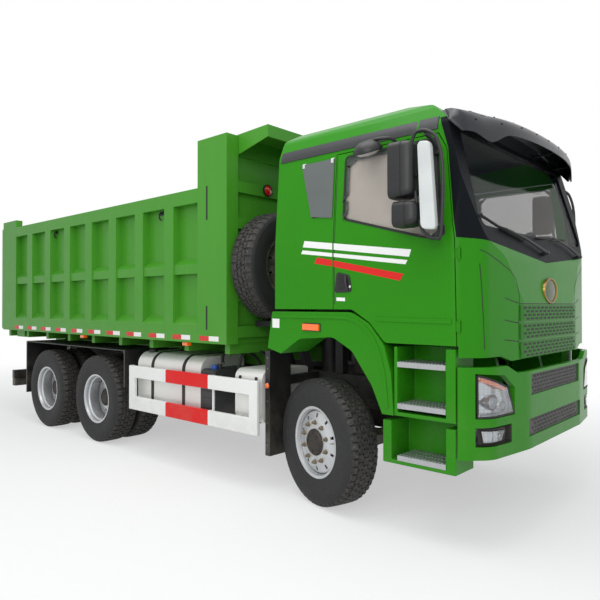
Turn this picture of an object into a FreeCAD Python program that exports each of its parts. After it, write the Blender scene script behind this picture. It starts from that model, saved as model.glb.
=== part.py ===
import FreeCAD, Part
import math
import os
from FreeCAD import Placement, Rotation, Vector

# A three-axle dump truck, in millimetres. +X is forward, +Y is left and +Z is up.
# The origin lies on the ground, in the middle of the truck's overall box.
# Places along the truck are given ahead of (+) or behind (-) the front axle.

# Driving dimensions of the whole truck
FRONT_OVERHANG = 1550.0
WHEELBASE = 3600.0
BOGIE_SPREAD = 1350.0
REAR_OVERHANG = 1520.0
BODY_HALF_WIDTH = 1250.0
SEAT_GAP = 0.3
MOVING_GAP = 6.0
OVERRUN = 400.0

# Tyres and rims
TYRE_RADIUS = 538.0
TYRE_WIDTH = 300.0
RIM_SEAT_RADIUS = 286.0
RIM_WALL = 16.0
RIM_LIP = 14.0
RIM_LIP_WIDTH = 20.0
RIM_WIDTH = 250.0
HUB_RADIUS = 104.0
DRUM_RADIUS = 205.0
DISC_THICKNESS = 16.0
FRONT_DISC_INSET = 12.0
FRONT_DISC_FACE_RADIUS = 175.0
FRONT_HUB_REACH = 40.0
REAR_HUB_REACH = 190.0
HAND_HOLES = 10
HAND_HOLE_RADIUS = 17.0
HAND_HOLE_CIRCLE = 215.0
FRONT_TRACK_INSET = 240.0
DUAL_OUTER_INSET = 175.0
DUAL_SPACING = 340.0

# Steering
KINGPIN_INSET = 150.0
KINGPIN_RADIUS = 26.0
REST_STEER_DEGREES = -15.0
KNUCKLE_HEIGHT = 190.0
KNUCKLE_THICKNESS = 70.0
SPINDLE_RADIUS = 42.0

# Chassis frame
FRAME_TOP = 1040.0
RAIL_DEPTH = 300.0
RAIL_HALF = 425.0
RAIL_FLANGE = 85.0
RAIL_WEB = 12.0
RAIL_FRONT = 1300.0
RAIL_REAR = -5920.0
CROSS_MEMBER_LENGTH = 110.0
CROSS_MEMBER_DEPTH = 200.0
CROSS_MEMBER_PLACES = (1120.0, -1250.0, -2350.0, -4330.0)
CAB_PIVOT_AHEAD = 1250.0
CAB_PIVOT_Z = 980.0
CAB_PIN_RADIUS = 25.0
CAB_ARM_WIDTH = 50.0
CAB_ARM_EYE = 48.0
CAB_REST_BEHIND = -360.0
CAB_REST_WIDTH = 90.0
BED_PIVOT_BEHIND = -5950.0
BED_PIVOT_Z = 1100.0
BED_PIN_RADIUS = 30.0
BED_EAR_THICKNESS = 30.0
BED_EAR_RADIUS = 66.0
BED_LUG_THICKNESS = 50.0
TOW_PLATE_LENGTH = 160.0
TOW_PLATE_THICKNESS = 40.0
TOW_PLATE_HALF = 90.0
TOW_BORE_RADIUS = 25.0
TOW_FRONT_Z = 700.0
TOW_REAR_Z = 800.0

# Axles and springs
AXLE_BEAM_HALF_HEIGHT = 50.0
AXLE_BEAM_HALF_LENGTH = 55.0
AXLE_BOSS_RADIUS = 40.0
AXLE_DROP = 90.0
SPRING_HALF_LENGTH = 800.0
SPRING_WIDTH = 90.0
SPRING_THICKNESS = 60.0
SPRING_Y = 400.0
REAR_AXLE_RADIUS = 75.0
DIFF_RADIUS = 200.0
DIFF_WIDTH = 240.0
REAR_SPRING_THICKNESS = 130.0
SADDLE_HALF_LENGTH = 110.0

# Engine and drive line
ENGINE_FRONT = 900.0
ENGINE_LENGTH = 1150.0
ENGINE_HALF_WIDTH = 320.0
ENGINE_BOTTOM = 560.0
ENGINE_TOP = 1330.0
GEARBOX_LENGTH = 750.0
GEARBOX_RADIUS = 200.0

# Front bumper and lamps
BUMPER_REAR = 1298.0
BUMPER_BOTTOM = 650.0
BUMPER_TOP = 1220.0
BUMPER_CORNER_TOP = 1280.0
BUMPER_SIDE_INSET = 15.0
BUMPER_WALL = 40.0
LAMP_DEPTH = 60.0
LAMP_WIDTH = 370.0
LAMP_SIDE_INSET = 80.0
LAMP_BOTTOM = 930.0
LAMP_TOP = 1237.0
FOG_BOTTOM = 740.0
FOG_TOP = 870.0
FOG_WIDTH = 330.0
INTAKE_FROM_FOG = 240.0
INTAKE_BOTTOM = 740.0
INTAKE_TOP = 870.0
SLOT_FROM_LAMP = 240.0
SLOT_BOTTOM = 1040.0
SLOT_TOP = 1195.0
MESH_THICKNESS = 12.0
MESH_INSET = 12.0

# Steps and front fenders
STEP_FRONT = 1285.0
STEP_REAR = 693.0
STEP_DEPTH = 290.0
STEP_TOP = 1400.0
STEP_SPLIT = 870.0
STEP_SPLIT_GAP = 40.0
STEP_BOTTOM = 535.0
STEP_WALL = 28.0
STEP_POST_WIDTH = 75.0
TREAD_THICKNESS = 38.0
TREAD_UPPER_Z = 1250.0
TREAD_MIDDLE_Z = 945.0
FENDER_WALL = 14.0
FENDER_TOP = 1650.0
FENDER_DEPTH = 370.0
FENDER_ROUND = 120.0
FENDER_REAR_TOP = -465.0

# Mudguards
FRONT_FLAP_FACE = -618.0
FRONT_FLAP_THICKNESS = 60.0
FRONT_FLAP_BOTTOM = 320.0
FRONT_FLAP_TOP = 1285.0
FLAP_SIDE_INSET = 130.0
FLAP_WIDTH = 280.0
REAR_GUARD_Z = 1165.0
REAR_GUARD_THICKNESS = 12.0
REAR_GUARD_SIDE_INSET = 40.0
REAR_GUARD_WIDTH = 610.0
REAR_GUARD_REACH = 660.0
REAR_FLAP_BOTTOM = 420.0
GUARD_BRACKET_RADIUS = 16.0

# Side kit: tanks, boxes and guards
KIT_SIDE_INSET = 100.0
TANK_FRONT = -1590.0
TANK_LENGTH = 1150.0
TANK_FROM_RAIL = 125.0
TANK_BOTTOM = 520.0
TANK_HEIGHT = 650.0
TANK_ROUND = 150.0
UREA_LENGTH = 215.0
UREA_HEIGHT = 520.0
UREA_FROM_RAIL = 205.0
KIT_GAP = 12.0
BATTERY_FRONT = -690.0
BATTERY_LENGTH = 370.0
BATTERY_BOTTOM = 600.0
BATTERY_HEIGHT = 500.0
BATTERY_FROM_RAIL = 85.0
BATTERY_ROUND = 90.0
BRACKET_WIDTH = 60.0
BRACKET_THICKNESS = 24.0
GUARD_FRONT = -656.0
GUARD_REAR = -2775.0
GUARD_THICKNESS = 40.0
GUARD_BOTTOM = 518.0
GUARD_LOWER_HEIGHT = 152.0
GUARD_UPPER_BOTTOM = 880.0
GUARD_TOP = 1017.0
GUARD_POST_WIDTH = 112.0
AIR_TANK_RADIUS = 120.0
AIR_TANK_LENGTH = 900.0
AIR_TANK_FRONT = -1500.0
AIR_TANK_Z = 800.0
EXHAUST_LENGTH = 560.0
EXHAUST_FRONT = -700.0
EXHAUST_HEIGHT = 460.0
EXHAUST_FROM_RAIL = 105.0
EXHAUST_BOTTOM = 560.0
OIL_TANK_FRONT = -720.0
OIL_TANK_LENGTH = 320.0
OIL_TANK_INNER = 260.0
OIL_TANK_WIDTH = 640.0
OIL_TANK_HEIGHT = 720.0
OIL_TANK_ROUND = 60.0

# Spare wheel and its carrier
SPARE_FRONT = -755.0
SPARE_SIDE_INSET = 4.0
SPARE_Z = 2090.0
CARRIER_TUBE = 60.0

# Rear underride bar and tail lamps
UNDERRIDE_FRONT = -6200.0
UNDERRIDE_LENGTH = 100.0
UNDERRIDE_SIDE_INSET = 110.0
UNDERRIDE_BOTTOM = 450.0
UNDERRIDE_HEIGHT = 110.0
TAIL_LAMP_WIDTH = 420.0
TAIL_LAMP_HEIGHT = 130.0
TAIL_LAMP_LENGTH = 70.0

# Load bed
BED_FRONT = -1075.0
BED_REAR = -6387.0
BED_FLOOR_TOP = 1387.0
BED_FLOOR_THICKNESS = 14.0
BED_BEAM_GAP = 6.0
BED_BEAM_HALF = 420.0
BED_BEAM_WIDTH = 80.0
BED_BEAM_TOP = 1226.0
BEARER_LENGTH = 70.0
BEARER_COUNT = 9
BED_RAIL_DEPTH = 80.0
BED_PLATE_THICKNESS = 14.0
SILL_BOTTOM = 1327.0
SILL_HEIGHT = 183.0
RAIL_SLOPE = 80.0
MID_RAIL_BOTTOM = 2025.0
MID_RAIL_HEIGHT = 96.0
MID_RAIL_SLOPE = 60.0
MID_RAIL_DEPTH = 66.0
TOP_RAIL_BOTTOM = 2740.0
TOP_RAIL_HEIGHT = 145.0
RIB_COUNT = 7
RIB_FIRST_FRONT = -5333.0
RIB_PITCH = 570.0
RIB_WIDTH = 195.0
RIB_FACE_WIDTH = 165.0
REAR_POST_FRONT = -5910.0
REAR_POST_RISE = 47.0
FRONT_POST_REAR = -1520.0
FRONT_POST_TOP = 3360.0
FRONT_POST_RETURN = 150.0
HEADBOARD_FRONT = -1120.0
HEADBOARD_THICKNESS = 14.0
HEADBOARD_TOP = 3240.0
HEADBOARD_RIB_DEPTH = 40.0
HEADBOARD_RIB_HEIGHT = 110.0
HEADBOARD_RIBS = 4
CANOPY_FRONT = -669.0
CANOPY_GAP = 2.0
CANOPY_TOP_FRONT = 3390.0
CANOPY_TOP_REAR = 3370.0
CANOPY_LIP_BOTTOM = 3277.0
CANOPY_ROOT_BOTTOM = 3167.0
CANOPY_WALL = 14.0
BED_SEAM = 0.3

# Tailgate
GATE_THICKNESS = 77.0
GATE_PLATE = 14.0
GATE_BOTTOM = 1345.0
GATE_TOP = 2900.0
GATE_SIDE_INSET = 15.0
GATE_RIBS = 5
GATE_RIB_WIDTH = 120.0
GATE_PIVOT_BEHIND = -6335.0
GATE_PIVOT_RISE = 45.0
GATE_PIN_RADIUS = 22.0
GATE_ARM_THICKNESS = 34.0
GATE_ARM_EYE = 48.0

# Front hoist: its tube hangs in the headboard's brackets, its rod stands on the frame
HOIST_AHEAD = -800.0
HOIST_FOOT_Z = 850.0
HOIST_TRUNNION_Z = 1500.0
HOIST_TUBE_RADIUS = 105.0
HOIST_TUBE_BOTTOM = 955.0
HOIST_TUBE_TOP = 2780.0
HOIST_WALL = 10.0
HOIST_SLIDE_GAP = 1.0
HOIST_STAGE_STEP = 12.0
HOIST_STAGES = 3
HOIST_COLLAR_RADIUS = 118.0
HOIST_COLLAR_HALF = 60.0
HOIST_TRUNNION_RADIUS = 35.0
HOIST_BRACKET_NEAR = 124.0
HOIST_BRACKET_THICKNESS = 34.0
HOIST_BRACKET_HALF = 70.0
HOIST_PIN_RADIUS = 30.0
HOIST_FOOT_HALF = 70.0
HOIST_FOOT_RADIUS = 62.0
HOIST_EAR_THICKNESS = 30.0
HOIST_EAR_RADIUS = 70.0
HOIST_MOUTH_DEGREES = 25.0

# Cab body
CAB_REAR = -430.0
CAB_FRONT = 1500.0
CAB_SKIRT_BOTTOM = 1303.0
CAB_CORNER_BOTTOM = 1343.0
CAB_FLOOR_BOTTOM = 1424.0
CAB_SIDE_BOTTOM = 1672.0
CAB_TOP = 3250.0
CAB_SIDE_INSET = 5.0
CAB_WALL = 50.0
CAB_SKIRT_WALL = 30.0
CAB_CROSSING = 1.0
CAB_ARCH_DEPTH = 388.0
CAB_ARCH_ROUND = 120.0
CAB_ARCH_FRONT_TOP = 410.0
CAB_ARCH_MID = 581.0
CAB_ARCH_MID_Z = 1572.0
CAB_ARCH_LOW = 716.0
CAB_LOW_FRONT = 1302.0
CAB_CORNER_WIDTH = 140.0
CAB_CORNER_FROM_LAMP = 44.0
DOOR_REAR = 220.0
DOOR_TOP = 2930.0
DOOR_TOP_FRONT = 1140.0
DOOR_PILLAR_FRONT = 1209.0
DOOR_PILLAR_Z = 2810.0
DOOR_WAIST_FRONT = 1284.0
DOOR_WAIST_Z = 2170.0
DOOR_SEAM = 7.0
DOOR_DEPTH = 330.0
DOOR_HINGE_AHEAD = 1308.0
DOOR_HINGE_SIDE_INSET = 24.0
DOOR_HINGE_PIN_RADIUS = 4.0
DOOR_HINGE_EYE_RADIUS = 8.0
DOOR_HINGE_HEIGHT = 70.0
DOOR_HINGE_LOWER_Z = 1560.0
DOOR_HINGE_UPPER_Z = 2060.0
DOOR_HINGE_REACH = 40.0
DOOR_HINGE_EAR = 10.0
WINDOW_REAR = 330.0
WINDOW_TOP = 2880.0
WINDOW_FRONT_TOP = 1115.0
WINDOW_FRONT_LOW = 1185.0
WINDOW_SILL_REAR = 2395.0
WINDOW_SILL_FRONT = 2195.0
WINDOW_ROUND = 40.0
QUARTER_REAR_TOP = -133.0
QUARTER_FRONT = 190.0
QUARTER_TOP = 2882.0
QUARTER_REAR_LOW = -11.0
QUARTER_BOTTOM = 2430.0
GLASS_THICKNESS = 8.0
GLASS_INSET = 12.0
SCREEN_SIDE_INSET_BOTTOM = 140.0
SCREEN_SIDE_INSET_TOP = 220.0
SCREEN_BOTTOM = 2262.0
SCREEN_TOP = 2985.0
SCREEN_ROUND = 90.0
SURROUND_CORNER_Z = 2172.0
SURROUND_CENTRE_Z = 2050.0
SURROUND_TOP = 3040.0
SURROUND_REACH = 330.0
GRILLE_FROM_LAMP = 160.0
GRILLE_ROWS = 3
GRILLE_BOTTOM = 1315.0
GRILLE_TOP = 1725.0
GRILLE_RIB = 22.0
GRILLE_DEPTH = 14.0
GRILLE_INSET = 8.0

# Sun visor
VISOR_LIP_Z = 2935.0
VISOR_TOP_Z = 3135.0
VISOR_LIP_FRONT = 1490.0
VISOR_LIP_END = 1300.0
VISOR_TOP_FRONT = 1290.0
VISOR_TOP_END = 1150.0
VISOR_SIDE_INSET = 70.0
VISOR_THICKNESS = 16.0
VISOR_STAY_WIDTH = 40.0
VISOR_STAY_SHARES = (-0.62, 0.0, 0.62)

# Mirrors
MIRROR_OUTREACH = 170.0
MIRROR_REAR = 884.0
MIRROR_FRONT = 1133.0
MIRROR_DEPTH = 110.0
MIRROR_UPPER_BOTTOM = 2450.0
MIRROR_UPPER_TOP = 2855.0
MIRROR_LOWER_BOTTOM = 2200.0
MIRROR_LOWER_TOP = 2430.0
MIRROR_ROUND = 45.0
MIRROR_TUBE_RADIUS = 20.0
MIRROR_ARM_UPPER_AHEAD = 1150.0
MIRROR_ARM_LOWER_AHEAD = 1235.0
MIRROR_ARM_UPPER_Z = 2790.0
MIRROR_ARM_LOWER_Z = 2235.0

# Cab interior
FLOOR_CLEARANCE = 1.0
SEAT_SIDE_INSET = 690.0
SEAT_WIDTH = 480.0
SEAT_REAR = 60.0
SEAT_LENGTH = 500.0
SEAT_BASE_HEIGHT = 330.0
SEAT_CUSHION = 130.0
SEAT_BACK_HEIGHT = 720.0
SEAT_BACK_THICKNESS = 120.0
DASH_LENGTH = 320.0
DASH_TOP = 2190.0
DASH_BOTTOM = 1760.0
DASH_SIDE_INSET = 170.0
WHEEL_RIM_RADIUS = 225.0
WHEEL_RIM_TUBE = 16.0
WHEEL_COLUMN_RADIUS = 30.0
WHEEL_COLUMN_LENGTH = 330.0
WHEEL_TILT_DEGREES = -38.0
WHEEL_REAR_OF_DASH = 120.0
WHEEL_Z = 2190.0

# Outlines as shares of the sizes that they follow
CAB_SIDE_SHARES = (
    (0.0, 0.0), (1.0, 0.0), (1.0, 0.23), (0.984, 0.385), (0.845, 0.887),
    (0.77, 0.958), (0.6, 1.0), (0.05, 1.0), (0.0, 0.965),
)
CAB_SIDE_ROUND_SHARES = (0.0, 0.01, 0.2, 0.2, 0.05, 0.08, 0.08, 0.03, 0.03)
CAB_PLAN_SHARES = ((0.0, 1.0), (0.89, 1.0), (0.965, 0.88), (1.0, 0.48))
CAB_PLAN_ROUND_SHARES = (0.03, 0.12, 0.2, 0.6)
CAB_FRONT_SHARES = ((1.0, 0.0), (1.0, 0.47), (0.955, 0.87), (0.9, 0.955), (0.78, 1.0))
CAB_FRONT_ROUND_SHARES = (0.0, 0.3, 0.05, 0.1, 0.1)
TYRE_SECTION_SHARES = ((0.0, 0.69), (0.62, 1.0), (1.0, 0.8))
LAMP_TOP_SHARES = ((0.0, 0.62), (0.35, 0.93), (1.0, 1.0))
FENDER_ARCH_SHARES = ((0.918, 0.288), (0.755, 0.611), (0.591, 0.741), (0.282, 0.708))
FENDER_ROUND_SHARES = (0.17, 1.25, 1.0, 1.0, 1.25, 0.0, 0.0, 1.25, 1.0, 1.0, 1.0, 0.0, 0.0)
CAB_ARCH_ROUND_SHARES = (0.0, 0.0, 0.0, 0.5, 1.0, 0.5, 0.0)
KIT_BRACKET_SHARES = (0.18, 0.82)
MOUNT_SHARES = (0.2, 0.85)
AIR_STAY_SHARES = (0.2, 0.8)

FRONT_AXLE_X = (FRONT_OVERHANG + WHEELBASE + BOGIE_SPREAD + REAR_OVERHANG) / 2.0 - FRONT_OVERHANG
MID_AXLE = -WHEELBASE
REAR_AXLE = -(WHEELBASE + BOGIE_SPREAD)
AXLE_Z = TYRE_RADIUS
FRAME_BOTTOM = FRAME_TOP - RAIL_DEPTH
UP = Vector(0, 0, 1)

# Places across the truck, measured in from the body's side
FRONT_TRACK_HALF = BODY_HALF_WIDTH - FRONT_TRACK_INSET
KINGPIN_HALF = FRONT_TRACK_HALF - KINGPIN_INSET
DUAL_OUTER_HALF = BODY_HALF_WIDTH - DUAL_OUTER_INSET
BUMPER_HALF_WIDTH = BODY_HALF_WIDTH - BUMPER_SIDE_INSET
LAMP_OUTER_HALF = BODY_HALF_WIDTH - LAMP_SIDE_INSET
LAMP_INNER_HALF = LAMP_OUTER_HALF - LAMP_WIDTH
FOG_INNER_HALF = LAMP_OUTER_HALF - FOG_WIDTH
INTAKE_HALF = FOG_INNER_HALF - INTAKE_FROM_FOG
SLOT_HALF = LAMP_INNER_HALF - SLOT_FROM_LAMP
GRILLE_HALF = LAMP_INNER_HALF - GRILLE_FROM_LAMP
FENDER_INNER_HALF = BODY_HALF_WIDTH - FENDER_DEPTH
FLAP_OUTER_HALF = BODY_HALF_WIDTH - FLAP_SIDE_INSET
FLAP_INNER_HALF = FLAP_OUTER_HALF - FLAP_WIDTH
REAR_GUARD_OUTER_HALF = BODY_HALF_WIDTH - REAR_GUARD_SIDE_INSET
REAR_GUARD_INNER_HALF = REAR_GUARD_OUTER_HALF - REAR_GUARD_WIDTH
KIT_HALF_WIDTH = BODY_HALF_WIDTH - KIT_SIDE_INSET
TANK_DEPTH = KIT_HALF_WIDTH - RAIL_HALF - TANK_FROM_RAIL
UREA_DEPTH = KIT_HALF_WIDTH - RAIL_HALF - UREA_FROM_RAIL
BATTERY_DEPTH = KIT_HALF_WIDTH - RAIL_HALF - BATTERY_FROM_RAIL
EXHAUST_DEPTH = KIT_HALF_WIDTH - RAIL_HALF - EXHAUST_FROM_RAIL
SPARE_HALF = BODY_HALF_WIDTH - TYRE_RADIUS - SPARE_SIDE_INSET
UNDERRIDE_HALF = BODY_HALF_WIDTH - UNDERRIDE_SIDE_INSET
BED_PLATE_HALF = BODY_HALF_WIDTH - BED_RAIL_DEPTH
FRONT_POST_RETURN_HALF = BODY_HALF_WIDTH - FRONT_POST_RETURN
CANOPY_HALF_WIDTH = FRONT_POST_RETURN_HALF - CANOPY_GAP
GATE_HALF_WIDTH = BODY_HALF_WIDTH - GATE_SIDE_INSET
GATE_PIVOT_Z = GATE_TOP + GATE_PIVOT_RISE
REAR_POST_TOP = GATE_PIVOT_Z + REAR_POST_RISE
CAB_HALF_WIDTH = BODY_HALF_WIDTH - CAB_SIDE_INSET
CAB_ARCH_HALF = BODY_HALF_WIDTH - CAB_ARCH_DEPTH
CAB_CORNER_START = LAMP_INNER_HALF - CAB_CORNER_FROM_LAMP
CAB_CORNER_END = CAB_CORNER_START + CAB_CORNER_WIDTH
DOOR_HINGE_HALF = BODY_HALF_WIDTH - DOOR_HINGE_SIDE_INSET
SCREEN_HALF_BOTTOM = BODY_HALF_WIDTH - SCREEN_SIDE_INSET_BOTTOM
SCREEN_HALF_TOP = BODY_HALF_WIDTH - SCREEN_SIDE_INSET_TOP
VISOR_HALF_WIDTH = BODY_HALF_WIDTH - VISOR_SIDE_INSET
MIRROR_HALF = BODY_HALF_WIDTH + MIRROR_OUTREACH
SEAT_HALF = BODY_HALF_WIDTH - SEAT_SIDE_INSET
DASH_HALF = BODY_HALF_WIDTH - DASH_SIDE_INSET


# Helpers

def at(ahead, y, z):
    """A point given ahead of the front axle, across and above the ground."""
    return Vector(FRONT_AXLE_X + ahead, y, z)


def block(rear, front, y0, y1, z0, z1):
    """A box between two places along the truck, across it and above the ground."""
    low = at(min(rear, front), min(y0, y1), min(z0, z1))
    return Part.makeBox(abs(front - rear), abs(y1 - y0), abs(z1 - z0), low)


def rounded_wire(points, radii):
    """A closed wire through flat points, each corner rounded by its own radius."""
    starts, arcs, count = [], [], len(points)
    for i, corner in enumerate(points):
        back = (points[i - 1] - corner).normalize()
        ahead = (points[(i + 1) % count] - corner).normalize()
        radius = radii[i]
        if radius <= 0:
            starts.append((corner, corner))
            arcs.append(None)
            continue
        half = back.getAngle(ahead) / 2.0
        middle = (back + ahead).normalize()
        centre = corner + middle * (radius / math.sin(half))
        reach = radius / math.tan(half)
        first, last = corner + back * reach, corner + ahead * reach
        starts.append((first, last))
        arcs.append(Part.Arc(first, centre - middle * radius, last).toShape())
    edges = []
    for i in range(count):
        if arcs[i]:
            edges.append(arcs[i])
        line_start, line_end = starts[i][1], starts[(i + 1) % count][0]
        if (line_end - line_start).Length > SEAT_GAP / OVERRUN:
            edges.append(Part.LineSegment(line_start, line_end).toShape())
    return Part.Wire(edges)


def flat_face(points, radii=None):
    return Part.Face(rounded_wire(points, radii or [0] * len(points)))


def plate_y(points, y0, y1, radii=None):
    """An outline of (ahead, z) points, extruded across the truck."""
    low = min(y0, y1)
    return flat_face([at(a, low, z) for a, z in points], radii).extrude(Vector(0, abs(y1 - y0), 0))


def plate_x(points, rear, front, radii=None):
    """An outline of (y, z) points, extruded along the truck."""
    low = min(rear, front)
    return flat_face([at(low, y, z) for y, z in points], radii).extrude(Vector(abs(front - rear), 0, 0))


def plate_z(points, z0, z1, radii=None):
    """An outline of (ahead, y) points, extruded upwards."""
    low = min(z0, z1)
    return flat_face([at(a, y, low) for a, y in points], radii).extrude(Vector(0, 0, abs(z1 - z0)))


def rod(start, end, radius):
    axis = end - start
    return Part.makeCylinder(radius, axis.Length, start, axis)


def turned(profile, centre, outward):
    """A solid turned about the line through centre; the profile holds (radius, along) points."""
    side = Vector(1, 0, 0) if abs(outward.x) < 0.5 else Vector(0, 1, 0)
    points = [centre + side * r + outward * a for r, a in profile]
    return flat_face(points).revolve(centre, outward, 360)


def mirrored(shape):
    return shape.mirror(Vector(0, 0, 0), Vector(0, 1, 0))


def fused(shapes):
    first, rest = shapes[0], list(shapes[1:])
    return first.fuse(rest).removeSplitter() if rest else first


def save(name, shapes):
    """Write one node; several solids that do not touch share it."""
    solids = [solid for shape in shapes for solid in shape.Solids]
    shape = solids[0] if len(solids) == 1 else Part.makeCompound(solids)
    shape.exportStep("parts/" + name + ".step")


# Wheels

def tyre(centre, outward):
    """One tyre: tread, shoulders and walls down to the bead seat."""
    height = TYRE_RADIUS - RIM_SEAT_RADIUS
    half = TYRE_WIDTH / 2.0
    wall = [(RIM_SEAT_RADIUS + share * height, side * half) for share, side in TYRE_SECTION_SHARES]
    profile = wall + [(r, -a) for r, a in reversed(wall)]
    return turned(profile, centre, outward)


def rim_barrel(centre, outward):
    """The round part of a rim, with a lip at each edge."""
    half = RIM_WIDTH / 2.0
    outer = RIM_SEAT_RADIUS - SEAT_GAP
    lip, inner = RIM_SEAT_RADIUS + RIM_LIP, RIM_SEAT_RADIUS - RIM_WALL
    profile = [(lip, half), (lip, half - RIM_LIP_WIDTH / 4.0), (outer, half - RIM_LIP_WIDTH)]
    profile = profile + [(r, -a) for r, a in reversed(profile)]
    return turned(profile + [(inner, -half), (inner, half)], centre, outward)


def front_rim(centre, outward):
    """Front rim: convex disc with hand holes, hub and brake drum."""
    face = RIM_WIDTH / 2.0 - FRONT_DISC_INSET
    inner = RIM_SEAT_RADIUS - RIM_WALL
    back = face - DISC_THICKNESS
    hub_end = face + FRONT_HUB_REACH
    disc = turned([(0, hub_end), (HUB_RADIUS, hub_end), (HUB_RADIUS, face),
                   (FRONT_DISC_FACE_RADIUS, face), (inner, 0), (inner, -DISC_THICKNESS),
                   (DRUM_RADIUS, DISC_THICKNESS), (DRUM_RADIUS, -back),
                   (DRUM_RADIUS - DISC_THICKNESS, -back), (DRUM_RADIUS - DISC_THICKNESS, 0),
                   (SPINDLE_RADIUS + SEAT_GAP, 0), (SPINDLE_RADIUS + SEAT_GAP, back), (0, back)],
                  centre, outward)
    rim = fused([rim_barrel(centre, outward), disc])
    for index in range(HAND_HOLES):
        angle = 2.0 * math.pi * index / HAND_HOLES
        start = centre + Vector(math.sin(angle), 0, math.cos(angle)) * HAND_HOLE_CIRCLE
        rim = rim.cut(rod(start, start + outward * RIM_WIDTH, HAND_HOLE_RADIUS))
    return rim


def dual_rim(centre, inner_centre, outward):
    """Twin rims on one hub: two barrels, the discs between them, the hub and the drum."""
    middle = -DUAL_SPACING / 2.0
    inner = RIM_SEAT_RADIUS - RIM_WALL
    slope = RIM_WIDTH / 2.0 - RIM_LIP_WIDTH
    hub_end = middle + REAR_HUB_REACH
    drum_end = middle - DUAL_SPACING / 2.0
    bore = REAR_AXLE_RADIUS + SEAT_GAP
    disc = turned([(0, hub_end), (HUB_RADIUS, hub_end), (HUB_RADIUS, middle + DISC_THICKNESS),
                   (DRUM_RADIUS, middle + DISC_THICKNESS), (inner, -slope), (inner, -slope - DISC_THICKNESS),
                   (inner - DISC_THICKNESS, middle),
                   (inner, middle * 2.0 + slope + DISC_THICKNESS), (inner, middle * 2.0 + slope),
                   (DRUM_RADIUS, middle - DISC_THICKNESS), (DRUM_RADIUS, drum_end),
                   (DRUM_RADIUS - DISC_THICKNESS, drum_end),
                   (DRUM_RADIUS - DISC_THICKNESS, middle - DISC_THICKNESS),
                   (bore, middle - DISC_THICKNESS), (bore, middle), (0, middle)], centre, outward)
    return fused([rim_barrel(centre, outward), rim_barrel(inner_centre, outward), disc])


def steered(shape, side):
    """Turn a front wheel piece about its own kingpin to the angle at rest."""
    turned_shape = shape.copy()
    turned_shape.rotate(at(0, side * KINGPIN_HALF, 0), UP, REST_STEER_DEGREES)
    return turned_shape


def knuckle(side):
    """Steering knuckle: kingpin, yoke and spindle."""
    outward = Vector(0, side, 0)
    pin_half = KNUCKLE_HEIGHT / 2.0
    pin = rod(at(0, side * KINGPIN_HALF, AXLE_Z - pin_half), at(0, side * KINGPIN_HALF, AXLE_Z + pin_half),
              KINGPIN_RADIUS)
    ears = []
    ear_start = AXLE_BEAM_HALF_HEIGHT + SEAT_GAP
    for direction in (-1.0, 1.0):
        ears.append(block(-KNUCKLE_THICKNESS / 2.0, KNUCKLE_THICKNESS / 2.0,
                          side * (KINGPIN_HALF - KNUCKLE_THICKNESS / 2.0),
                          side * (KINGPIN_HALF + KNUCKLE_THICKNESS),
                          AXLE_Z + direction * ear_start, AXLE_Z + direction * pin_half))
    web = block(-KNUCKLE_THICKNESS / 2.0, KNUCKLE_THICKNESS / 2.0,
                side * (KINGPIN_HALF + KNUCKLE_THICKNESS - BRACKET_THICKNESS),
                side * (KINGPIN_HALF + KNUCKLE_THICKNESS), AXLE_Z - pin_half, AXLE_Z + pin_half)
    tip = FRONT_TRACK_HALF + RIM_WIDTH / 2.0 - FRONT_DISC_INSET - DISC_THICKNESS - SEAT_GAP
    spindle = rod(at(0, side * (KINGPIN_HALF + KNUCKLE_THICKNESS - BRACKET_THICKNESS), AXLE_Z),
                  at(0, side * tip, AXLE_Z), SPINDLE_RADIUS)
    return fused([pin, web, spindle] + ears)


def make_wheels():
    for side, name in ((-1.0, "right"), (1.0, "left")):
        outward = Vector(0, side, 0)
        front = at(0, side * FRONT_TRACK_HALF, AXLE_Z)
        save("tyre_front_" + name, [steered(tyre(front, outward), side)])
        save("rim_front_" + name, [steered(front_rim(front, outward), side)])
        save("knuckle_" + name, [steered(knuckle(side), side)])
        for axle, place in ((MID_AXLE, "mid"), (REAR_AXLE, "rear")):
            outer = at(axle, side * DUAL_OUTER_HALF, AXLE_Z)
            inner = at(axle, side * (DUAL_OUTER_HALF - DUAL_SPACING), AXLE_Z)
            save("tyres_" + place + "_" + name, [tyre(outer, outward), tyre(inner, outward)])
            save("rims_" + place + "_" + name, [dual_rim(outer, inner, outward)])


# Chassis frame

def frame_rail():
    """The right channel rail, open towards the middle of the truck."""
    outer, inner = -RAIL_HALF, -(RAIL_HALF - RAIL_FLANGE)
    web = outer + RAIL_WEB
    section = [(outer, FRAME_BOTTOM), (inner, FRAME_BOTTOM), (inner, FRAME_BOTTOM + RAIL_WEB),
               (web, FRAME_BOTTOM + RAIL_WEB), (web, FRAME_TOP - RAIL_WEB), (inner, FRAME_TOP - RAIL_WEB),
               (inner, FRAME_TOP), (outer, FRAME_TOP)]
    return plate_x(section, RAIL_REAR, RAIL_FRONT)


def cross_member(ahead):
    half, reach = CROSS_MEMBER_LENGTH / 2.0, RAIL_HALF - RAIL_WEB - SEAT_GAP
    bottom = FRAME_BOTTOM + (RAIL_DEPTH - CROSS_MEMBER_DEPTH) / 2.0
    return block(ahead - half, ahead + half, -reach, reach, bottom, bottom + CROSS_MEMBER_DEPTH)


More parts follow.
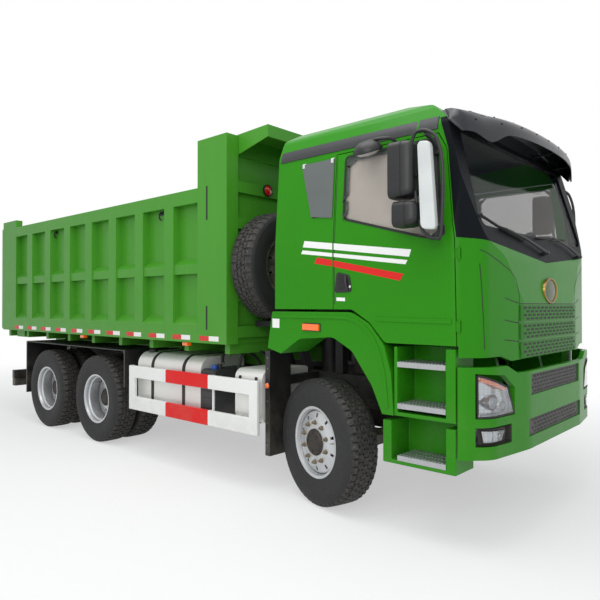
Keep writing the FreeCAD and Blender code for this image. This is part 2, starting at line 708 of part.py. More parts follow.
def kit_bracket(ahead, depth_half, bottom):
    """An angle on the rail that carries a tank or box: upright and shelf."""
    half, face = BRACKET_WIDTH / 2.0, -RAIL_HALF - SEAT_GAP
    upright = block(ahead - half, ahead + half, face, -RAIL_HALF - BRACKET_THICKNESS,
                    bottom - BRACKET_THICKNESS, FRAME_BOTTOM + RAIL_DEPTH / 2.0)
    shelf = block(ahead - half, ahead + half, face, -depth_half,
                  bottom - BRACKET_THICKNESS, bottom - SEAT_GAP)
    return upright.fuse(shelf)


def frame_side():
    """What each rail carries, for the right side: cab pin and rest, bed ear with its pin, rear arm."""
    face = -RAIL_HALF - SEAT_GAP
    cab_pin = rod(at(CAB_PIVOT_AHEAD, face, CAB_PIVOT_Z),
                  at(CAB_PIVOT_AHEAD, -RAIL_HALF - MOVING_GAP - CAB_ARM_WIDTH - MOVING_GAP, CAB_PIVOT_Z),
                  CAB_PIN_RADIUS)
    rest = block(CAB_REST_BEHIND - CAB_REST_WIDTH / 2.0, CAB_REST_BEHIND + CAB_REST_WIDTH / 2.0,
                 -RAIL_HALF, -RAIL_HALF + RAIL_FLANGE, FRAME_TOP + SEAT_GAP, CAB_FLOOR_BOTTOM - SEAT_GAP)
    ear_front, ear_rear = RAIL_REAR + BED_EAR_RADIUS * 2.0, BED_PIVOT_BEHIND - BED_EAR_RADIUS
    ear = plate_y([(ear_front, FRAME_BOTTOM), (ear_front, FRAME_TOP),
                   (BED_PIVOT_BEHIND + BED_EAR_RADIUS, BED_PIVOT_Z + BED_EAR_RADIUS),
                   (ear_rear, BED_PIVOT_Z + BED_EAR_RADIUS), (ear_rear, FRAME_BOTTOM)],
                  face, -RAIL_HALF - BED_EAR_THICKNESS, [0, 0, BED_EAR_RADIUS / 2.0, BED_EAR_RADIUS / 2.0, 0])
    pin_end = RAIL_HALF + BED_EAR_THICKNESS + MOVING_GAP + BED_LUG_THICKNESS + MOVING_GAP
    bed_pin = rod(at(BED_PIVOT_BEHIND, face, BED_PIVOT_Z), at(BED_PIVOT_BEHIND, -pin_end, BED_PIVOT_Z),
                  BED_PIN_RADIUS)
    top = FRAME_BOTTOM - SEAT_GAP
    arm = plate_y([(UNDERRIDE_FRONT + OVERRUN, top), (UNDERRIDE_FRONT + OVERRUN / 2.0, top),
                   (UNDERRIDE_FRONT, UNDERRIDE_BOTTOM + UNDERRIDE_HEIGHT), (UNDERRIDE_FRONT, UNDERRIDE_BOTTOM),
                   (UNDERRIDE_FRONT + UNDERRIDE_LENGTH, UNDERRIDE_BOTTOM)],
                  -RAIL_HALF - BED_EAR_THICKNESS, -RAIL_HALF + RAIL_FLANGE / 2.0)
    return [cab_pin, rest, fused([ear, bed_pin]), arm]


def tow_beam(beam_rear, beam_front, half, low, high, plate_rear, plate_z):
    """An end beam of the frame with a flat tow plate, its bore upright for a pin."""
    plate = block(plate_rear, plate_rear + TOW_PLATE_LENGTH, -TOW_PLATE_HALF, TOW_PLATE_HALF,
                  plate_z, plate_z + TOW_PLATE_THICKNESS)
    middle = plate_rear + TOW_PLATE_LENGTH / 2.0
    bore = rod(at(middle, 0, plate_z - TOW_PLATE_THICKNESS), at(middle, 0, plate_z + 2.0 * TOW_PLATE_THICKNESS),
               TOW_BORE_RADIUS)
    return fused([block(beam_rear, beam_front, -half, half, low, high), plate]).cut(bore)


def hoist_cradle():
    """The low cross plate that the hoist stands on: two ears with the pin through them."""
    half = RAIL_HALF - RAIL_FLANGE - SEAT_GAP
    low, high = HOIST_AHEAD - HOIST_EAR_RADIUS, HOIST_AHEAD + HOIST_EAR_RADIUS
    pieces = [block(low, high, -half, half, FRAME_BOTTOM, FRAME_BOTTOM + BRACKET_THICKNESS)]
    for side in (-1.0, 1.0):
        near = side * (HOIST_FOOT_HALF + MOVING_GAP)
        pieces.append(plate_y([(low, FRAME_BOTTOM), (high, FRAME_BOTTOM), (high, HOIST_FOOT_Z + HOIST_EAR_RADIUS),
                               (low, HOIST_FOOT_Z + HOIST_EAR_RADIUS)], near, near + side * HOIST_EAR_THICKNESS,
                              [0, 0, HOIST_EAR_RADIUS * 0.9, HOIST_EAR_RADIUS * 0.9]))
    reach = HOIST_FOOT_HALF + MOVING_GAP + HOIST_EAR_THICKNESS
    pieces.append(rod(at(HOIST_AHEAD, -reach, HOIST_FOOT_Z), at(HOIST_AHEAD, reach, HOIST_FOOT_Z), HOIST_PIN_RADIUS))
    return fused(pieces)


def make_frame():
    """Two rails and their members, each seated against the next by a fine seam."""
    right = [frame_rail()] + frame_side()
    members = right + [mirrored(piece) for piece in right]
    for share in KIT_BRACKET_SHARES:
        members.append(kit_bracket(TANK_FRONT - TANK_LENGTH * share, KIT_HALF_WIDTH - TANK_ROUND, TANK_BOTTOM))
    members.append(kit_bracket(BATTERY_FRONT - BATTERY_LENGTH / 2.0, KIT_HALF_WIDTH - BATTERY_ROUND, BATTERY_BOTTOM))
    members += [cross_member(place) for place in CROSS_MEMBER_PLACES]
    members.append(hoist_cradle())
    between_webs, between_flanges = RAIL_HALF - RAIL_WEB - SEAT_GAP, RAIL_HALF - RAIL_FLANGE - SEAT_GAP
    members.append(tow_beam(RAIL_REAR, RAIL_REAR + CROSS_MEMBER_LENGTH, between_webs,
                            FRAME_BOTTOM + RAIL_WEB + SEAT_GAP, FRAME_TOP - RAIL_WEB - SEAT_GAP,
                            RAIL_REAR - TOW_PLATE_LENGTH, TOW_REAR_Z))
    members.append(tow_beam(RAIL_FRONT - CROSS_MEMBER_LENGTH, RAIL_FRONT, between_flanges,
                            TOW_FRONT_Z, TOW_FRONT_Z + CROSS_MEMBER_DEPTH / 2.0, RAIL_FRONT, TOW_FRONT_Z))
    save("frame_rails", members)


def make_axles():
    """Front beam with leaf springs; two driven rear axles with their springs."""
    half = AXLE_BEAM_HALF_HEIGHT
    drop_z = AXLE_Z - AXLE_DROP
    middle = block(-AXLE_BEAM_HALF_LENGTH, AXLE_BEAM_HALF_LENGTH, -SPRING_Y - SPRING_WIDTH,
                   SPRING_Y + SPRING_WIDTH, drop_z - half, drop_z + half)
    ends = []
    for side in (-1.0, 1.0):
        ends.append(plate_x([(side * (SPRING_Y + SPRING_WIDTH / 2.0), drop_z - half),
                             (side * (SPRING_Y + SPRING_WIDTH / 2.0), drop_z + half),
                             (side * (KINGPIN_HALF - 2.0 * half), AXLE_Z + half),
                             (side * KINGPIN_HALF, AXLE_Z + half), (side * KINGPIN_HALF, AXLE_Z - half),
                             (side * (KINGPIN_HALF - 2.0 * half), AXLE_Z - half)],
                            -AXLE_BEAM_HALF_LENGTH, AXLE_BEAM_HALF_LENGTH))
        ends.append(rod(at(0, side * KINGPIN_HALF, AXLE_Z - half), at(0, side * KINGPIN_HALF, AXLE_Z + half),
                        AXLE_BOSS_RADIUS))
        spring_low = drop_z + half
        spring_high = FRAME_BOTTOM - SEAT_GAP
        reach = SPRING_HALF_LENGTH
        inner, outer = side * (SPRING_Y - SPRING_WIDTH / 2.0), side * (SPRING_Y + SPRING_WIDTH / 2.0)
        leaf = plate_y([(-reach, spring_high - SPRING_THICKNESS), (-AXLE_BEAM_HALF_LENGTH, spring_low),
                        (AXLE_BEAM_HALF_LENGTH, spring_low), (reach, spring_high - SPRING_THICKNESS),
                        (reach, spring_high), (reach - SPRING_THICKNESS, spring_high),
                        (AXLE_BEAM_HALF_LENGTH, spring_low + SPRING_THICKNESS),
                        (-AXLE_BEAM_HALF_LENGTH, spring_low + SPRING_THICKNESS),
                        (-reach + SPRING_THICKNESS, spring_high), (-reach, spring_high)], inner, outer)
        ends.append(leaf)
    front = fused([middle] + ends)
    for side in (-1.0, 1.0):
        front = front.cut(rod(at(0, side * KINGPIN_HALF, 0), at(0, side * KINGPIN_HALF, FRAME_TOP),
                              KINGPIN_RADIUS + SEAT_GAP))
    save("front_axle", [front])
    pieces = []
    tip = DUAL_OUTER_HALF - DUAL_SPACING / 2.0 - DISC_THICKNESS
    for axle in (MID_AXLE, REAR_AXLE):
        pieces.append(rod(at(axle, -tip, AXLE_Z), at(axle, tip, AXLE_Z), REAR_AXLE_RADIUS))
        pieces.append(rod(at(axle, -DIFF_WIDTH / 2.0, AXLE_Z), at(axle, DIFF_WIDTH / 2.0, AXLE_Z), DIFF_RADIUS))
    saddle = (MID_AXLE + REAR_AXLE) / 2.0
    span = BOGIE_SPREAD / 2.0
    for side in (-1.0, 1.0):
        inner, outer = side * (SPRING_Y - SPRING_WIDTH / 2.0), side * (SPRING_Y + SPRING_WIDTH / 2.0)
        low = AXLE_Z + REAR_AXLE_RADIUS - RIM_WALL
        top = low + REAR_SPRING_THICKNESS
        pieces.append(plate_y([(saddle - span, low), (saddle + span, low), (saddle + span, low + SPRING_THICKNESS),
                               (saddle + SADDLE_HALF_LENGTH, top), (saddle - SADDLE_HALF_LENGTH, top),
                               (saddle - span, low + SPRING_THICKNESS)], inner, outer))
        pieces.append(block(saddle - SADDLE_HALF_LENGTH, saddle + SADDLE_HALF_LENGTH, inner, outer,
                            low, FRAME_BOTTOM - SEAT_GAP))
    save("rear_axles", [fused(pieces)])


def make_drive_line():
    """The engine as a plain block, the gearbox behind it and the shaft to the axles."""
    rear = ENGINE_FRONT - ENGINE_LENGTH
    z = AXLE_Z + DIFF_RADIUS
    engine = block(rear, ENGINE_FRONT, -ENGINE_HALF_WIDTH, ENGINE_HALF_WIDTH, ENGINE_BOTTOM, ENGINE_TOP)
    gearbox_end = rear - GEARBOX_LENGTH / 2.0
    gearbox = rod(at(rear, 0, z), at(gearbox_end, 0, z), GEARBOX_RADIUS)
    mounts = []
    for share in MOUNT_SHARES:
        place = ENGINE_FRONT - share * ENGINE_LENGTH
        mounts.append(block(place - BRACKET_WIDTH, place, -RAIL_HALF + RAIL_WEB + SEAT_GAP,
                            RAIL_HALF - RAIL_WEB - SEAT_GAP, FRAME_BOTTOM + RAIL_FLANGE,
                            FRAME_BOTTOM + RAIL_FLANGE + BRACKET_WIDTH))
    save("engine_and_gearbox", [fused([engine, gearbox] + mounts)])


# Front bumper, lamps and steps

def front_plan_face(half_width, front, rear, z):
    """The rounded nose in plan, shared by cab and bumper."""
    length = front - CAB_REAR
    right = [(CAB_REAR + u * length, -v * half_width) for u, v in CAB_PLAN_SHARES[1:]]
    left = [(a, -y) for a, y in reversed(right)]
    rounds = [share * length / 2.0 for share in CAB_PLAN_ROUND_SHARES[1:]]
    points = [(rear, -half_width)] + right + left + [(rear, half_width)]
    radii = [0] + rounds + list(reversed(rounds)) + [0]
    return flat_face([at(a, y, z) for a, y in points], radii)


def bumper_form(inset):
    """The outer form of the bumper, drawn in by an inset."""
    plan = front_plan_face(BUMPER_HALF_WIDTH, FRONT_OVERHANG, BUMPER_REAR - OVERRUN, BUMPER_BOTTOM)
    if inset:
        plan = plan.makeOffset2D(-inset)
    body = plan.extrude(Vector(0, 0, BUMPER_CORNER_TOP - BUMPER_BOTTOM))
    keep = block(BUMPER_REAR, FRONT_OVERHANG, -BODY_HALF_WIDTH, BODY_HALF_WIDTH, BUMPER_BOTTOM, BUMPER_CORNER_TOP)
    return body.common(keep)


def bumper_layer(start, depth):
    return bumper_form(start).cut(bumper_form(start + depth))


def lamp_outline():
    """Headlamp outline on the right, as (y, z): its upper edge curves down towards the middle."""
    width, height = LAMP_OUTER_HALF - LAMP_INNER_HALF, LAMP_TOP - LAMP_BOTTOM
    top = [(-(LAMP_INNER_HALF + u * width), LAMP_BOTTOM + v * height) for u, v in LAMP_TOP_SHARES]
    return [(-LAMP_OUTER_HALF, LAMP_BOTTOM), (-LAMP_INNER_HALF, LAMP_BOTTOM)] + top


def grown(points, margin):
    """The same outline, each point pushed away from the middle by a margin."""
    middle_y = sum(y for y, z in points) / len(points)
    middle_z = sum(z for y, z in points) / len(points)
    return [(y + math.copysign(margin, y - middle_y), z + math.copysign(margin, z - middle_z)) for y, z in points]


def make_bumper():
    shell = bumper_layer(0, BUMPER_WALL)
    centre_cut = plate_x([(-CAB_CORNER_START, BUMPER_TOP), (CAB_CORNER_START, BUMPER_TOP),
                          (CAB_CORNER_END, BUMPER_CORNER_TOP), (CAB_CORNER_END, CAB_TOP),
                          (-CAB_CORNER_END, CAB_TOP), (-CAB_CORNER_END, BUMPER_CORNER_TOP)],
                         BUMPER_REAR, FRONT_OVERHANG + MOVING_GAP)
    head = lamp_outline()
    fog = [(-LAMP_OUTER_HALF, FOG_BOTTOM), (-FOG_INNER_HALF, FOG_BOTTOM),
           (-FOG_INNER_HALF, FOG_TOP), (-LAMP_OUTER_HALF, FOG_TOP)]
    shell = shell.cut(centre_cut)
    lamps = []
    for lamp in (head, fog):
        pocket = plate_x(grown(lamp, SEAT_GAP), BUMPER_REAR - MOVING_GAP, FRONT_OVERHANG + MOVING_GAP)
        body = bumper_layer(SEAT_GAP, LAMP_DEPTH).common(
            plate_x(lamp, BUMPER_REAR - MOVING_GAP, FRONT_OVERHANG + MOVING_GAP))
        shell = shell.cut(pocket).cut(mirrored(pocket))
        lamps += [body, mirrored(body)]
    meshes = []
    for half, bottom, top in ((INTAKE_HALF, INTAKE_BOTTOM, INTAKE_TOP), (SLOT_HALF, SLOT_BOTTOM, SLOT_TOP)):
        opening = block(BUMPER_REAR, FRONT_OVERHANG + MOVING_GAP, -half, half, bottom, top)
        shell = shell.cut(opening)
        fit = block(BUMPER_REAR, FRONT_OVERHANG, SEAT_GAP - half, half - SEAT_GAP, bottom + SEAT_GAP, top - SEAT_GAP)
        meshes.append(bumper_layer(MESH_INSET, MESH_THICKNESS).common(fit))
    stays = []
    for side in (-1.0, 1.0):
        stays.append(block(RAIL_FRONT + SEAT_GAP, FRONT_OVERHANG - BUMPER_WALL / 2.0,
                           side * (RAIL_HALF - RAIL_FLANGE), side * RAIL_HALF,
                           INTAKE_TOP + STEP_WALL, SLOT_BOTTOM - STEP_WALL))
    save("front_bumper", [fused([shell] + stays)])
    save("front_lamps", lamps)
    save("bumper_grilles", meshes)


def step_box(bottom, top, rear, post):
    """One step housing: back wall, floor, top, and a post at its front and rear."""
    outer, inner = -(BODY_HALF_WIDTH - STEP_WALL / 2.0), -(BODY_HALF_WIDTH - STEP_DEPTH)
    body = block(rear, STEP_FRONT, outer, inner, bottom, top)
    hollow = block(rear + post, STEP_FRONT - STEP_POST_WIDTH, outer - MOVING_GAP, inner - STEP_WALL,
                   bottom + STEP_WALL, top + MOVING_GAP)
    return body.cut(hollow)


def make_steps():
    upper = step_box(STEP_SPLIT + STEP_SPLIT_GAP / 2.0, STEP_TOP, CAB_ARCH_LOW + STEP_POST_WIDTH, STEP_WALL)
    lower = step_box(STEP_BOTTOM, STEP_SPLIT - STEP_SPLIT_GAP / 2.0, STEP_REAR, STEP_POST_WIDTH)
    inner = BODY_HALF_WIDTH - STEP_DEPTH
    rear, front = STEP_FRONT - STEP_POST_WIDTH * 2.0, STEP_FRONT - STEP_POST_WIDTH
    tie = block(rear, front, -inner, -inner - STEP_WALL, STEP_SPLIT - STEP_POST_WIDTH, STEP_SPLIT + STEP_POST_WIDTH)
    arm_top = STEP_SPLIT - STEP_SPLIT_GAP
    arm = block(rear, front, -inner - STEP_WALL, -RAIL_HALF - SEAT_GAP, arm_top - STEP_POST_WIDTH, arm_top)
    right = fused([upper, lower, tie, arm])
    save("step_boxes", [right, mirrored(right)])
    treads = []
    rear = CAB_ARCH_LOW + STEP_POST_WIDTH + STEP_WALL + SEAT_GAP
    front = STEP_FRONT - STEP_POST_WIDTH - SEAT_GAP
    for z in (TREAD_UPPER_Z, TREAD_MIDDLE_Z, STEP_BOTTOM + STEP_WALL + SEAT_GAP):
        outer = -(BODY_HALF_WIDTH - STEP_WALL / 2.0)
        back = -(BODY_HALF_WIDTH - STEP_DEPTH + STEP_WALL + SEAT_GAP)
        tread = block(rear, front, outer, back, z, z + TREAD_THICKNESS)
        treads += [tread, mirrored(tread)]
    save("step_treads", treads)


def fender_outline():
    """Side view of the front fender: over the arch from its rear tip, and back along the wheel's side."""
    split = STEP_SPLIT + STEP_SPLIT_GAP / 2.0
    outer = [(FENDER_REAR_TOP, FENDER_TOP), (CAB_ARCH_FRONT_TOP - DOOR_SEAM, FENDER_TOP),
             (CAB_ARCH_MID - DOOR_SEAM, CAB_ARCH_MID_Z - DOOR_SEAM),
             (CAB_ARCH_LOW - DOOR_SEAM, STEP_TOP + DOOR_SEAM),
             (CAB_ARCH_LOW + 4.0 * FENDER_WALL, CAB_SKIRT_BOTTOM - 8.0 * FENDER_WALL),
             (CAB_ARCH_LOW + STEP_POST_WIDTH - SEAT_GAP, split), (STEP_REAR - SEAT_GAP, split)]
    length, height = STEP_REAR - FENDER_REAR_TOP, FENDER_TOP - STEP_SPLIT
    arch = [(FENDER_REAR_TOP + u * length, STEP_SPLIT + v * height) for u, v in FENDER_ARCH_SHARES]
    tip = [(FENDER_REAR_TOP + 7.5 * FENDER_WALL, FRONT_FLAP_TOP),
           (FENDER_REAR_TOP - 4.0 * FENDER_WALL, FRONT_FLAP_TOP + 3.0 * FENDER_WALL)]
    return outer + arch + tip


def make_fenders():
    points, radii = fender_outline(), [share * FENDER_ROUND for share in FENDER_ROUND_SHARES]
    body = plate_y(points, -CAB_HALF_WIDTH, -FENDER_INNER_HALF, radii)
    face = flat_face([at(a, FENDER_WALL - CAB_HALF_WIDTH, z) for a, z in points], radii)
    right = body.cut(face.makeOffset2D(-FENDER_WALL).extrude(Vector(0, CAB_HALF_WIDTH, 0)))
    save("front_fenders", [right, mirrored(right)])


def make_mudguards():
    front = block(FRONT_FLAP_FACE - FRONT_FLAP_THICKNESS, FRONT_FLAP_FACE, -FLAP_OUTER_HALF, -FLAP_INNER_HALF,
                  FRONT_FLAP_BOTTOM, FRONT_FLAP_TOP)
    stay = block(FRONT_FLAP_FACE - FRONT_FLAP_THICKNESS, FRONT_FLAP_FACE, -FLAP_INNER_HALF, -RAIL_HALF - SEAT_GAP,
                 FRAME_TOP - RAIL_FLANGE, FRAME_TOP)
    pieces = [fused([front, stay])]
    low, high = REAR_GUARD_Z, REAR_GUARD_Z + REAR_GUARD_THICKNESS
    start, end = REAR_AXLE - REAR_GUARD_REACH, MID_AXLE + REAR_GUARD_REACH
    guard = [block(start, end, -REAR_GUARD_OUTER_HALF, -REAR_GUARD_INNER_HALF, low, high)]
    for place, bottom in ((start, REAR_FLAP_BOTTOM), (end, FRAME_BOTTOM)):
        guard.append(block(place - REAR_GUARD_THICKNESS, place + REAR_GUARD_THICKNESS, -REAR_GUARD_OUTER_HALF,
                           -REAR_GUARD_INNER_HALF, bottom, high))
    for place in (start + GUARD_BRACKET_RADIUS, (start + end) / 2.0, end - GUARD_BRACKET_RADIUS):
        z = low - GUARD_BRACKET_RADIUS * 0.8
        guard.append(rod(at(place, -RAIL_HALF - SEAT_GAP, z), at(place, -REAR_GUARD_OUTER_HALF, z),
                         GUARD_BRACKET_RADIUS))
        guard.append(block(place - GUARD_BRACKET_RADIUS, place + GUARD_BRACKET_RADIUS, -RAIL_HALF - SEAT_GAP,
                           -RAIL_HALF - BRACKET_THICKNESS, FRAME_TOP - RAIL_FLANGE, z))
    pieces.append(fused(guard))
    save("mudguards", pieces + [mirrored(piece) for piece in pieces])


# Tanks, boxes, guards and spare wheel

def rounded_tank(rear, front, outer, depth, bottom, height, outer_round, side):
    """A tank whose outer edges are well rounded, seen along the truck."""
    inner_round = outer_round / 3.0
    points = [(side * outer, bottom), (side * outer, bottom + height),
              (side * (outer - depth), bottom + height), (side * (outer - depth), bottom)]
    return plate_x(points, rear, front, [outer_round, outer_round, inner_round, inner_round])


def make_side_kit():
    tank_rear = TANK_FRONT - TANK_LENGTH
    save("fuel_tank", [rounded_tank(tank_rear, TANK_FRONT, KIT_HALF_WIDTH, TANK_DEPTH, TANK_BOTTOM, TANK_HEIGHT,
                                    TANK_ROUND, -1.0)])
    urea_front = TANK_FRONT + KIT_GAP + UREA_LENGTH
    urea = rounded_tank(TANK_FRONT + SEAT_GAP, urea_front, KIT_HALF_WIDTH, UREA_DEPTH, TANK_BOTTOM + KIT_GAP,
                        UREA_HEIGHT, TANK_ROUND / 3.0, -1.0)
    neck = rod(at(urea_front - UREA_LENGTH / 2.0, -KIT_HALF_WIDTH + TANK_ROUND, TANK_BOTTOM + UREA_HEIGHT),
               at(urea_front - UREA_LENGTH / 2.0, -KIT_HALF_WIDTH + TANK_ROUND,
                  TANK_BOTTOM + UREA_HEIGHT + BRACKET_WIDTH), BRACKET_WIDTH / 2.0)
    save("urea_tank", [fused([urea, neck])])
    save("battery_box", [rounded_tank(BATTERY_FRONT - BATTERY_LENGTH, BATTERY_FRONT, KIT_HALF_WIDTH, BATTERY_DEPTH,
                                      BATTERY_BOTTOM, BATTERY_HEIGHT, BATTERY_ROUND, -1.0)])
    guards = []
    outer, inner = -BODY_HALF_WIDTH, -(BODY_HALF_WIDTH - GUARD_THICKNESS)
    bars = [block(GUARD_REAR, GUARD_FRONT, outer, inner, GUARD_BOTTOM, GUARD_BOTTOM + GUARD_LOWER_HEIGHT),
            block(GUARD_REAR, GUARD_FRONT, outer, inner, GUARD_UPPER_BOTTOM, GUARD_TOP)]
    for end in (GUARD_REAR, GUARD_FRONT - GUARD_POST_WIDTH):
        bars.append(block(end, end + GUARD_POST_WIDTH, outer, inner, GUARD_BOTTOM, GUARD_TOP))
    for place in (TANK_FRONT + UREA_LENGTH + 3.0 * KIT_GAP, GUARD_REAR):
        bars.append(block(place, place + 2.0 * KIT_GAP, inner, -RAIL_HALF - SEAT_GAP,
                          GUARD_TOP - GUARD_LOWER_HEIGHT, GUARD_TOP - GUARD_LOWER_HEIGHT / 2.0))
        bars.append(block(place, place + 2.0 * KIT_GAP, inner, inner + 2.0 * KIT_GAP, GUARD_BOTTOM, GUARD_TOP))
    guard = fused(bars)
    save("side_guards", [guard, mirrored(guard)])
    air = []
    for step in range(2):
        y = KIT_HALF_WIDTH - (1.0 + 2.2 * step) * AIR_TANK_RADIUS
        air.append(rod(at(AIR_TANK_FRONT - AIR_TANK_LENGTH, y, AIR_TANK_Z), at(AIR_TANK_FRONT, y, AIR_TANK_Z),
                       AIR_TANK_RADIUS))
    for share in AIR_STAY_SHARES:
        place = AIR_TANK_FRONT - share * AIR_TANK_LENGTH
        air.append(block(place - KIT_GAP, place + KIT_GAP, RAIL_HALF + SEAT_GAP, KIT_HALF_WIDTH - AIR_TANK_RADIUS,
                         AIR_TANK_Z - KIT_GAP, AIR_TANK_Z + AIR_TANK_RADIUS))
    save("air_tanks", [fused(air)])
    box = rounded_tank(EXHAUST_FRONT - EXHAUST_LENGTH, EXHAUST_FRONT, KIT_HALF_WIDTH, EXHAUST_DEPTH,
                       EXHAUST_BOTTOM, EXHAUST_HEIGHT, BATTERY_ROUND, 1.0)
    stay = block(EXHAUST_FRONT - EXHAUST_LENGTH / 2.0, EXHAUST_FRONT - EXHAUST_LENGTH / 2.0 + BRACKET_WIDTH,
                 RAIL_HALF + SEAT_GAP, KIT_HALF_WIDTH - EXHAUST_DEPTH, FRAME_BOTTOM + KIT_GAP, FRAME_TOP - RAIL_WEB)
    save("exhaust_box", [fused([box, stay])])
    oil = plate_x([(OIL_TANK_INNER, FRAME_TOP + SEAT_GAP), (OIL_TANK_INNER + OIL_TANK_WIDTH, FRAME_TOP + SEAT_GAP),
                   (OIL_TANK_INNER + OIL_TANK_WIDTH, FRAME_TOP + OIL_TANK_HEIGHT),
                   (OIL_TANK_INNER, FRAME_TOP + OIL_TANK_HEIGHT)],
                  OIL_TANK_FRONT - OIL_TANK_LENGTH, OIL_TANK_FRONT, [OIL_TANK_ROUND] * 4)
    save("hydraulic_tank", [oil])


def make_spare():
    middle = SPARE_FRONT - TYRE_WIDTH / 2.0
    centre, outward = at(middle, -SPARE_HALF, SPARE_Z), Vector(1, 0, 0)
    save("spare_tyre", [tyre(centre, outward)])
    inner = RIM_SEAT_RADIUS - RIM_WALL
    face = -RIM_WIDTH / 4.0
    disc = turned([(HUB_RADIUS, face + 2.0 * DISC_THICKNESS), (FRONT_DISC_FACE_RADIUS, face + 2.0 * DISC_THICKNESS),
                   (inner, face), (inner, face - DISC_THICKNESS), (HUB_RADIUS, face)], centre, outward)
    save("spare_rim", [fused([rim_barrel(centre, outward), disc])])
    shelf = block(middle - TYRE_WIDTH / 2.0, middle + TYRE_WIDTH / 2.0, -SPARE_HALF - CARRIER_TUBE * 3.0,
                  -SPARE_HALF + CARRIER_TUBE * 3.0, SPARE_Z - TYRE_RADIUS - CARRIER_TUBE, SPARE_Z - TYRE_RADIUS - SEAT_GAP)
    legs = []
    for place in (middle - TYRE_WIDTH / 2.0, middle + TYRE_WIDTH / 2.0 - CARRIER_TUBE):
        legs.append(plate_x([(-RAIL_HALF, FRAME_TOP + SEAT_GAP), (-RAIL_HALF + RAIL_FLANGE, FRAME_TOP + SEAT_GAP),
                             (-SPARE_HALF + 3.0 * CARRIER_TUBE, SPARE_Z - TYRE_RADIUS - SEAT_GAP),
                             (-SPARE_HALF, SPARE_Z - TYRE_RADIUS - SEAT_GAP)], place, place + CARRIER_TUBE))
    save("spare_carrier", [fused([shelf] + legs)])


def make_rear_end():
    bar = block(UNDERRIDE_FRONT - UNDERRIDE_LENGTH, UNDERRIDE_FRONT - SEAT_GAP, -UNDERRIDE_HALF, UNDERRIDE_HALF,
                UNDERRIDE_BOTTOM, UNDERRIDE_BOTTOM + UNDERRIDE_HEIGHT)
    save("underride_bar", [bar])
    top = UNDERRIDE_BOTTOM + UNDERRIDE_HEIGHT + SEAT_GAP
    lamp = block(UNDERRIDE_FRONT - UNDERRIDE_LENGTH, UNDERRIDE_FRONT - UNDERRIDE_LENGTH + TAIL_LAMP_LENGTH,
                 -UNDERRIDE_HALF, -UNDERRIDE_HALF + TAIL_LAMP_WIDTH, top, top + TAIL_LAMP_HEIGHT)
    save("tail_lamps", [lamp, mirrored(lamp)])


# Load bed and tailgate

def side_rail(bottom, height, slope, depth):
    """A pressed rail along the bed side: upright face with a sloped top."""
    root, face = -BED_PLATE_HALF, -(BED_PLATE_HALF + depth)
    points = [(root, bottom), (face, bottom), (face, bottom + height), (root, bottom + height + slope)]
    return plate_x(points, BED_REAR, BED_FRONT)


def bed_side():
    """The right side wall: plate, three rails, ribs and the two corner posts."""
    depth = BODY_HALF_WIDTH - BED_PLATE_HALF
    inner = -(BED_PLATE_HALF - BED_PLATE_THICKNESS)
    plate = block(BED_REAR, HEADBOARD_FRONT, -BED_PLATE_HALF, inner, SILL_BOTTOM, TOP_RAIL_BOTTOM + TOP_RAIL_HEIGHT)
    pieces = [plate, side_rail(SILL_BOTTOM, SILL_HEIGHT, RAIL_SLOPE, depth),
              side_rail(MID_RAIL_BOTTOM, MID_RAIL_HEIGHT, MID_RAIL_SLOPE, MID_RAIL_DEPTH),
              side_rail(TOP_RAIL_BOTTOM, TOP_RAIL_HEIGHT, 0.0, depth)]
    slant = (RIB_WIDTH - RIB_FACE_WIDTH) / 2.0
    for index in range(RIB_COUNT):
        front = RIB_FIRST_FRONT + index * RIB_PITCH
        points = [(front, -BED_PLATE_HALF), (front - slant, -BODY_HALF_WIDTH),
                  (front - RIB_WIDTH + slant, -BODY_HALF_WIDTH), (front - RIB_WIDTH, -BED_PLATE_HALF)]
        pieces.append(plate_z(points, SILL_BOTTOM + SILL_HEIGHT / 2.0, TOP_RAIL_BOTTOM + TOP_RAIL_HEIGHT / 2.0))
    pieces.append(block(BED_REAR, REAR_POST_FRONT, -BODY_HALF_WIDTH, inner, SILL_BOTTOM, REAR_POST_TOP))
    pieces.append(block(FRONT_POST_REAR, BED_FRONT, -BODY_HALF_WIDTH, inner, SILL_BOTTOM, FRONT_POST_TOP))
    pieces.append(block(HEADBOARD_FRONT, BED_FRONT, -BODY_HALF_WIDTH, -FRONT_POST_RETURN_HALF,
                        SILL_BOTTOM, FRONT_POST_TOP))
    pin = rod(at(GATE_PIVOT_BEHIND, -BODY_HALF_WIDTH, GATE_PIVOT_Z),
              at(GATE_PIVOT_BEHIND, inner + GATE_ARM_THICKNESS + 2.0 * MOVING_GAP, GATE_PIVOT_Z), GATE_PIN_RADIUS)
    pieces.append(pin)
    return fused(pieces)


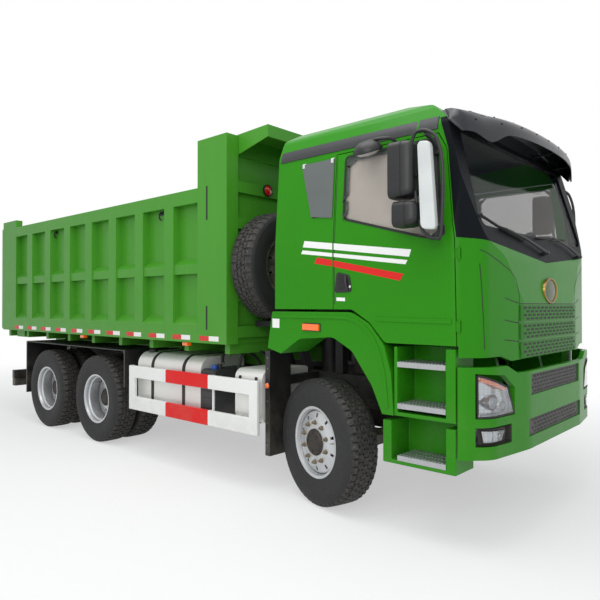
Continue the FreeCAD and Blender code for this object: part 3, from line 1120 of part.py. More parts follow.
def pivot_bearer(half, top):
    """The wide bearer over the rear pivot, with a lug on each side that turns on the frame's pin."""
    pieces = [block(BED_PIVOT_BEHIND - 2.0 * BED_EAR_RADIUS, BED_PIVOT_BEHIND + 2.0 * BED_EAR_RADIUS,
                    -half, half, BED_BEAM_TOP + BED_SEAM, top)]
    for side in (-1.0, 1.0):
        near = side * (RAIL_HALF + BED_EAR_THICKNESS + MOVING_GAP)
        lug = plate_y([(BED_PIVOT_BEHIND + 2.0 * BED_EAR_RADIUS, BED_BEAM_TOP + BED_FLOOR_THICKNESS),
                       (BED_PIVOT_BEHIND + BED_EAR_RADIUS, BED_PIVOT_Z - BED_EAR_RADIUS),
                       (BED_PIVOT_BEHIND - BED_EAR_RADIUS, BED_PIVOT_Z - BED_EAR_RADIUS),
                       (BED_PIVOT_BEHIND - 2.0 * BED_EAR_RADIUS, BED_BEAM_TOP + BED_FLOOR_THICKNESS)],
                      near, near + side * BED_LUG_THICKNESS, [0, BED_EAR_RADIUS * 0.7, BED_EAR_RADIUS * 0.7, 0])
        pieces.append(lug.cut(rod(at(BED_PIVOT_BEHIND, near - side * MOVING_GAP, BED_PIVOT_Z),
                                  at(BED_PIVOT_BEHIND, near + side * (BED_LUG_THICKNESS + MOVING_GAP), BED_PIVOT_Z),
                                  BED_PIN_RADIUS + SEAT_GAP)))
    return fused(pieces)


def bed_floor():
    """The floor plate, the bearers across below it and the two long beams, parted by fine seams."""
    inner = BED_PLATE_HALF - BED_PLATE_THICKNESS - BED_SEAM
    front = HEADBOARD_FRONT - HEADBOARD_THICKNESS - BED_SEAM
    top = BED_FLOOR_TOP - BED_FLOOR_THICKNESS - BED_SEAM
    pieces = [block(BED_REAR, front, -inner, inner, BED_FLOOR_TOP - BED_FLOOR_THICKNESS, BED_FLOOR_TOP)]
    for side in (-1.0, 1.0):
        pieces.append(block(BED_REAR + BEARER_LENGTH / 2.0, front, side * BED_BEAM_HALF,
                            side * (BED_BEAM_HALF - BED_BEAM_WIDTH), FRAME_TOP + BED_BEAM_GAP, BED_BEAM_TOP))
    span = front - BEARER_LENGTH - BED_REAR
    for index in range(BEARER_COUNT):
        rear = BED_REAR + span * index / (BEARER_COUNT - 1.0)
        pieces.append(block(rear, rear + BEARER_LENGTH, -inner, inner, BED_BEAM_TOP + BED_SEAM, top))
    return pieces + [pivot_bearer(inner, top)]


def make_bed():
    save("bed_floor", bed_floor())
    right = bed_side()
    save("bed_sides", [right, mirrored(right)])
    save("bed_front", [bed_front()])


def hoist_bracket(side):
    """A plate on the headboard that holds one of the hoist tube's trunnions."""
    near, far = side * HOIST_BRACKET_NEAR, side * (HOIST_BRACKET_NEAR + HOIST_BRACKET_THICKNESS)
    half, z = HOIST_BRACKET_HALF, HOIST_TRUNNION_Z
    plate = plate_y([(HEADBOARD_FRONT - BED_SEAM, z - 2.0 * half), (HOIST_AHEAD, z - half), (HOIST_AHEAD + half, z - half),
                     (HOIST_AHEAD + half, z + half), (HOIST_AHEAD, z + half),
                     (HEADBOARD_FRONT - BED_SEAM, z + 2.0 * half)],
                    near, far, [0, 0, half * 0.9, half * 0.9, 0, 0])
    return plate.cut(rod(at(HOIST_AHEAD, near - side * MOVING_GAP, z), at(HOIST_AHEAD, far + side * MOVING_GAP, z),
                         HOIST_TRUNNION_RADIUS + SEAT_GAP))


def bed_front():
    """Headboard with its cross ribs, the hollow canopy above it and the hoist brackets."""
    half = FRONT_POST_RETURN_HALF - BED_SEAM
    side_half = BED_PLATE_HALF - BED_PLATE_THICKNESS - BED_SEAM
    rear = HEADBOARD_FRONT - HEADBOARD_THICKNESS
    board = block(rear, HEADBOARD_FRONT - BED_SEAM, -side_half, side_half, SILL_BOTTOM, HEADBOARD_TOP)
    pieces = [board]
    pitch = (CANOPY_ROOT_BOTTOM - BED_FLOOR_TOP) / (HEADBOARD_RIBS + 1.0)
    for index in range(HEADBOARD_RIBS + 1):
        z = BED_FLOOR_TOP + index * pitch
        pieces.append(block(HEADBOARD_FRONT - HEADBOARD_THICKNESS, HEADBOARD_FRONT + HEADBOARD_RIB_DEPTH, -half, half,
                            z, z + HEADBOARD_RIB_HEIGHT))
    hood = [(HEADBOARD_FRONT - BED_SEAM, CANOPY_ROOT_BOTTOM), (CANOPY_FRONT, CANOPY_LIP_BOTTOM),
            (CANOPY_FRONT, CANOPY_TOP_FRONT), (HEADBOARD_FRONT - BED_SEAM, CANOPY_TOP_REAR)]
    body = plate_y(hood, -CANOPY_HALF_WIDTH, CANOPY_HALF_WIDTH)
    cavity = [(HEADBOARD_FRONT + CANOPY_WALL, CANOPY_ROOT_BOTTOM - OVERRUN),
              (CANOPY_FRONT - CANOPY_WALL, CANOPY_ROOT_BOTTOM - OVERRUN),
              (CANOPY_FRONT - CANOPY_WALL, CANOPY_TOP_FRONT - CANOPY_WALL),
              (HEADBOARD_FRONT + CANOPY_WALL, CANOPY_TOP_REAR - CANOPY_WALL)]
    body = body.cut(plate_y(cavity, CANOPY_WALL - CANOPY_HALF_WIDTH, CANOPY_HALF_WIDTH - CANOPY_WALL))
    upper = block(rear, HEADBOARD_FRONT - BED_SEAM, -side_half, side_half, HEADBOARD_TOP, CANOPY_TOP_REAR)
    return fused(pieces + [body, upper, hoist_bracket(-1.0), hoist_bracket(1.0)])


def make_tailgate():
    front = BED_REAR - MOVING_GAP
    rear = front - GATE_THICKNESS
    plate = block(front - GATE_PLATE, front, -GATE_HALF_WIDTH, GATE_HALF_WIDTH, GATE_BOTTOM, GATE_TOP)
    pieces = [plate]
    for z in (GATE_BOTTOM, GATE_TOP - GATE_RIB_WIDTH):
        pieces.append(block(rear, front, -GATE_HALF_WIDTH, GATE_HALF_WIDTH, z, z + GATE_RIB_WIDTH))
    span = 2.0 * GATE_HALF_WIDTH - GATE_RIB_WIDTH
    for index in range(GATE_RIBS):
        y = -GATE_HALF_WIDTH + span * index / (GATE_RIBS - 1.0)
        pieces.append(block(rear, front, y, y + GATE_RIB_WIDTH, GATE_BOTTOM, GATE_TOP))
    inner = BED_PLATE_HALF - BED_PLATE_THICKNESS
    for side in (-1.0, 1.0):
        near = side * (inner - MOVING_GAP)
        arm = plate_y([(GATE_PIVOT_BEHIND + GATE_ARM_EYE, GATE_PIVOT_Z - GATE_ARM_EYE),
                       (GATE_PIVOT_BEHIND + GATE_ARM_EYE, GATE_PIVOT_Z + GATE_ARM_EYE),
                       (GATE_PIVOT_BEHIND - GATE_ARM_EYE, GATE_PIVOT_Z + GATE_ARM_EYE),
                       (rear, GATE_TOP), (rear, GATE_TOP - GATE_RIB_WIDTH), (front, GATE_TOP - GATE_RIB_WIDTH)],
                      near, near - side * GATE_ARM_THICKNESS,
                      [GATE_ARM_EYE * 0.8, GATE_ARM_EYE * 0.8, GATE_ARM_EYE * 0.8, 0, 0, 0])
        hole = rod(at(GATE_PIVOT_BEHIND, side * (inner - 2.0 * MOVING_GAP - GATE_ARM_THICKNESS), GATE_PIVOT_Z),
                   at(GATE_PIVOT_BEHIND, side * inner, GATE_PIVOT_Z), GATE_PIN_RADIUS + SEAT_GAP)
        pieces.append(arm.cut(hole))
    save("tailgate", [fused(pieces)])


def hoist_axis(z0, z1, radius):
    return rod(at(HOIST_AHEAD, 0, z0), at(HOIST_AHEAD, 0, z1), radius)


def hoist_foot():
    """The rod's foot: a block with a mouth open downwards that stands on the frame's pin."""
    pin, half = HOIST_PIN_RADIUS + SEAT_GAP, HOIST_FOOT_HALF
    block_shape = plate_y([(HOIST_AHEAD - HOIST_FOOT_RADIUS, HOIST_FOOT_Z - HOIST_FOOT_RADIUS),
                           (HOIST_AHEAD + HOIST_FOOT_RADIUS, HOIST_FOOT_Z - HOIST_FOOT_RADIUS),
                           (HOIST_AHEAD + HOIST_FOOT_RADIUS, HOIST_FOOT_Z + HOIST_FOOT_RADIUS),
                           (HOIST_AHEAD - HOIST_FOOT_RADIUS, HOIST_FOOT_Z + HOIST_FOOT_RADIUS)],
                          -half, half, [HOIST_WALL] * 4)
    angle = math.radians(HOIST_MOUTH_DEGREES)
    depth = 2.0 * HOIST_FOOT_RADIUS
    side_x, side_z = pin * math.cos(angle), pin * math.sin(angle)
    mouth = plate_y([(HOIST_AHEAD - side_x, HOIST_FOOT_Z + side_z), (HOIST_AHEAD + side_x, HOIST_FOOT_Z + side_z),
                     (HOIST_AHEAD + side_x + depth * math.tan(angle), HOIST_FOOT_Z + side_z - depth),
                     (HOIST_AHEAD - side_x - depth * math.tan(angle), HOIST_FOOT_Z + side_z - depth)],
                    -half - MOVING_GAP, half + MOVING_GAP)
    bore = rod(at(HOIST_AHEAD, -half - MOVING_GAP, HOIST_FOOT_Z), at(HOIST_AHEAD, half + MOVING_GAP, HOIST_FOOT_Z), pin)
    return block_shape.cut(mouth).cut(bore)


def make_hoist():
    """The tube in its trunnions, two nested tubes and the rod, all drawn out downwards."""
    tube = hoist_axis(HOIST_TUBE_BOTTOM, HOIST_TUBE_TOP, HOIST_TUBE_RADIUS)
    collar = hoist_axis(HOIST_TRUNNION_Z - HOIST_COLLAR_HALF, HOIST_TRUNNION_Z + HOIST_COLLAR_HALF, HOIST_COLLAR_RADIUS)
    reach = HOIST_BRACKET_NEAR + HOIST_BRACKET_THICKNESS + MOVING_GAP
    trunnions = rod(at(HOIST_AHEAD, -reach, HOIST_TRUNNION_Z), at(HOIST_AHEAD, reach, HOIST_TRUNNION_Z),
                    HOIST_TRUNNION_RADIUS)
    bore = HOIST_TUBE_RADIUS - HOIST_WALL
    ceiling = HOIST_TUBE_TOP - 2.0 * HOIST_WALL
    tube = fused([tube, collar, trunnions]).cut(hoist_axis(HOIST_TUBE_BOTTOM - OVERRUN, ceiling, bore))
    save("hoist_barrel", [tube])
    for stage in range(1, HOIST_STAGES + 1):
        outer = bore - HOIST_SLIDE_GAP
        bore = outer - HOIST_WALL
        low = HOIST_TUBE_BOTTOM - HOIST_STAGE_STEP * stage
        ceiling = ceiling - HOIST_STAGE_STEP
        piece = hoist_axis(low, ceiling, outer)
        if stage < HOIST_STAGES:
            piece = piece.cut(hoist_axis(low - OVERRUN, ceiling + OVERRUN, bore))
        else:
            neck = hoist_axis(HOIST_FOOT_Z + HOIST_PIN_RADIUS + SEAT_GAP + HOIST_WALL, low, HOIST_FOOT_RADIUS)
            piece = fused([piece, neck, hoist_foot()])
        save("hoist_stage_" + str(stage), [piece])


# Cab

def cab_form(inset):
    """The cab's outer form, as its side, plan and front outlines meet, drawn in by an inset.

    The plan is a little wider than the front, and the front a little taller than the side,
    so that their rounds cross and don't only touch.
    """
    length, height = CAB_FRONT - CAB_REAR, CAB_TOP - CAB_SKIRT_BOTTOM
    side = flat_face([at(CAB_REAR + u * length, -CAB_HALF_WIDTH, CAB_SKIRT_BOTTOM + v * height)
                      for u, v in CAB_SIDE_SHARES], [share * length for share in CAB_SIDE_ROUND_SHARES])
    plan = front_plan_face(CAB_HALF_WIDTH + CAB_CROSSING, CAB_FRONT, CAB_REAR, CAB_SKIRT_BOTTOM)
    right = [(-v * CAB_HALF_WIDTH, CAB_SKIRT_BOTTOM + w * (height + CAB_CROSSING)) for v, w in CAB_FRONT_SHARES]
    rounds = [share * CAB_HALF_WIDTH for share in CAB_FRONT_ROUND_SHARES]
    points = right + [(-y, z) for y, z in reversed(right)]
    front = flat_face([at(CAB_REAR, y, z) for y, z in points], rounds + list(reversed(rounds)))
    if inset:
        side, plan, front = (face.makeOffset2D(-inset) for face in (side, plan, front))
    body = side.extrude(Vector(0, 2.0 * CAB_HALF_WIDTH, 0))
    body = body.common(plan.extrude(Vector(0, 0, height)))
    return body.common(front.extrude(Vector(length, 0, 0)))


def cab_layer(start, depth):
    return cab_form(start).cut(cab_form(start + depth))


def cab_underside(margin):
    """What is cut away below the cab: the wheel arches, the step wells and all under the floor."""
    low = CAB_SKIRT_BOTTOM - OVERRUN
    floor = CAB_FLOOR_BOTTOM + margin
    side = CAB_SIDE_BOTTOM + margin
    arch = [(CAB_REAR - OVERRUN, low), (CAB_LOW_FRONT, low), (CAB_LOW_FRONT, floor), (CAB_ARCH_LOW + margin, floor),
            (CAB_ARCH_MID + margin, CAB_ARCH_MID_Z + margin), (CAB_ARCH_FRONT_TOP, side), (CAB_REAR - OVERRUN, side)]
    rounds = [share * CAB_ARCH_ROUND for share in CAB_ARCH_ROUND_SHARES]
    right = plate_y(arch, -CAB_ARCH_HALF + margin, -BODY_HALF_WIDTH - OVERRUN, rounds)
    under = block(CAB_REAR - OVERRUN, CAB_LOW_FRONT, -BODY_HALF_WIDTH, BODY_HALF_WIDTH, low, floor)
    corner = plate_x([(-BODY_HALF_WIDTH, low), (-BODY_HALF_WIDTH, CAB_CORNER_BOTTOM + margin),
                      (-CAB_CORNER_END, CAB_CORNER_BOTTOM + margin), (-CAB_CORNER_START, CAB_SKIRT_BOTTOM + margin),
                      (-CAB_CORNER_START, low)], CAB_REAR - OVERRUN, CAB_FRONT + OVERRUN)
    return [right, mirrored(right), under, corner, mirrored(corner)]


def door_outline(seam):
    """The right door in side view, drawn in by a seam."""
    return [(DOOR_REAR + seam, CAB_SIDE_BOTTOM), (DOOR_REAR + seam, DOOR_TOP - seam),
            (DOOR_TOP_FRONT - seam, DOOR_TOP - seam), (DOOR_PILLAR_FRONT - seam, DOOR_PILLAR_Z),
            (DOOR_WAIST_FRONT - seam, DOOR_WAIST_Z), (CAB_LOW_FRONT - seam, CAB_FLOOR_BOTTOM - OVERRUN),
            (DOOR_REAR + seam, CAB_FLOOR_BOTTOM - OVERRUN)]


def window_outline():
    return [(WINDOW_REAR, WINDOW_SILL_REAR), (WINDOW_REAR, WINDOW_TOP), (WINDOW_FRONT_TOP, WINDOW_TOP),
            (WINDOW_FRONT_LOW, WINDOW_SILL_FRONT), (WINDOW_FRONT_LOW - 3.0 * WINDOW_ROUND, WINDOW_SILL_FRONT)]


def make_cab():
    outer = cab_form(0)
    inner = cab_form(CAB_WALL)
    for piece in cab_underside(CAB_WALL):
        inner = inner.cut(piece)
    for piece in cab_underside(0):
        outer = outer.cut(piece)
    nose = block(CAB_LOW_FRONT - SEAT_GAP, CAB_FRONT, -BODY_HALF_WIDTH, BODY_HALF_WIDTH, CAB_SKIRT_BOTTOM - OVERRUN,
                 CAB_FLOOR_BOTTOM).common(cab_form(CAB_SKIRT_WALL))
    nose.translate(Vector(0, 0, -CAB_SKIRT_WALL))
    nose_top = block(CAB_LOW_FRONT - SEAT_GAP, CAB_FRONT, -BODY_HALF_WIDTH, BODY_HALF_WIDTH,
                     CAB_SKIRT_BOTTOM, CAB_FLOOR_BOTTOM).common(cab_form(CAB_SKIRT_WALL))
    inner = inner.cut(block(CAB_REAR, CAB_FRONT, -BODY_HALF_WIDTH, BODY_HALF_WIDTH, CAB_SKIRT_BOTTOM - OVERRUN,
                            CAB_FLOOR_BOTTOM + CAB_WALL))
    shell = outer.cut(inner).cut(nose).cut(nose_top)
    windows, glass = [], []
    quarter = [(QUARTER_REAR_TOP, QUARTER_TOP), (QUARTER_FRONT, QUARTER_TOP), (QUARTER_FRONT, QUARTER_BOTTOM),
               (QUARTER_REAR_LOW, QUARTER_BOTTOM)]
    glazing = cab_layer(GLASS_INSET, GLASS_THICKNESS)
    door_span = (-(CAB_HALF_WIDTH - DOOR_DEPTH), -CAB_HALF_WIDTH - OVERRUN)
    pane = plate_y(window_outline(), door_span[0], door_span[1], [WINDOW_ROUND] * 5)
    side_pane = plate_y(quarter, door_span[0], door_span[1])
    screen = [(-SCREEN_HALF_BOTTOM, SCREEN_BOTTOM), (-SCREEN_HALF_TOP, SCREEN_TOP),
              (SCREEN_HALF_TOP, SCREEN_TOP), (SCREEN_HALF_BOTTOM, SCREEN_BOTTOM)]
    screen_hole = plate_x(screen, CAB_LOW_FRONT - SURROUND_REACH, CAB_FRONT + OVERRUN, [SCREEN_ROUND] * 4)
    surround_zone = surround_block()
    for hole in (side_pane, mirrored(side_pane)):
        shell = shell.cut(hole)
        glass.append(glazing.common(hole))
    shell = shell.cut(screen_hole)
    glass.append(glazing.common(screen_hole))
    door_prism = plate_y(door_outline(DOOR_SEAM), door_span[0], door_span[1])
    door_hole = plate_y(door_outline(0.0), door_span[0], door_span[1])
    side_wall = cab_layer(0, CAB_WALL)
    door = outer.common(side_wall).common(door_prism).cut(pane)
    door_glass = glazing.common(pane)
    door_hole = door_hole.cut(cab_form(CAB_WALL + DOOR_SEAM))
    shell = shell.cut(door_hole).cut(mirrored(door_hole))
    pockets, pins, lugs = door_hinges()
    shell = fused([shell.cut(pockets).cut(mirrored(pockets)), pins, mirrored(pins)])
    surround = shell.common(surround_zone)
    shell = shell.cut(surround_zone)
    save("cab_shell", [fused([shell] + cab_arms())])
    save("windscreen_surround", [surround])
    save("cab_glass", glass)
    right = fused([largest(door), lugs]).cut(hinge_rods(DOOR_HINGE_PIN_RADIUS + SEAT_GAP))
    save("door_right", [right])
    save("door_left", [mirrored(right)])
    save("door_right_glass", [door_glass])
    save("door_left_glass", [mirrored(door_glass)])
    save("front_grille", front_grille())


def hinge_rods(radius):
    """Upright rods on the right door's hinge line, one at each hinge."""
    reach = DOOR_HINGE_HEIGHT / 2.0 + SEAT_GAP + DOOR_HINGE_EAR
    return fused([rod(at(DOOR_HINGE_AHEAD, -DOOR_HINGE_HALF, z - reach), at(DOOR_HINGE_AHEAD, -DOOR_HINGE_HALF, z + reach),
                      radius) for z in (DOOR_HINGE_LOWER_Z, DOOR_HINGE_UPPER_Z)])


def door_hinges():
    """Pockets in the cab's edge, the pins between their ears and the door's lugs with their eyes."""
    pockets, lugs, ears = [], [], [hinge_rods(DOOR_HINGE_PIN_RADIUS)]
    eye, half = DOOR_HINGE_EYE_RADIUS, DOOR_HINGE_HEIGHT / 2.0
    for z in (DOOR_HINGE_LOWER_Z, DOOR_HINGE_UPPER_Z):
        pockets.append(block(DOOR_HINGE_AHEAD - DOOR_HINGE_REACH, DOOR_HINGE_AHEAD + eye + MOVING_GAP,
                             -BODY_HALF_WIDTH, -DOOR_HINGE_HALF + eye + MOVING_GAP,
                             z - half - SEAT_GAP, z + half + SEAT_GAP))
        lugs.append(block(DOOR_HINGE_AHEAD - DOOR_HINGE_REACH, DOOR_HINGE_AHEAD, -DOOR_HINGE_HALF - eye * 0.6,
                          -DOOR_HINGE_HALF + eye * 0.6, z - half, z + half))
        lugs.append(rod(at(DOOR_HINGE_AHEAD, -DOOR_HINGE_HALF, z - half), at(DOOR_HINGE_AHEAD, -DOOR_HINGE_HALF, z + half),
                        eye))
        for end in (-1.0, 1.0):
            near = z + end * (half + SEAT_GAP)
            far = near + end * DOOR_HINGE_EAR
            ears.append(rod(at(DOOR_HINGE_AHEAD, -DOOR_HINGE_HALF, near), at(DOOR_HINGE_AHEAD, -DOOR_HINGE_HALF, far), eye))
            ears.append(block(DOOR_HINGE_AHEAD - eye, DOOR_HINGE_AHEAD + eye, -DOOR_HINGE_HALF,
                              -DOOR_HINGE_HALF + DOOR_HINGE_REACH, near, far))
    return fused(pockets), fused(ears), fused(lugs)


def largest(shape):
    return max(shape.Solids, key=lambda solid: solid.Volume)


def surround_block():
    """The zone of the black surround: from the cowl line up to the top of the windscreen."""
    outline = [(-BODY_HALF_WIDTH, SURROUND_CORNER_Z), (0, SURROUND_CENTRE_Z), (BODY_HALF_WIDTH, SURROUND_CORNER_Z),
               (BODY_HALF_WIDTH, SURROUND_TOP), (-BODY_HALF_WIDTH, SURROUND_TOP)]
    front = plate_x(outline, CAB_REAR, CAB_FRONT + OVERRUN)
    behind = plate_y([(DOOR_WAIST_FRONT + DOOR_SEAM, CAB_FLOOR_BOTTOM), (DOOR_WAIST_FRONT + DOOR_SEAM, DOOR_WAIST_Z),
                      (DOOR_PILLAR_FRONT + DOOR_SEAM, DOOR_PILLAR_Z), (DOOR_TOP_FRONT, SURROUND_TOP + DOOR_SEAM),
                      (CAB_FRONT + OVERRUN, SURROUND_TOP + DOOR_SEAM), (CAB_FRONT + OVERRUN, CAB_FLOOR_BOTTOM)],
                     -BODY_HALF_WIDTH, BODY_HALF_WIDTH)
    return front.common(behind)


def front_grille():
    """Rows of grille set just proud of the front panel, with a seam between them."""
    rows = []
    layer = cab_form(0)
    height = (GRILLE_TOP - GRILLE_BOTTOM) / GRILLE_ROWS
    for index in range(GRILLE_ROWS):
        low = GRILLE_BOTTOM + index * height
        face = block(CAB_FRONT - SURROUND_REACH, CAB_FRONT + GRILLE_DEPTH, -GRILLE_HALF, GRILLE_HALF,
                     low, low + height - GRILLE_RIB)
        moved = layer.copy()
        moved.translate(Vector(GRILLE_INSET + SEAT_GAP, 0, 0))
        rows.append(moved.common(face).cut(grille_back()))
    return rows


def grille_back():
    moved = cab_form(0)
    moved.translate(Vector(SEAT_GAP, 0, 0))
    return moved


def cab_arms():
    """The two arms under the cab floor that reach forward to the tilt pins."""
    arms = []
    for side in (-1.0, 1.0):
        near = side * (RAIL_HALF + MOVING_GAP)
        arm = plate_y([(CAB_PIVOT_AHEAD + CAB_ARM_EYE, CAB_PIVOT_Z - CAB_ARM_EYE),
                       (CAB_PIVOT_AHEAD + CAB_ARM_EYE, CAB_PIVOT_Z + CAB_ARM_EYE),
                       (CAB_PIVOT_AHEAD - CAB_ARM_EYE, CAB_FLOOR_BOTTOM + RAIL_WEB),
                       (CAB_PIVOT_AHEAD - 6.0 * CAB_ARM_EYE, CAB_FLOOR_BOTTOM + RAIL_WEB),
                       (CAB_PIVOT_AHEAD - CAB_ARM_EYE, CAB_PIVOT_Z - CAB_ARM_EYE)],
                      near, near + side * CAB_ARM_WIDTH, [CAB_ARM_EYE * 0.7, CAB_ARM_EYE * 0.7, 0, 0, CAB_ARM_EYE * 0.7])
        hole = rod(at(CAB_PIVOT_AHEAD, near - side * MOVING_GAP, CAB_PIVOT_Z),
                   at(CAB_PIVOT_AHEAD, near + side * (CAB_ARM_WIDTH + MOVING_GAP), CAB_PIVOT_Z),
                   CAB_PIN_RADIUS + SEAT_GAP)
        arms.append(arm.cut(hole))
    return arms


def bowed_wire(front, end, half, z, thickness):
    """A thin closed band, bowed forward in plan, at one height."""
    outer = Part.Arc(at(end, -half, z), at(front, 0, z), at(end, half, z)).toShape()
    inner_ends = (at(end - thickness, half, z), at(front - thickness, 0, z), at(end - thickness, -half, z))
    inner = Part.Arc(*inner_ends).toShape()
    return Part.Wire([outer, Part.LineSegment(at(end, half, z), inner_ends[0]).toShape(), inner,
                      Part.LineSegment(inner_ends[2], at(end, -half, z)).toShape()])


def make_visor():
    low = bowed_wire(VISOR_LIP_FRONT, VISOR_LIP_END, VISOR_HALF_WIDTH, VISOR_LIP_Z, VISOR_THICKNESS)
    high = bowed_wire(VISOR_TOP_FRONT, VISOR_TOP_END, VISOR_HALF_WIDTH, VISOR_TOP_Z, VISOR_THICKNESS)
    blade = Part.makeLoft([low, high], True, True)
    outside = cab_form(0)
    pieces = [blade.cut(outside)]
    stays = []
    slope = (VISOR_LIP_FRONT - VISOR_TOP_FRONT) / (VISOR_TOP_Z - VISOR_LIP_Z)
    for share in VISOR_STAY_SHARES:
        y = share * VISOR_HALF_WIDTH
        top = VISOR_TOP_Z - VISOR_STAY_WIDTH
        bottom = top - VISOR_STAY_WIDTH
        front = VISOR_TOP_FRONT - (VISOR_TOP_FRONT - VISOR_TOP_END) * share * share - VISOR_THICKNESS / 2.0
        stay = plate_y([(CAB_FRONT - 2.0 * SURROUND_REACH, bottom), (front + (VISOR_TOP_Z - bottom) * slope, bottom),
                        (front + (VISOR_TOP_Z - top) * slope, top), (CAB_FRONT - 2.0 * SURROUND_REACH, top)],
                       y - VISOR_STAY_WIDTH / 2.0, y + VISOR_STAY_WIDTH / 2.0)
        stays += stay.cut(outside).Solids
    joined = fused([largest(pieces[0])] + stays)
    save("sun_visor", [largest(joined)])


def make_mirrors():
    for side, name in ((-1.0, "right"), (1.0, "left")):
        pieces = []
        near, far = side * (MIRROR_HALF - MIRROR_DEPTH / 2.0), side * (MIRROR_HALF + MIRROR_DEPTH / 2.0)
        for bottom, top in ((MIRROR_UPPER_BOTTOM, MIRROR_UPPER_TOP), (MIRROR_LOWER_BOTTOM, MIRROR_LOWER_TOP)):
            points = [(MIRROR_REAR, bottom), (MIRROR_REAR, top), (MIRROR_FRONT, top), (MIRROR_FRONT, bottom)]
            pieces.append(plate_y(points, near, far, [MIRROR_ROUND] * 4))
        mid_y = side * MIRROR_HALF
        root = side * (CAB_HALF_WIDTH * 0.985)
        post_x = MIRROR_FRONT - MIRROR_TUBE_RADIUS
        pieces.append(rod(at(post_x, mid_y, MIRROR_LOWER_BOTTOM + MIRROR_ROUND), at(post_x, mid_y, MIRROR_ARM_UPPER_Z),
                          MIRROR_TUBE_RADIUS))
        for ahead, z in ((MIRROR_ARM_UPPER_AHEAD, MIRROR_ARM_UPPER_Z), (MIRROR_ARM_LOWER_AHEAD, MIRROR_ARM_LOWER_Z)):
            pieces.append(rod(at(post_x, mid_y, z), at(ahead, root, z), MIRROR_TUBE_RADIUS))
        whole = fused(pieces)
        cab = cab_form(0)
        whole = largest(whole.cut(cab))
        save("mirror_" + name, [whole])


def make_interior():
    floor = CAB_FLOOR_BOTTOM + CAB_WALL + FLOOR_CLEARANCE * SEAT_GAP
    seats = []
    for side in (-1.0, 1.0):
        y0, y1 = side * SEAT_HALF - SEAT_WIDTH / 2.0, side * SEAT_HALF + SEAT_WIDTH / 2.0
        top = floor + SEAT_BASE_HEIGHT + SEAT_CUSHION
        cushion = block(SEAT_REAR, SEAT_REAR + SEAT_LENGTH, y0, y1, floor + SEAT_BASE_HEIGHT, top)
        back = plate_y([(SEAT_REAR, floor + SEAT_BASE_HEIGHT), (SEAT_REAR + SEAT_BACK_THICKNESS, floor + SEAT_BASE_HEIGHT),
                        (SEAT_REAR + SEAT_BACK_THICKNESS / 2.0, top + SEAT_BACK_HEIGHT),
                        (SEAT_REAR - SEAT_BACK_THICKNESS / 2.0, top + SEAT_BACK_HEIGHT)], y0, y1)
        base = block(SEAT_REAR + SEAT_BACK_THICKNESS, SEAT_REAR + SEAT_LENGTH - SEAT_BACK_THICKNESS,
                     side * SEAT_HALF - SEAT_WIDTH / 3.0, side * SEAT_HALF + SEAT_WIDTH / 3.0, floor,
                     floor + SEAT_BASE_HEIGHT)
        seats.append(fused([cushion, back, base]))
    save("cab_seats", seats)
    dash_rear = CAB_FRONT - CAB_WALL - DASH_LENGTH
    outline = [(dash_rear, DASH_BOTTOM), (dash_rear, DASH_TOP - BRACKET_WIDTH), (dash_rear + BRACKET_WIDTH, DASH_TOP),
               (CAB_FRONT, DASH_TOP), (CAB_FRONT, DASH_BOTTOM)]
    dash = plate_y(outline, -DASH_HALF, DASH_HALF).common(cab_form(CAB_WALL + SEAT_GAP))
    angle = math.radians(WHEEL_TILT_DEGREES)
    centre = at(dash_rear - WHEEL_REAR_OF_DASH, SEAT_HALF, WHEEL_Z)
    axis = Vector(-math.cos(angle), 0, -math.sin(angle))
    ring = Part.makeTorus(WHEEL_RIM_RADIUS, WHEEL_RIM_TUBE, centre, axis)
    column = rod(centre, centre - axis * WHEEL_COLUMN_LENGTH, WHEEL_COLUMN_RADIUS)
    spokes = []
    for turn in (0.0, 120.0, 240.0):
        spoke_end = Vector(0, 1, 0)
        direction = Rotation(axis, turn).multVec(spoke_end)
        spokes.append(rod(centre, centre + direction * WHEEL_RIM_RADIUS, WHEEL_RIM_TUBE * 0.8))
    save("dashboard", [fused([dash, column] + spokes + [ring])])


def main():
    os.makedirs("parts", exist_ok=True)
    make_wheels()
    make_frame()
    make_axles()
    make_drive_line()
    make_bumper()
    make_steps()
    make_fenders()
    make_mudguards()
    make_side_kit()
    make_spare()
    make_rear_end()
    make_bed()
    make_tailgate()
    make_hoist()
    make_cab()
    make_visor()
    make_mirrors()
    make_interior()


main()
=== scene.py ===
import logging
import math
from dataclasses import dataclass, field
from enum import Enum
from functools import partial
from typing import Callable, Optional, Sequence, Union

import bmesh
import bpy
from mathutils import Matrix, Vector
from mathutils.bvhtree import BVHTree


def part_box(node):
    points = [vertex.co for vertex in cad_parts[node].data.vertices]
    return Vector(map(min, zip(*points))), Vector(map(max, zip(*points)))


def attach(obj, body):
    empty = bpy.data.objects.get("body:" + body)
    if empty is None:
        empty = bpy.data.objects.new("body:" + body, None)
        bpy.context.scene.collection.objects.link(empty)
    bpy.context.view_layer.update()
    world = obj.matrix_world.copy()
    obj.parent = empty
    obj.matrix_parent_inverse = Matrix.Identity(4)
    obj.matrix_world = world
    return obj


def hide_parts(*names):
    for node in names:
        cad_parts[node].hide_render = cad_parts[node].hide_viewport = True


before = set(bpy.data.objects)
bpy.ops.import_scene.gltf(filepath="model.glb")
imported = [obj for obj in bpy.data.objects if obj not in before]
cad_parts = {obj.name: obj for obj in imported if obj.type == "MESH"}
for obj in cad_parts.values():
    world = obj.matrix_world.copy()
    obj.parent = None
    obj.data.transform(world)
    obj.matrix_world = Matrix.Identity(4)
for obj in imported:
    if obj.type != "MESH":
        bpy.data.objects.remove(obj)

LOG = logging.getLogger("dump_truck")
AXLE_X = 2.46
RIGHT, LEFT = -1.0, 1.0
AHEAD, UP = Vector((1, 0, 0)).freeze(), Vector((0, 0, 1)).freeze()
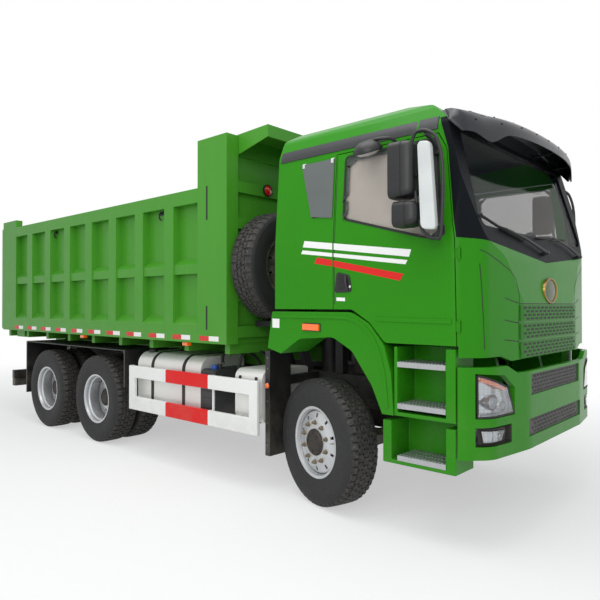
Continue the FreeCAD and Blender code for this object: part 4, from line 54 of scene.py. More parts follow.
# Edges flatter than this many degrees are shaded smooth, from flat plates to stuffed cloth
CRISP, PLAIN, EVEN, FIRM, BOWED, ROUND, STUFFED = 20.0, 30.0, 35.0, 40.0, 50.0, 60.0, 70.0
Flat = tuple[float, float]
Spot = tuple[float, float, float]
Colour = tuple[float, float, float, float]
Number = Union[int, float]
Hit = tuple[Vector, Vector]
Cast = Callable[[float, float], Hit]


def at(ahead: float, across: float, up: float) -> Vector:
    """A point given ahead of the front axle, to the left and above the ground, in metres."""
    return Vector((AXLE_X + ahead, across, up))


def rgb(red: int, green: int, blue: int) -> Colour:
    """A display colour from 0 to 255 as the linear colour that a shader takes."""
    def linear(share: float) -> float:
        """One channel on the linear scale."""
        return share / 12.92 if share <= 0.04045 else ((share + 0.055) / 1.055) ** 2.4
    return (linear(red / 255), linear(green / 255), linear(blue / 255), 1.0)


def both() -> list[tuple[float, str]]:
    """The right side and the left one, with their names."""
    return [(RIGHT, "right"), (LEFT, "left")]


def turns(count: int, shift: float = 0.0) -> list[float]:
    """Even angles round a full turn, moved on by a share of their step."""
    return [2 * math.pi * (k + shift) / count for k in range(count)]


def polar(radius: float, turn: float, height: float) -> Vector:
    """A point by its radius and angle round the Z axis and its height."""
    return Vector((radius * math.cos(turn), radius * math.sin(turn), height))


def aimed(spot: Vector, way: Vector) -> Matrix:
    """A frame at a point with its Z axis along way."""
    return Matrix.Translation(spot) @ way.to_track_quat("Z", "Y").to_matrix().to_4x4()


def forward(spot: Vector) -> Matrix:
    """A frame at a point with its Z axis pointing ahead and its Y axis to the left."""
    return Matrix.Translation(spot) @ Matrix.Rotation(math.radians(90), 4, "Y")


def rectangle(left: float, low: float, right: float, high: float) -> tuple[Flat, ...]:
    """The four corners of an upright rectangle, in order round it."""
    return ((left, low), (right, low), (right, high), (left, high))


# Shader maths

# A Mix node's sockets for colours, by place
MIX_SHARE, MIX_LOW, MIX_HIGH, MIX_RESULT = 0, 6, 7, 2


def operator(operation: str, swapped: bool = False) -> Callable[["Socket", Union["Socket", Number]],
                                                                "Socket"]:
    """A method for one of Python's operators.

    Args:
        operation: the operation of the Math node that it adds.
        swapped: whether it is the reflected form, as in 1 - mask.

    Returns:
        The method.
    """
    def method(self: "Socket", other: Union["Socket", Number]) -> "Socket":
        """Add the node."""
        return self.maths(operation, *((other, self) if swapped else (self, other)))
    return method


class Socket:
    """An output of a shader node with Python's operators on it."""

    def __init__(self, tree: bpy.types.NodeTree, output: bpy.types.NodeSocket) -> None:
        """Wrap an output.

        Args:
            tree: the material's node tree.
            output: the socket to wrap.
        """
        self.tree, self.output = tree, output

    def maths(self, operation: str, *values: Union["Socket", Number], clamp: bool = False) -> "Socket":
        """Add a Math node.

        Args:
            operation: its operation.
            values: its inputs in order.
            clamp: whether the result is kept from 0 to 1.

        Returns:
            The result's socket.
        """
        node = self.tree.nodes.new("ShaderNodeMath")
        node.operation, node.use_clamp = operation, clamp
        for place, value in enumerate(values):
            join(self.tree, value, node.inputs[place])
        return Socket(self.tree, node.outputs[0])

    __add__, __radd__ = operator("ADD"), operator("ADD", True)
    __sub__, __rsub__ = operator("SUBTRACT"), operator("SUBTRACT", True)
    __mul__, __rmul__ = operator("MULTIPLY"), operator("MULTIPLY", True)
    __pow__, __gt__, __lt__ = operator("POWER"), operator("GREATER_THAN"), operator("LESS_THAN")

    def clamped(self) -> "Socket":
        """self kept from 0 to 1."""
        return self.maths("ADD", self, 0.0, clamp=True)

    def ramp(self, low: float, high: float) -> "Socket":
        """0 below low, 1 above high and a smooth rise between them."""
        node = self.tree.nodes.new("ShaderNodeMapRange")
        node.interpolation_type = "SMOOTHSTEP"
        join(self.tree, self, node.inputs["Value"])
        node.inputs["From Min"].default_value, node.inputs["From Max"].default_value = low, high
        return Socket(self.tree, node.outputs[0])

    def between(self, low: float, high: float) -> "Socket":
        """1 where self lies between two numbers."""
        return (self > low) * (self < high)

    def wave(self, pitch: float) -> "Socket":
        """A wave from 0 to 1 that repeats every pitch."""
        return self.maths("SINE", self * (2.0 * math.pi / pitch)) * 0.5 + 0.5


Input = Union[Socket, Number, Sequence[float]]


def join(tree: bpy.types.NodeTree, value: Input, target: bpy.types.NodeSocket) -> None:
    """Link a socket to an input, or set the input to a number or colour.

    Args:
        tree: the node tree.
        value: what the input gets.
        target: the input.
    """
    if isinstance(value, Socket):
        tree.links.new(value.output, target)
    else:
        target.default_value = value


class Graph:
    """A material's nodes: texture places, patterns and mixes."""

    def __init__(self, name: str) -> None:
        """Make an empty material.

        Args:
            name: the material's name.
        """
        self.material = bpy.data.materials.new(name)
        self.material.use_nodes = True
        self.tree = self.material.node_tree
        self.tree.nodes.clear()
        self.end = self.tree.nodes.new("ShaderNodeOutputMaterial")

    def node(self, kind: str, settings: Optional[dict] = None, out: Union[int, str] = 0,
             **inputs: Input) -> Socket:
        """Add any node.

        Args:
            kind: the node's type without its Shader prefix.
            settings: its properties, set first.
            out: which output comes back.
            inputs: its sockets by name, with _ for a space, or by place as i0, i1.

        Returns:
            The chosen output.
        """
        node = self.tree.nodes.new("ShaderNode" + kind)
        for key, value in (settings or {}).items():
            setattr(node, key, value)
        for key, value in inputs.items():
            place = int(key[1:]) if key[0] == "i" and key[1:].isdigit() else key.replace("_", " ")
            join(self.tree, value, node.inputs[place])
        return Socket(self.tree, node.outputs[out])

    def place(self) -> Socket:
        """The surface point in the piece's own frame, in metres."""
        return self.node("TexCoord", out="Object")

    def along(self, vector: Socket, axis: str) -> Socket:
        """One part of a vector, X, Y or Z."""
        return self.node("SeparateXYZ", out=axis, Vector=vector)

    def stretched(self, x: float, y: float, z: float) -> Socket:
        """The surface point scaled along each axis."""
        return self.node("VectorMath", {"operation": "MULTIPLY"}, i0=self.place(), i1=(x, y, z))

    def noise(self, scale: float, detail: float = 3.0, rough: float = 0.5,
              where: Optional[Socket] = None) -> Socket:
        """Soft noise from 0 to 1 at a scale per metre."""
        return self.node("TexNoise", Vector=where or self.place(), Scale=scale, Detail=detail,
                         Roughness=rough)

    def cells(self, scale: float, feature: str = "F1", where: Optional[Socket] = None) -> Socket:
        """Distance in a cell pattern."""
        return self.node("TexVoronoi", {"feature": feature}, Vector=where or self.place(), Scale=scale)

    def mix(self, share: Input, low: Input, high: Input) -> Socket:
        """A colour between two others."""
        return self.node("Mix", {"data_type": "RGBA"}, MIX_RESULT, **{
            f"i{MIX_SHARE}": share, f"i{MIX_LOW}": low, f"i{MIX_HIGH}": high})

    def tint(self, base: Input, share: Input, amount: float) -> Socket:
        """A colour darkened or lightened around itself by a share from 0 to 1."""
        return self.node("HueSaturation", Color=base, Value=share * amount + (1.0 - amount / 2.0))

    def bump(self, height: Socket, depth: float, strength: float = 1.0) -> Socket:
        """A normal from a height from 0 to 1 that stands depth metres proud."""
        return self.node("Bump", Height=height, Distance=depth, Strength=strength)

    def surface(self, **inputs: Input) -> bpy.types.Material:
        """Close the graph with a Principled shader.

        Args:
            inputs: its sockets by name, with _ for a space.

        Returns:
            The material.
        """
        shader = self.node("BsdfPrincipled", **inputs)
        self.tree.links.new(shader.output, self.end.inputs["Surface"])
        return self.material


# Finishes

DUST = rgb(150, 138, 118)


@dataclass(frozen=True)
class Finish:
    """What every finish has: a name, a colour and how rough it is."""

    name: str
    colour: Colour
    rough: float = 0.5

    def nodes(self, graph: Graph) -> bpy.types.Material:
        """Build the material in a graph."""
        raise NotImplementedError

    def material(self) -> bpy.types.Material:
        """The material, made once."""
        return bpy.data.materials.get(self.name) or self.nodes(Graph(self.name))

    def dusted(self, graph: Graph, colour: Input, most: float, top: float) -> Socket:
        """Road dust that thins out with height.

        Args:
            graph: the material's graph.
            colour: the clean colour.
            most: how much dust there is at the ground, from 0 to 1.
            top: the height in metres where it ends.

        Returns:
            The colour with its dust.
        """
        height = graph.along(graph.place(), "Z")
        low = 1.0 - height.ramp(0.1, top)
        patches = graph.noise(5.0, 6.0, 0.65).ramp(0.3, 0.75)
        return graph.mix(low * patches * most, colour, DUST)


@dataclass(frozen=True)
class Paint(Finish):
    """Gloss body paint: faint orange peel, flakes of tone and dust low down."""

    coat: float = 0.05
    dust: float = 0.12
    peel: float = 0.0004
    shine: float = 0.12

    def nodes(self, graph: Graph) -> bpy.types.Material:
        """Build the paint."""
        tone = graph.noise(1.3, 4.0)
        colour = graph.tint(self.colour, tone, 0.16)
        colour = graph.tint(colour, graph.noise(420.0, 1.0), 0.05)
        colour = self.dusted(graph, colour, self.dust, 1.6)
        rough = graph.noise(9.0, 5.0, 0.6) * 0.14 + (self.rough - 0.07)
        peel = graph.noise(150.0, 2.0)
        dents = graph.noise(2.2, 2.0)
        return graph.surface(Base_Color=colour, Roughness=rough, Coat_Weight=self.coat, Coat_Roughness=0.06,
                             Coat_IOR=1.4, Specular_IOR_Level=self.shine,
                             Normal=graph.bump(peel * 0.15 + dents, self.peel * 10.0, 0.35))


@dataclass(frozen=True)
class SheetPaint(Finish):
    """Paint on welded sheet steel: softer gloss, long rolling waves and rain streaks."""

    def nodes(self, graph: Graph) -> bpy.types.Material:
        """Build the paint."""
        streaks = graph.noise(3.0, 4.0, 0.6, graph.stretched(2.4, 2.4, 0.25))
        colour = graph.tint(self.colour, graph.noise(0.9, 3.0), 0.14)
        colour = graph.tint(colour, streaks, 0.14)
        specks = graph.cells(9.0, "F1").ramp(0.02, 0.05)
        colour = graph.mix((1.0 - specks) * graph.noise(2.0) * 0.5, colour, rgb(46, 92, 30))
        colour = self.dusted(graph, colour, 0.2, 2.2)
        rough = graph.noise(6.0, 5.0, 0.65) * 0.2 + (self.rough - 0.1)
        waves = graph.noise(1.7, 2.0) + graph.noise(190.0, 2.0) * 0.02
        return graph.surface(Base_Color=colour, Roughness=rough, Coat_Weight=0.1, Coat_Roughness=0.16,
                             Specular_IOR_Level=0.25, Normal=graph.bump(waves, 0.008, 0.45))


@dataclass(frozen=True)
class Plastic(Finish):
    """Moulded plastic: fine leather grain and a little chalking."""

    grain: float = 900.0
    depth: float = 0.0003
    dust: float = 0.25

    def nodes(self, graph: Graph) -> bpy.types.Material:
        """Build the plastic."""
        cells = graph.cells(self.grain, "SMOOTH_F1")
        colour = graph.tint(self.colour, graph.noise(4.0, 4.0), 0.3)
        colour = self.dusted(graph, colour, self.dust, 1.5)
        rough = graph.noise(12.0, 4.0) * 0.18 + (self.rough - 0.09)
        return graph.surface(Base_Color=colour, Roughness=rough, Normal=graph.bump(cells, self.depth, 0.6))


@dataclass(frozen=True)
class FrameCoat(Finish):
    """Thick chassis paint over rolled steel: runs, grit and road film."""

    def nodes(self, graph: Graph) -> bpy.types.Material:
        """Build the coat."""
        colour = graph.tint(self.colour, graph.noise(7.0, 6.0, 0.6), 0.5)
        colour = self.dusted(graph, colour, 0.5, 1.4)
        chips = graph.noise(60.0, 3.0, 0.7).ramp(0.7, 0.76)
        colour = graph.mix(chips * 0.5, colour, rgb(96, 78, 62))
        rough = graph.noise(20.0, 4.0) * 0.3 + (self.rough - 0.15)
        return graph.surface(Base_Color=colour, Roughness=rough,
                             Normal=graph.bump(graph.noise(120.0, 4.0, 0.6), 0.0012, 0.5))


@dataclass(frozen=True)
class Metal(Finish):
    """Bare or silver-painted metal: brushed or cast, with stains."""

    metallic: float = 1.0
    brushed: float = 0.3
    stain: Colour = rgb(92, 84, 74)
    stained: float = 0.35

    def nodes(self, graph: Graph) -> bpy.types.Material:
        """Build the metal."""
        lines = graph.noise(60.0, 3.0, 0.6, graph.stretched(1.0, 12.0, 12.0))
        cast = graph.noise(260.0, 3.0, 0.6)
        colour = graph.tint(self.colour, lines, self.brushed)
        dirt = graph.noise(14.0, 6.0, 0.7).ramp(0.48, 0.78) * self.stained
        colour = graph.mix(dirt, colour, self.stain)
        rough = lines * 0.15 + dirt * 0.3 + (self.rough - 0.07)
        return graph.surface(Base_Color=colour, Roughness=rough, Metallic=self.metallic * (1.0 - dirt),
                             Normal=graph.bump(cast, 0.0006, 0.35))


@dataclass(frozen=True)
class Rubber(Finish):
    """Tyre rubber: moulded rings on the side wall and dust in the tread."""

    ring: float = 0.006
    inner: float = 0.33
    outer: float = 0.49

    def nodes(self, graph: Graph) -> bpy.types.Material:
        """Build the rubber; the piece's own Z axis is the wheel's axle."""
        spot = graph.place()
        x, y = graph.along(spot, "X"), graph.along(spot, "Y")
        radius = (x * x + y * y) ** 0.5
        wall = radius.between(self.inner, self.outer)
        rings = radius.wave(self.ring) * wall
        colour = graph.tint(self.colour, graph.noise(9.0, 6.0, 0.65), 0.5)
        worn = graph.noise(40.0, 4.0, 0.6).ramp(0.35, 0.8) * radius.ramp(0.50, 0.53)
        colour = graph.mix(worn * 0.5, colour, rgb(104, 98, 88))
        rough = graph.noise(22.0, 4.0) * 0.2 + (self.rough - 0.1)
        height = rings * 0.5 + graph.noise(180.0, 4.0, 0.6) * 0.4
        return graph.surface(Base_Color=colour, Roughness=rough, Normal=graph.bump(height, 0.0012, 0.7))


@dataclass(frozen=True)
class Pane(Finish):
    """Thin window glass: mostly clear, with the film that road air leaves; its colour, laid on with Alpha,
    is a dark tint on the windscreen and a painted pale reflection on the side windows.
    """

    solid: float = 0.2
    shine: float = 0.5

    def nodes(self, graph: Graph) -> bpy.types.Material:
        """Build the glass."""
        film = graph.noise(3.0, 5.0, 0.6)
        colour = graph.tint(self.colour, film, 0.12)
        return graph.surface(Base_Color=colour, Roughness=film * 0.03 + self.rough,
                             Specular_IOR_Level=self.shine, Alpha=film * 0.06 + self.solid,
                             Normal=graph.bump(graph.noise(1.5, 1.0), 0.0005, 0.2))


@dataclass(frozen=True)
class Lens(Finish):
    """Moulded lamp lens: clear outside, prisms behind, lit a little from inside."""

    pitch: float = 0.012
    clear: float = 0.55
    glow: float = 0.0

    def nodes(self, graph: Graph) -> bpy.types.Material:
        """Build the lens."""
        spot = graph.place()
        flutes = graph.along(spot, "Y").wave(self.pitch) * graph.along(spot, "Z").wave(self.pitch)
        flutes = flutes + graph.along(spot, "X").wave(self.pitch) * 0.4
        colour = graph.tint(self.colour, flutes.clamped(), 0.35)
        return graph.surface(Base_Color=colour, Roughness=graph.noise(30.0) * 0.06 + self.rough, IOR=1.5,
                             Transmission_Weight=self.clear, Emission_Color=self.colour,
                             Emission_Strength=self.glow, Coat_Weight=1.0, Coat_Roughness=0.03,
                             Normal=graph.bump(flutes, 0.0008, 0.5))


@dataclass(frozen=True)
class Tape(Finish):
    """Reflective tape: cells under a clear film."""

    def nodes(self, graph: Graph) -> bpy.types.Material:
        """Build the tape."""
        edge = graph.cells(260.0, "DISTANCE_TO_EDGE").ramp(0.02, 0.09)
        colour = graph.mix(edge * 0.2 + 0.8, rgb(214, 206, 196), self.colour)
        colour = graph.tint(colour, graph.noise(30.0), 0.12)
        return graph.surface(Base_Color=colour, Roughness=graph.noise(8.0) * 0.1 + self.rough,
                             Coat_Weight=0.1, Coat_Roughness=0.1, Specular_IOR_Level=0.2,
                             Normal=graph.bump(edge, 0.0002, 0.4))


@dataclass(frozen=True)
class Barred(Finish):
    """The side guard's gloss white with its red patches by place along the truck."""

    patch: Colour = rgb(218, 12, 14)
    rear: float = AXLE_X - 2.062
    front: float = AXLE_X - 1.353

    def nodes(self, graph: Graph) -> bpy.types.Material:
        """Build the paint."""
        red = graph.along(graph.place(), "X").between(self.rear, self.front)
        colour = graph.mix(red, self.colour, self.patch)
        colour = graph.tint(colour, graph.noise(2.0, 4.0), 0.1)
        colour = self.dusted(graph, colour, 0.3, 1.2)
        return graph.surface(Base_Color=colour, Roughness=graph.noise(9.0, 4.0) * 0.15 + self.rough,
                             Coat_Weight=0.05, Coat_Roughness=0.1, Specular_IOR_Level=0.2,
                             Normal=graph.bump(graph.noise(150.0, 2.0), 0.0004, 0.3))


@dataclass(frozen=True)
class Cloth(Finish):
    """Woven seat cloth: crossing threads and a soft sheen."""

    thread: float = 0.004

    def nodes(self, graph: Graph) -> bpy.types.Material:
        """Build the cloth."""
        spot = graph.place()
        warp = graph.along(spot, "Y").wave(self.thread)
        weft = (graph.along(spot, "X") + graph.along(spot, "Z")).wave(self.thread)
        weave = warp * (1.0 - weft) + weft * (1.0 - warp)
        colour = graph.tint(self.colour, weave, 0.5)
        colour = graph.tint(colour, graph.noise(8.0, 3.0), 0.2)
        return graph.surface(Base_Color=colour, Roughness=weave * 0.1 + self.rough, Sheen_Weight=0.3,
                             Normal=graph.bump(weave, 0.0012, 0.6))


class Finishes(Enum):
    """Every finish on the truck."""

    CAB = Paint("cab_gloss_green", rgb(44, 132, 16), 0.3)
    BED = SheetPaint("bed_sheet_green", rgb(66, 142, 34), 0.42)
    BLACK = Plastic("black_moulded_plastic", rgb(22, 23, 25), 0.45)
    DARK = Plastic("dark_grey_plastic", rgb(52, 54, 56), 0.5)
    VISOR = Plastic("smoked_visor_plastic", rgb(24, 27, 33), 0.3, 1400.0, 0.0001, 0.0)
    PIANO = Paint("gloss_black_surround", rgb(20, 23, 27), 0.42, 0.0, 0.0, 0.0001, 0.05)
    FRAME = FrameCoat("chassis_black", rgb(27, 28, 30), 0.5)
    GUARD = Barred("guard_white_and_red", rgb(232, 233, 230), 0.25)
    WHITE = Paint("plain_white_paint", rgb(236, 237, 234), 0.3, 0.5, 0.1)
    RED = Paint("plain_red_paint", rgb(214, 30, 26), 0.3, 0.5, 0.1)
    SILVER = Metal("wheel_silver", rgb(196, 198, 200), 0.38, 0.7, 0.1, rgb(120, 108, 92), 0.3)
    TREAD_PLATE = Metal("step_aluminium", rgb(178, 180, 182), 0.42, 0.85, 0.3)
    TANK = Metal("tank_aluminium", rgb(230, 229, 225), 0.36, 0.25, 0.06, rgb(170, 166, 158), 0.1)
    CHROME = Metal("bright_chrome", rgb(226, 228, 230), 0.08, 1.0, 0.02, rgb(120, 120, 120), 0.05)
    STEEL = Metal("plain_steel", rgb(128, 126, 122), 0.45, 0.9, 0.2)
    CAST = Metal("dark_casting", rgb(58, 54, 50), 0.55, 0.5, 0.1, rgb(88, 66, 46), 0.5)
    NUT = Metal("zinc_nut", rgb(150, 140, 122), 0.4, 0.9, 0.1, rgb(96, 74, 50), 0.4)
    RUBBER = Rubber("tyre_black", rgb(33, 33, 34), 0.72)
    TRIM = Plastic("rubber_trim", rgb(15, 15, 16), 0.65, 700.0, 0.0002)
    SCREEN_GLASS = Pane("windscreen_glass", rgb(40, 46, 52), 0.02, 0.16)
    # Painted reflection: the side panes' pale grey-brown, partly opaque, stands for what the real glass
    # reflects
    SIDE_GLASS = Pane("side_glass_painted_reflection", rgb(216, 206, 196), 0.04, 0.38)
    MIRROR = Metal("mirror_glass", rgb(214, 218, 222), 0.02, 1.0, 0.0, rgb(120, 120, 120), 0.02)
    LAMP_CLEAR = Lens("clear_lamp_lens", rgb(236, 240, 242), 0.03, 0.02, 0.92)
    LAMP_AMBER = Lens("amber_lamp_lens", rgb(255, 112, 12), 0.08, 0.009, 0.15, 0.12)
    LAMP_RED = Lens("red_lamp_lens", rgb(206, 18, 16), 0.08, 0.01, 0.15, 0.06)
    TAPE_RED = Tape("red_reflector_tape", rgb(206, 12, 14), 0.3)
    TAPE_WHITE = Tape("white_reflector_tape", rgb(232, 232, 228), 0.25)
    SEAT = Cloth("seat_cloth", rgb(58, 60, 64), 0.85)
    TRIMMED = Plastic("cab_trim_grey", rgb(70, 70, 70), 0.6, 1200.0, 0.0003, 0.0)
    BLUE = Plastic("blue_cap", rgb(28, 82, 170), 0.4, 900.0, 0.0002, 0.1)
    GRILLE = Paint("grille_green", rgb(36, 112, 14), 0.4)
    INTAKE = Plastic("dark_intake_plastic", rgb(36, 40, 38), 0.5)
    DRIP = Plastic("drip_band_grey", rgb(44, 46, 48), 0.4, 900.0, 0.0002, 0.0)
    FILM = Plastic("quarter_panel_grey", rgb(92, 98, 96), 0.32, 500.0, 0.0001, 0.0)
    PALE = Plastic("pale_grey_plastic", rgb(206, 210, 208), 0.35, 900.0, 0.0001, 0.05)
    SATIN = Metal("satin_bronze_rim", rgb(150, 122, 66), 0.3, 0.9, 0.05, rgb(80, 70, 40), 0.1)
    BADGE = Paint("bare_badge_plate", rgb(60, 82, 28), 0.3, 0.5, 0.0)
    BOWL = Metal("lamp_reflector", rgb(188, 192, 196), 0.14, 1.0, 0.05, rgb(90, 92, 96), 0.1)
    EYE = Lens("projector_eye", rgb(206, 216, 226), 0.02, 0.03, 0.6)
    LINING = Cloth("cab_lining", rgb(122, 120, 116), 0.8, 0.006)
    # Painted shade: the roof cloth is dark grey for the shade inside the cab, darker than the lining itself
    HEADLINER = Cloth("roof_cloth_painted_shade", rgb(64, 66, 66), 0.85, 0.006)

    def put(self, item: bpy.types.Object) -> None:
        """Give an object this finish alone."""
        item.data.materials.clear()
        item.data.materials.append(self.value.material())


# Mesh building

def rounded(points: Sequence[Flat], radius: Union[float, Sequence[float]], steps: int = 5) -> list[Flat]:
    """A closed outline with its corners rounded.

    Args:
        points: the corners.
        radius: one radius, or one for each corner.
        steps: how many straight parts each round has.

    Returns:
        The rounded outline's points.
    """
    out: list[Flat] = []
    for i, corner in enumerate(points):
        size = radius if isinstance(radius, (int, float)) else radius[i]
        here = Vector(corner)
        back, ahead = Vector(points[i - 1]) - here, Vector(points[(i + 1) % len(points)]) - here
        reach = min(size, back.length * 0.49, ahead.length * 0.49)
        if reach < 1e-5:
            out.append(corner)
            continue
        start, end = here + back.normalized() * reach, here + ahead.normalized() * reach
        for k in range(steps + 1):
            t = k / steps
            spot = start * (1 - t) ** 2 + here * (2 * t * (1 - t)) + end * t ** 2
            out.append((spot.x, spot.y))
    return out


def rounded_path(points: Sequence[Flat], steps: int = 6) -> list[Flat]:
    """An open flat path with its inner corners rounded as far as its runs allow."""
    if len(points) < 3:
        return list(points)
    return rounded(points, [0.0] + [1.0] * (len(points) - 2) + [0.0], steps)


def smoothed(points: Sequence[Vector], parts: int = 6) -> list[Vector]:
    """A smooth line through points.

    Args:
        points: what it passes.
        parts: how many straight parts lie between two of them.

    Returns:
        The line's points.
    """
    points = [Vector(p) for p in points]
    ring = (points[0] - points[-1]).length < 1e-6
    out = []
    for i in range(len(points) - 1):
        before = points[i - 1] if i else (points[-2] if ring else points[0])
        after = points[i + 2] if i + 2 < len(points) else (points[1] if ring else points[-1])
        a, b = points[i], points[i + 1]
        for k in range(parts):
            t = k / parts
            out.append(0.5 * (2 * a + (b - before) * t + (2 * before - 5 * a + 4 * b - after) * t ** 2
                              + (3 * a - before - 3 * b + after) * t ** 3))
    return out + [points[-1]]


class Piece:
    """Gathers the surfaces of one piece, then makes its object."""

    def __init__(self) -> None:
        """Start with nothing."""
        self.bm = bmesh.new()

    def loft(self, rings: Sequence[Sequence[Vector]], closed: bool = True, caps: bool = True,
             looped: bool = False) -> "Piece":
        """Join rings of points with faces.

        Args:
            rings: the rings in order, all with the same number of points.
            closed: whether each ring closes on itself.
            caps: whether the first and last ring are filled.
            looped: whether the last ring joins the first.

        Returns:
            This piece.
        """
        made = [[self.bm.verts.new(p) for p in ring] for ring in rings]
        count = len(made[0])
        pairs = list(zip(made, made[1:])) + ([(made[-1], made[0])] if looped else [])
        for low, high in pairs:
            for i in range(count if closed else count - 1):
                j = (i + 1) % count
                self.bm.faces.new((low[i], low[j], high[j], high[i]))
        if caps and closed and not looped:
            self.bm.faces.new(list(reversed(made[0])))
            self.bm.faces.new(made[-1])
        return self

    def prism(self, outline: Sequence[Flat], low: float, high: float, bevel: float = 0.0) -> "Piece":
        """A side view's outline drawn out across the truck, with its two rims bevelled.

        Args:
            outline: its points as (x, z).
            low: the y where it starts.
            high: the y where it ends.
            bevel: the width of the bevel on both rims.

        Returns:
            This piece.
        """
        middle = Vector((sum(p[0] for p in outline) / len(outline),
                         sum(p[1] for p in outline) / len(outline)))
        reach = max((Vector(p) - middle).length for p in outline)

        def ring(depth: float, inset: float) -> list[Vector]:
            """The outline at a depth, drawn in towards its middle."""
            flats = [middle + (Vector(p) - middle) * (1.0 - inset / reach) for p in outline]
            return [Vector((flat.x, depth, flat.y)) for flat in flats]

        step = math.copysign(bevel, high - low)
        if bevel:
            return self.loft([ring(low, bevel), ring(low + step, 0), ring(high - step, 0),
                              ring(high, bevel)])
        return self.loft([ring(low, 0), ring(high, 0)])

    def box(self, spot: Vector, low: Spot, high: Spot, bevel: float) -> "Piece":
        """A box with every edge bevelled.

        Args:
            spot: the point that it is placed from.
            low: its lowest corner from there.
            high: its highest corner from there.
            bevel: the width of its bevels.

        Returns:
            This piece.
        """
        made = bmesh.ops.create_cube(self.bm, size=1.0)["verts"]
        size, middle = Vector(high) - Vector(low), spot + (Vector(high) + Vector(low)) / 2
        for vert in made:
            vert.co = Vector([vert.co[i] * abs(size[i]) + middle[i] for i in range(3)])
        edges = list(dict.fromkeys(edge for vert in made for edge in vert.link_edges))
        width = min(bevel, min(abs(c) for c in size) * 0.45)
        bmesh.ops.bevel(self.bm, geom=edges, offset=width, segments=2, affect="EDGES", profile=0.6)
        return self

    def lathe(self, profile: Sequence[Flat], frame_of: Matrix = Matrix.Identity(4), steps: int = 48,
              closed: bool = False) -> "Piece":
        """A profile turned round the frame's Z axis.

        Args:
            profile: points as (radius, height).
            frame_of: where the axis stands.
            steps: how many facets it has round.
            closed: whether the profile closes on itself.

        Returns:
            This piece.
        """
        rings = [[frame_of @ polar(r, a, h) for r, h in profile] for a in turns(steps)]
        return self.loft(rings, closed=closed, caps=False, looped=True)

    def tube(self, path: Sequence[Vector], radius: Union[float, Sequence[float]],
             sides: int = 10) -> "Piece":
        """A round tube along a path, with flat ends.

        Args:
            path: the points of its middle line.
            radius: one radius, or one for each point.
            sides: how many facets it has round.

        Returns:
            This piece.
        """
        path = [Vector(p) for p in path]
        rings, side = [], None
        for i, spot in enumerate(path):
            way = (path[min(i + 1, len(path) - 1)] - path[max(i - 1, 0)]).normalized()
            if side is None:
                side = way.orthogonal().normalized()
            side = (side - way * side.dot(way)).normalized()
            up, size = way.cross(side), radius if isinstance(radius, (int, float)) else radius[i]
            rings.append([spot + (side * math.cos(a) + up * math.sin(a)) * size for a in turns(sides)])
        return self.loft(rings)

    def bolt(self, spot: Vector, way: Vector, size: float = 0.011, tall: float = 0.009) -> "Piece":
        """A hexagon head with its washer."""
        turn = aimed(spot, way)
        washer, foot, corner, crown = size * 1.35, tall * 0.3, tall * 0.9, tall * 1.15
        self.lathe([(0.0, foot), (washer, foot), (washer, 0.0)], turn, 14)
        return self.loft([[turn @ polar(radius, a, height) for a in turns(6)]
                          for radius, height in ((size, foot), (size, corner), (size * 0.86, crown))])

    def object(self, name: str, finish: Finishes, body: str, smooth: float = EVEN,
               replaces: Sequence[str] = (), where: Optional[Matrix] = None,
               slot: str = "") -> bpy.types.Object:
        """Make the object, dress it and let it ride on its body.

        Args:
            name: the piece's name.
            finish: its finish.
            body: the body that it rides on.
            smooth: edges flatter than this many degrees are shaded smooth.
            replaces: the CAD nodes that it stands for.
            where: its place, where its mesh is drawn in its own frame.
            slot: not used.

        Returns:
            The object.
        """
        mesh = bpy.data.meshes.new(name)
        bmesh.ops.recalc_face_normals(self.bm, faces=self.bm.faces)
        self.bm.to_mesh(mesh)
        self.bm.free()
        return place_mesh(mesh, name, finish, body, smooth, replaces, where)


def place_mesh(mesh: bpy.types.Mesh, name: str, finish: Finishes, body: str, smooth: float = EVEN,
               replaces: Sequence[str] = (), where: Optional[Matrix] = None) -> bpy.types.Object:
    """An object for a mesh that may already serve another piece; the rest is as in Piece.object.

    Args:
        mesh: the mesh.
        name: the piece's name.
        finish: its finish.
        body: the body that it rides on.
        smooth: edges flatter than this many degrees are shaded smooth.
        replaces: the CAD nodes that it stands for.
        where: its place.

    Returns:
        The object.
    """
    item = bpy.data.objects.new(name, mesh)
    bpy.context.scene.collection.objects.link(item)
    if not mesh.materials:
        mesh.materials.append(finish.value.material())
        mesh.shade_smooth()
        mesh.set_sharp_from_angle(angle=math.radians(smooth))
    if where is not None:
        item.matrix_world = where
    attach(item, body)
    if replaces:
        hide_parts(*replaces)
    return item


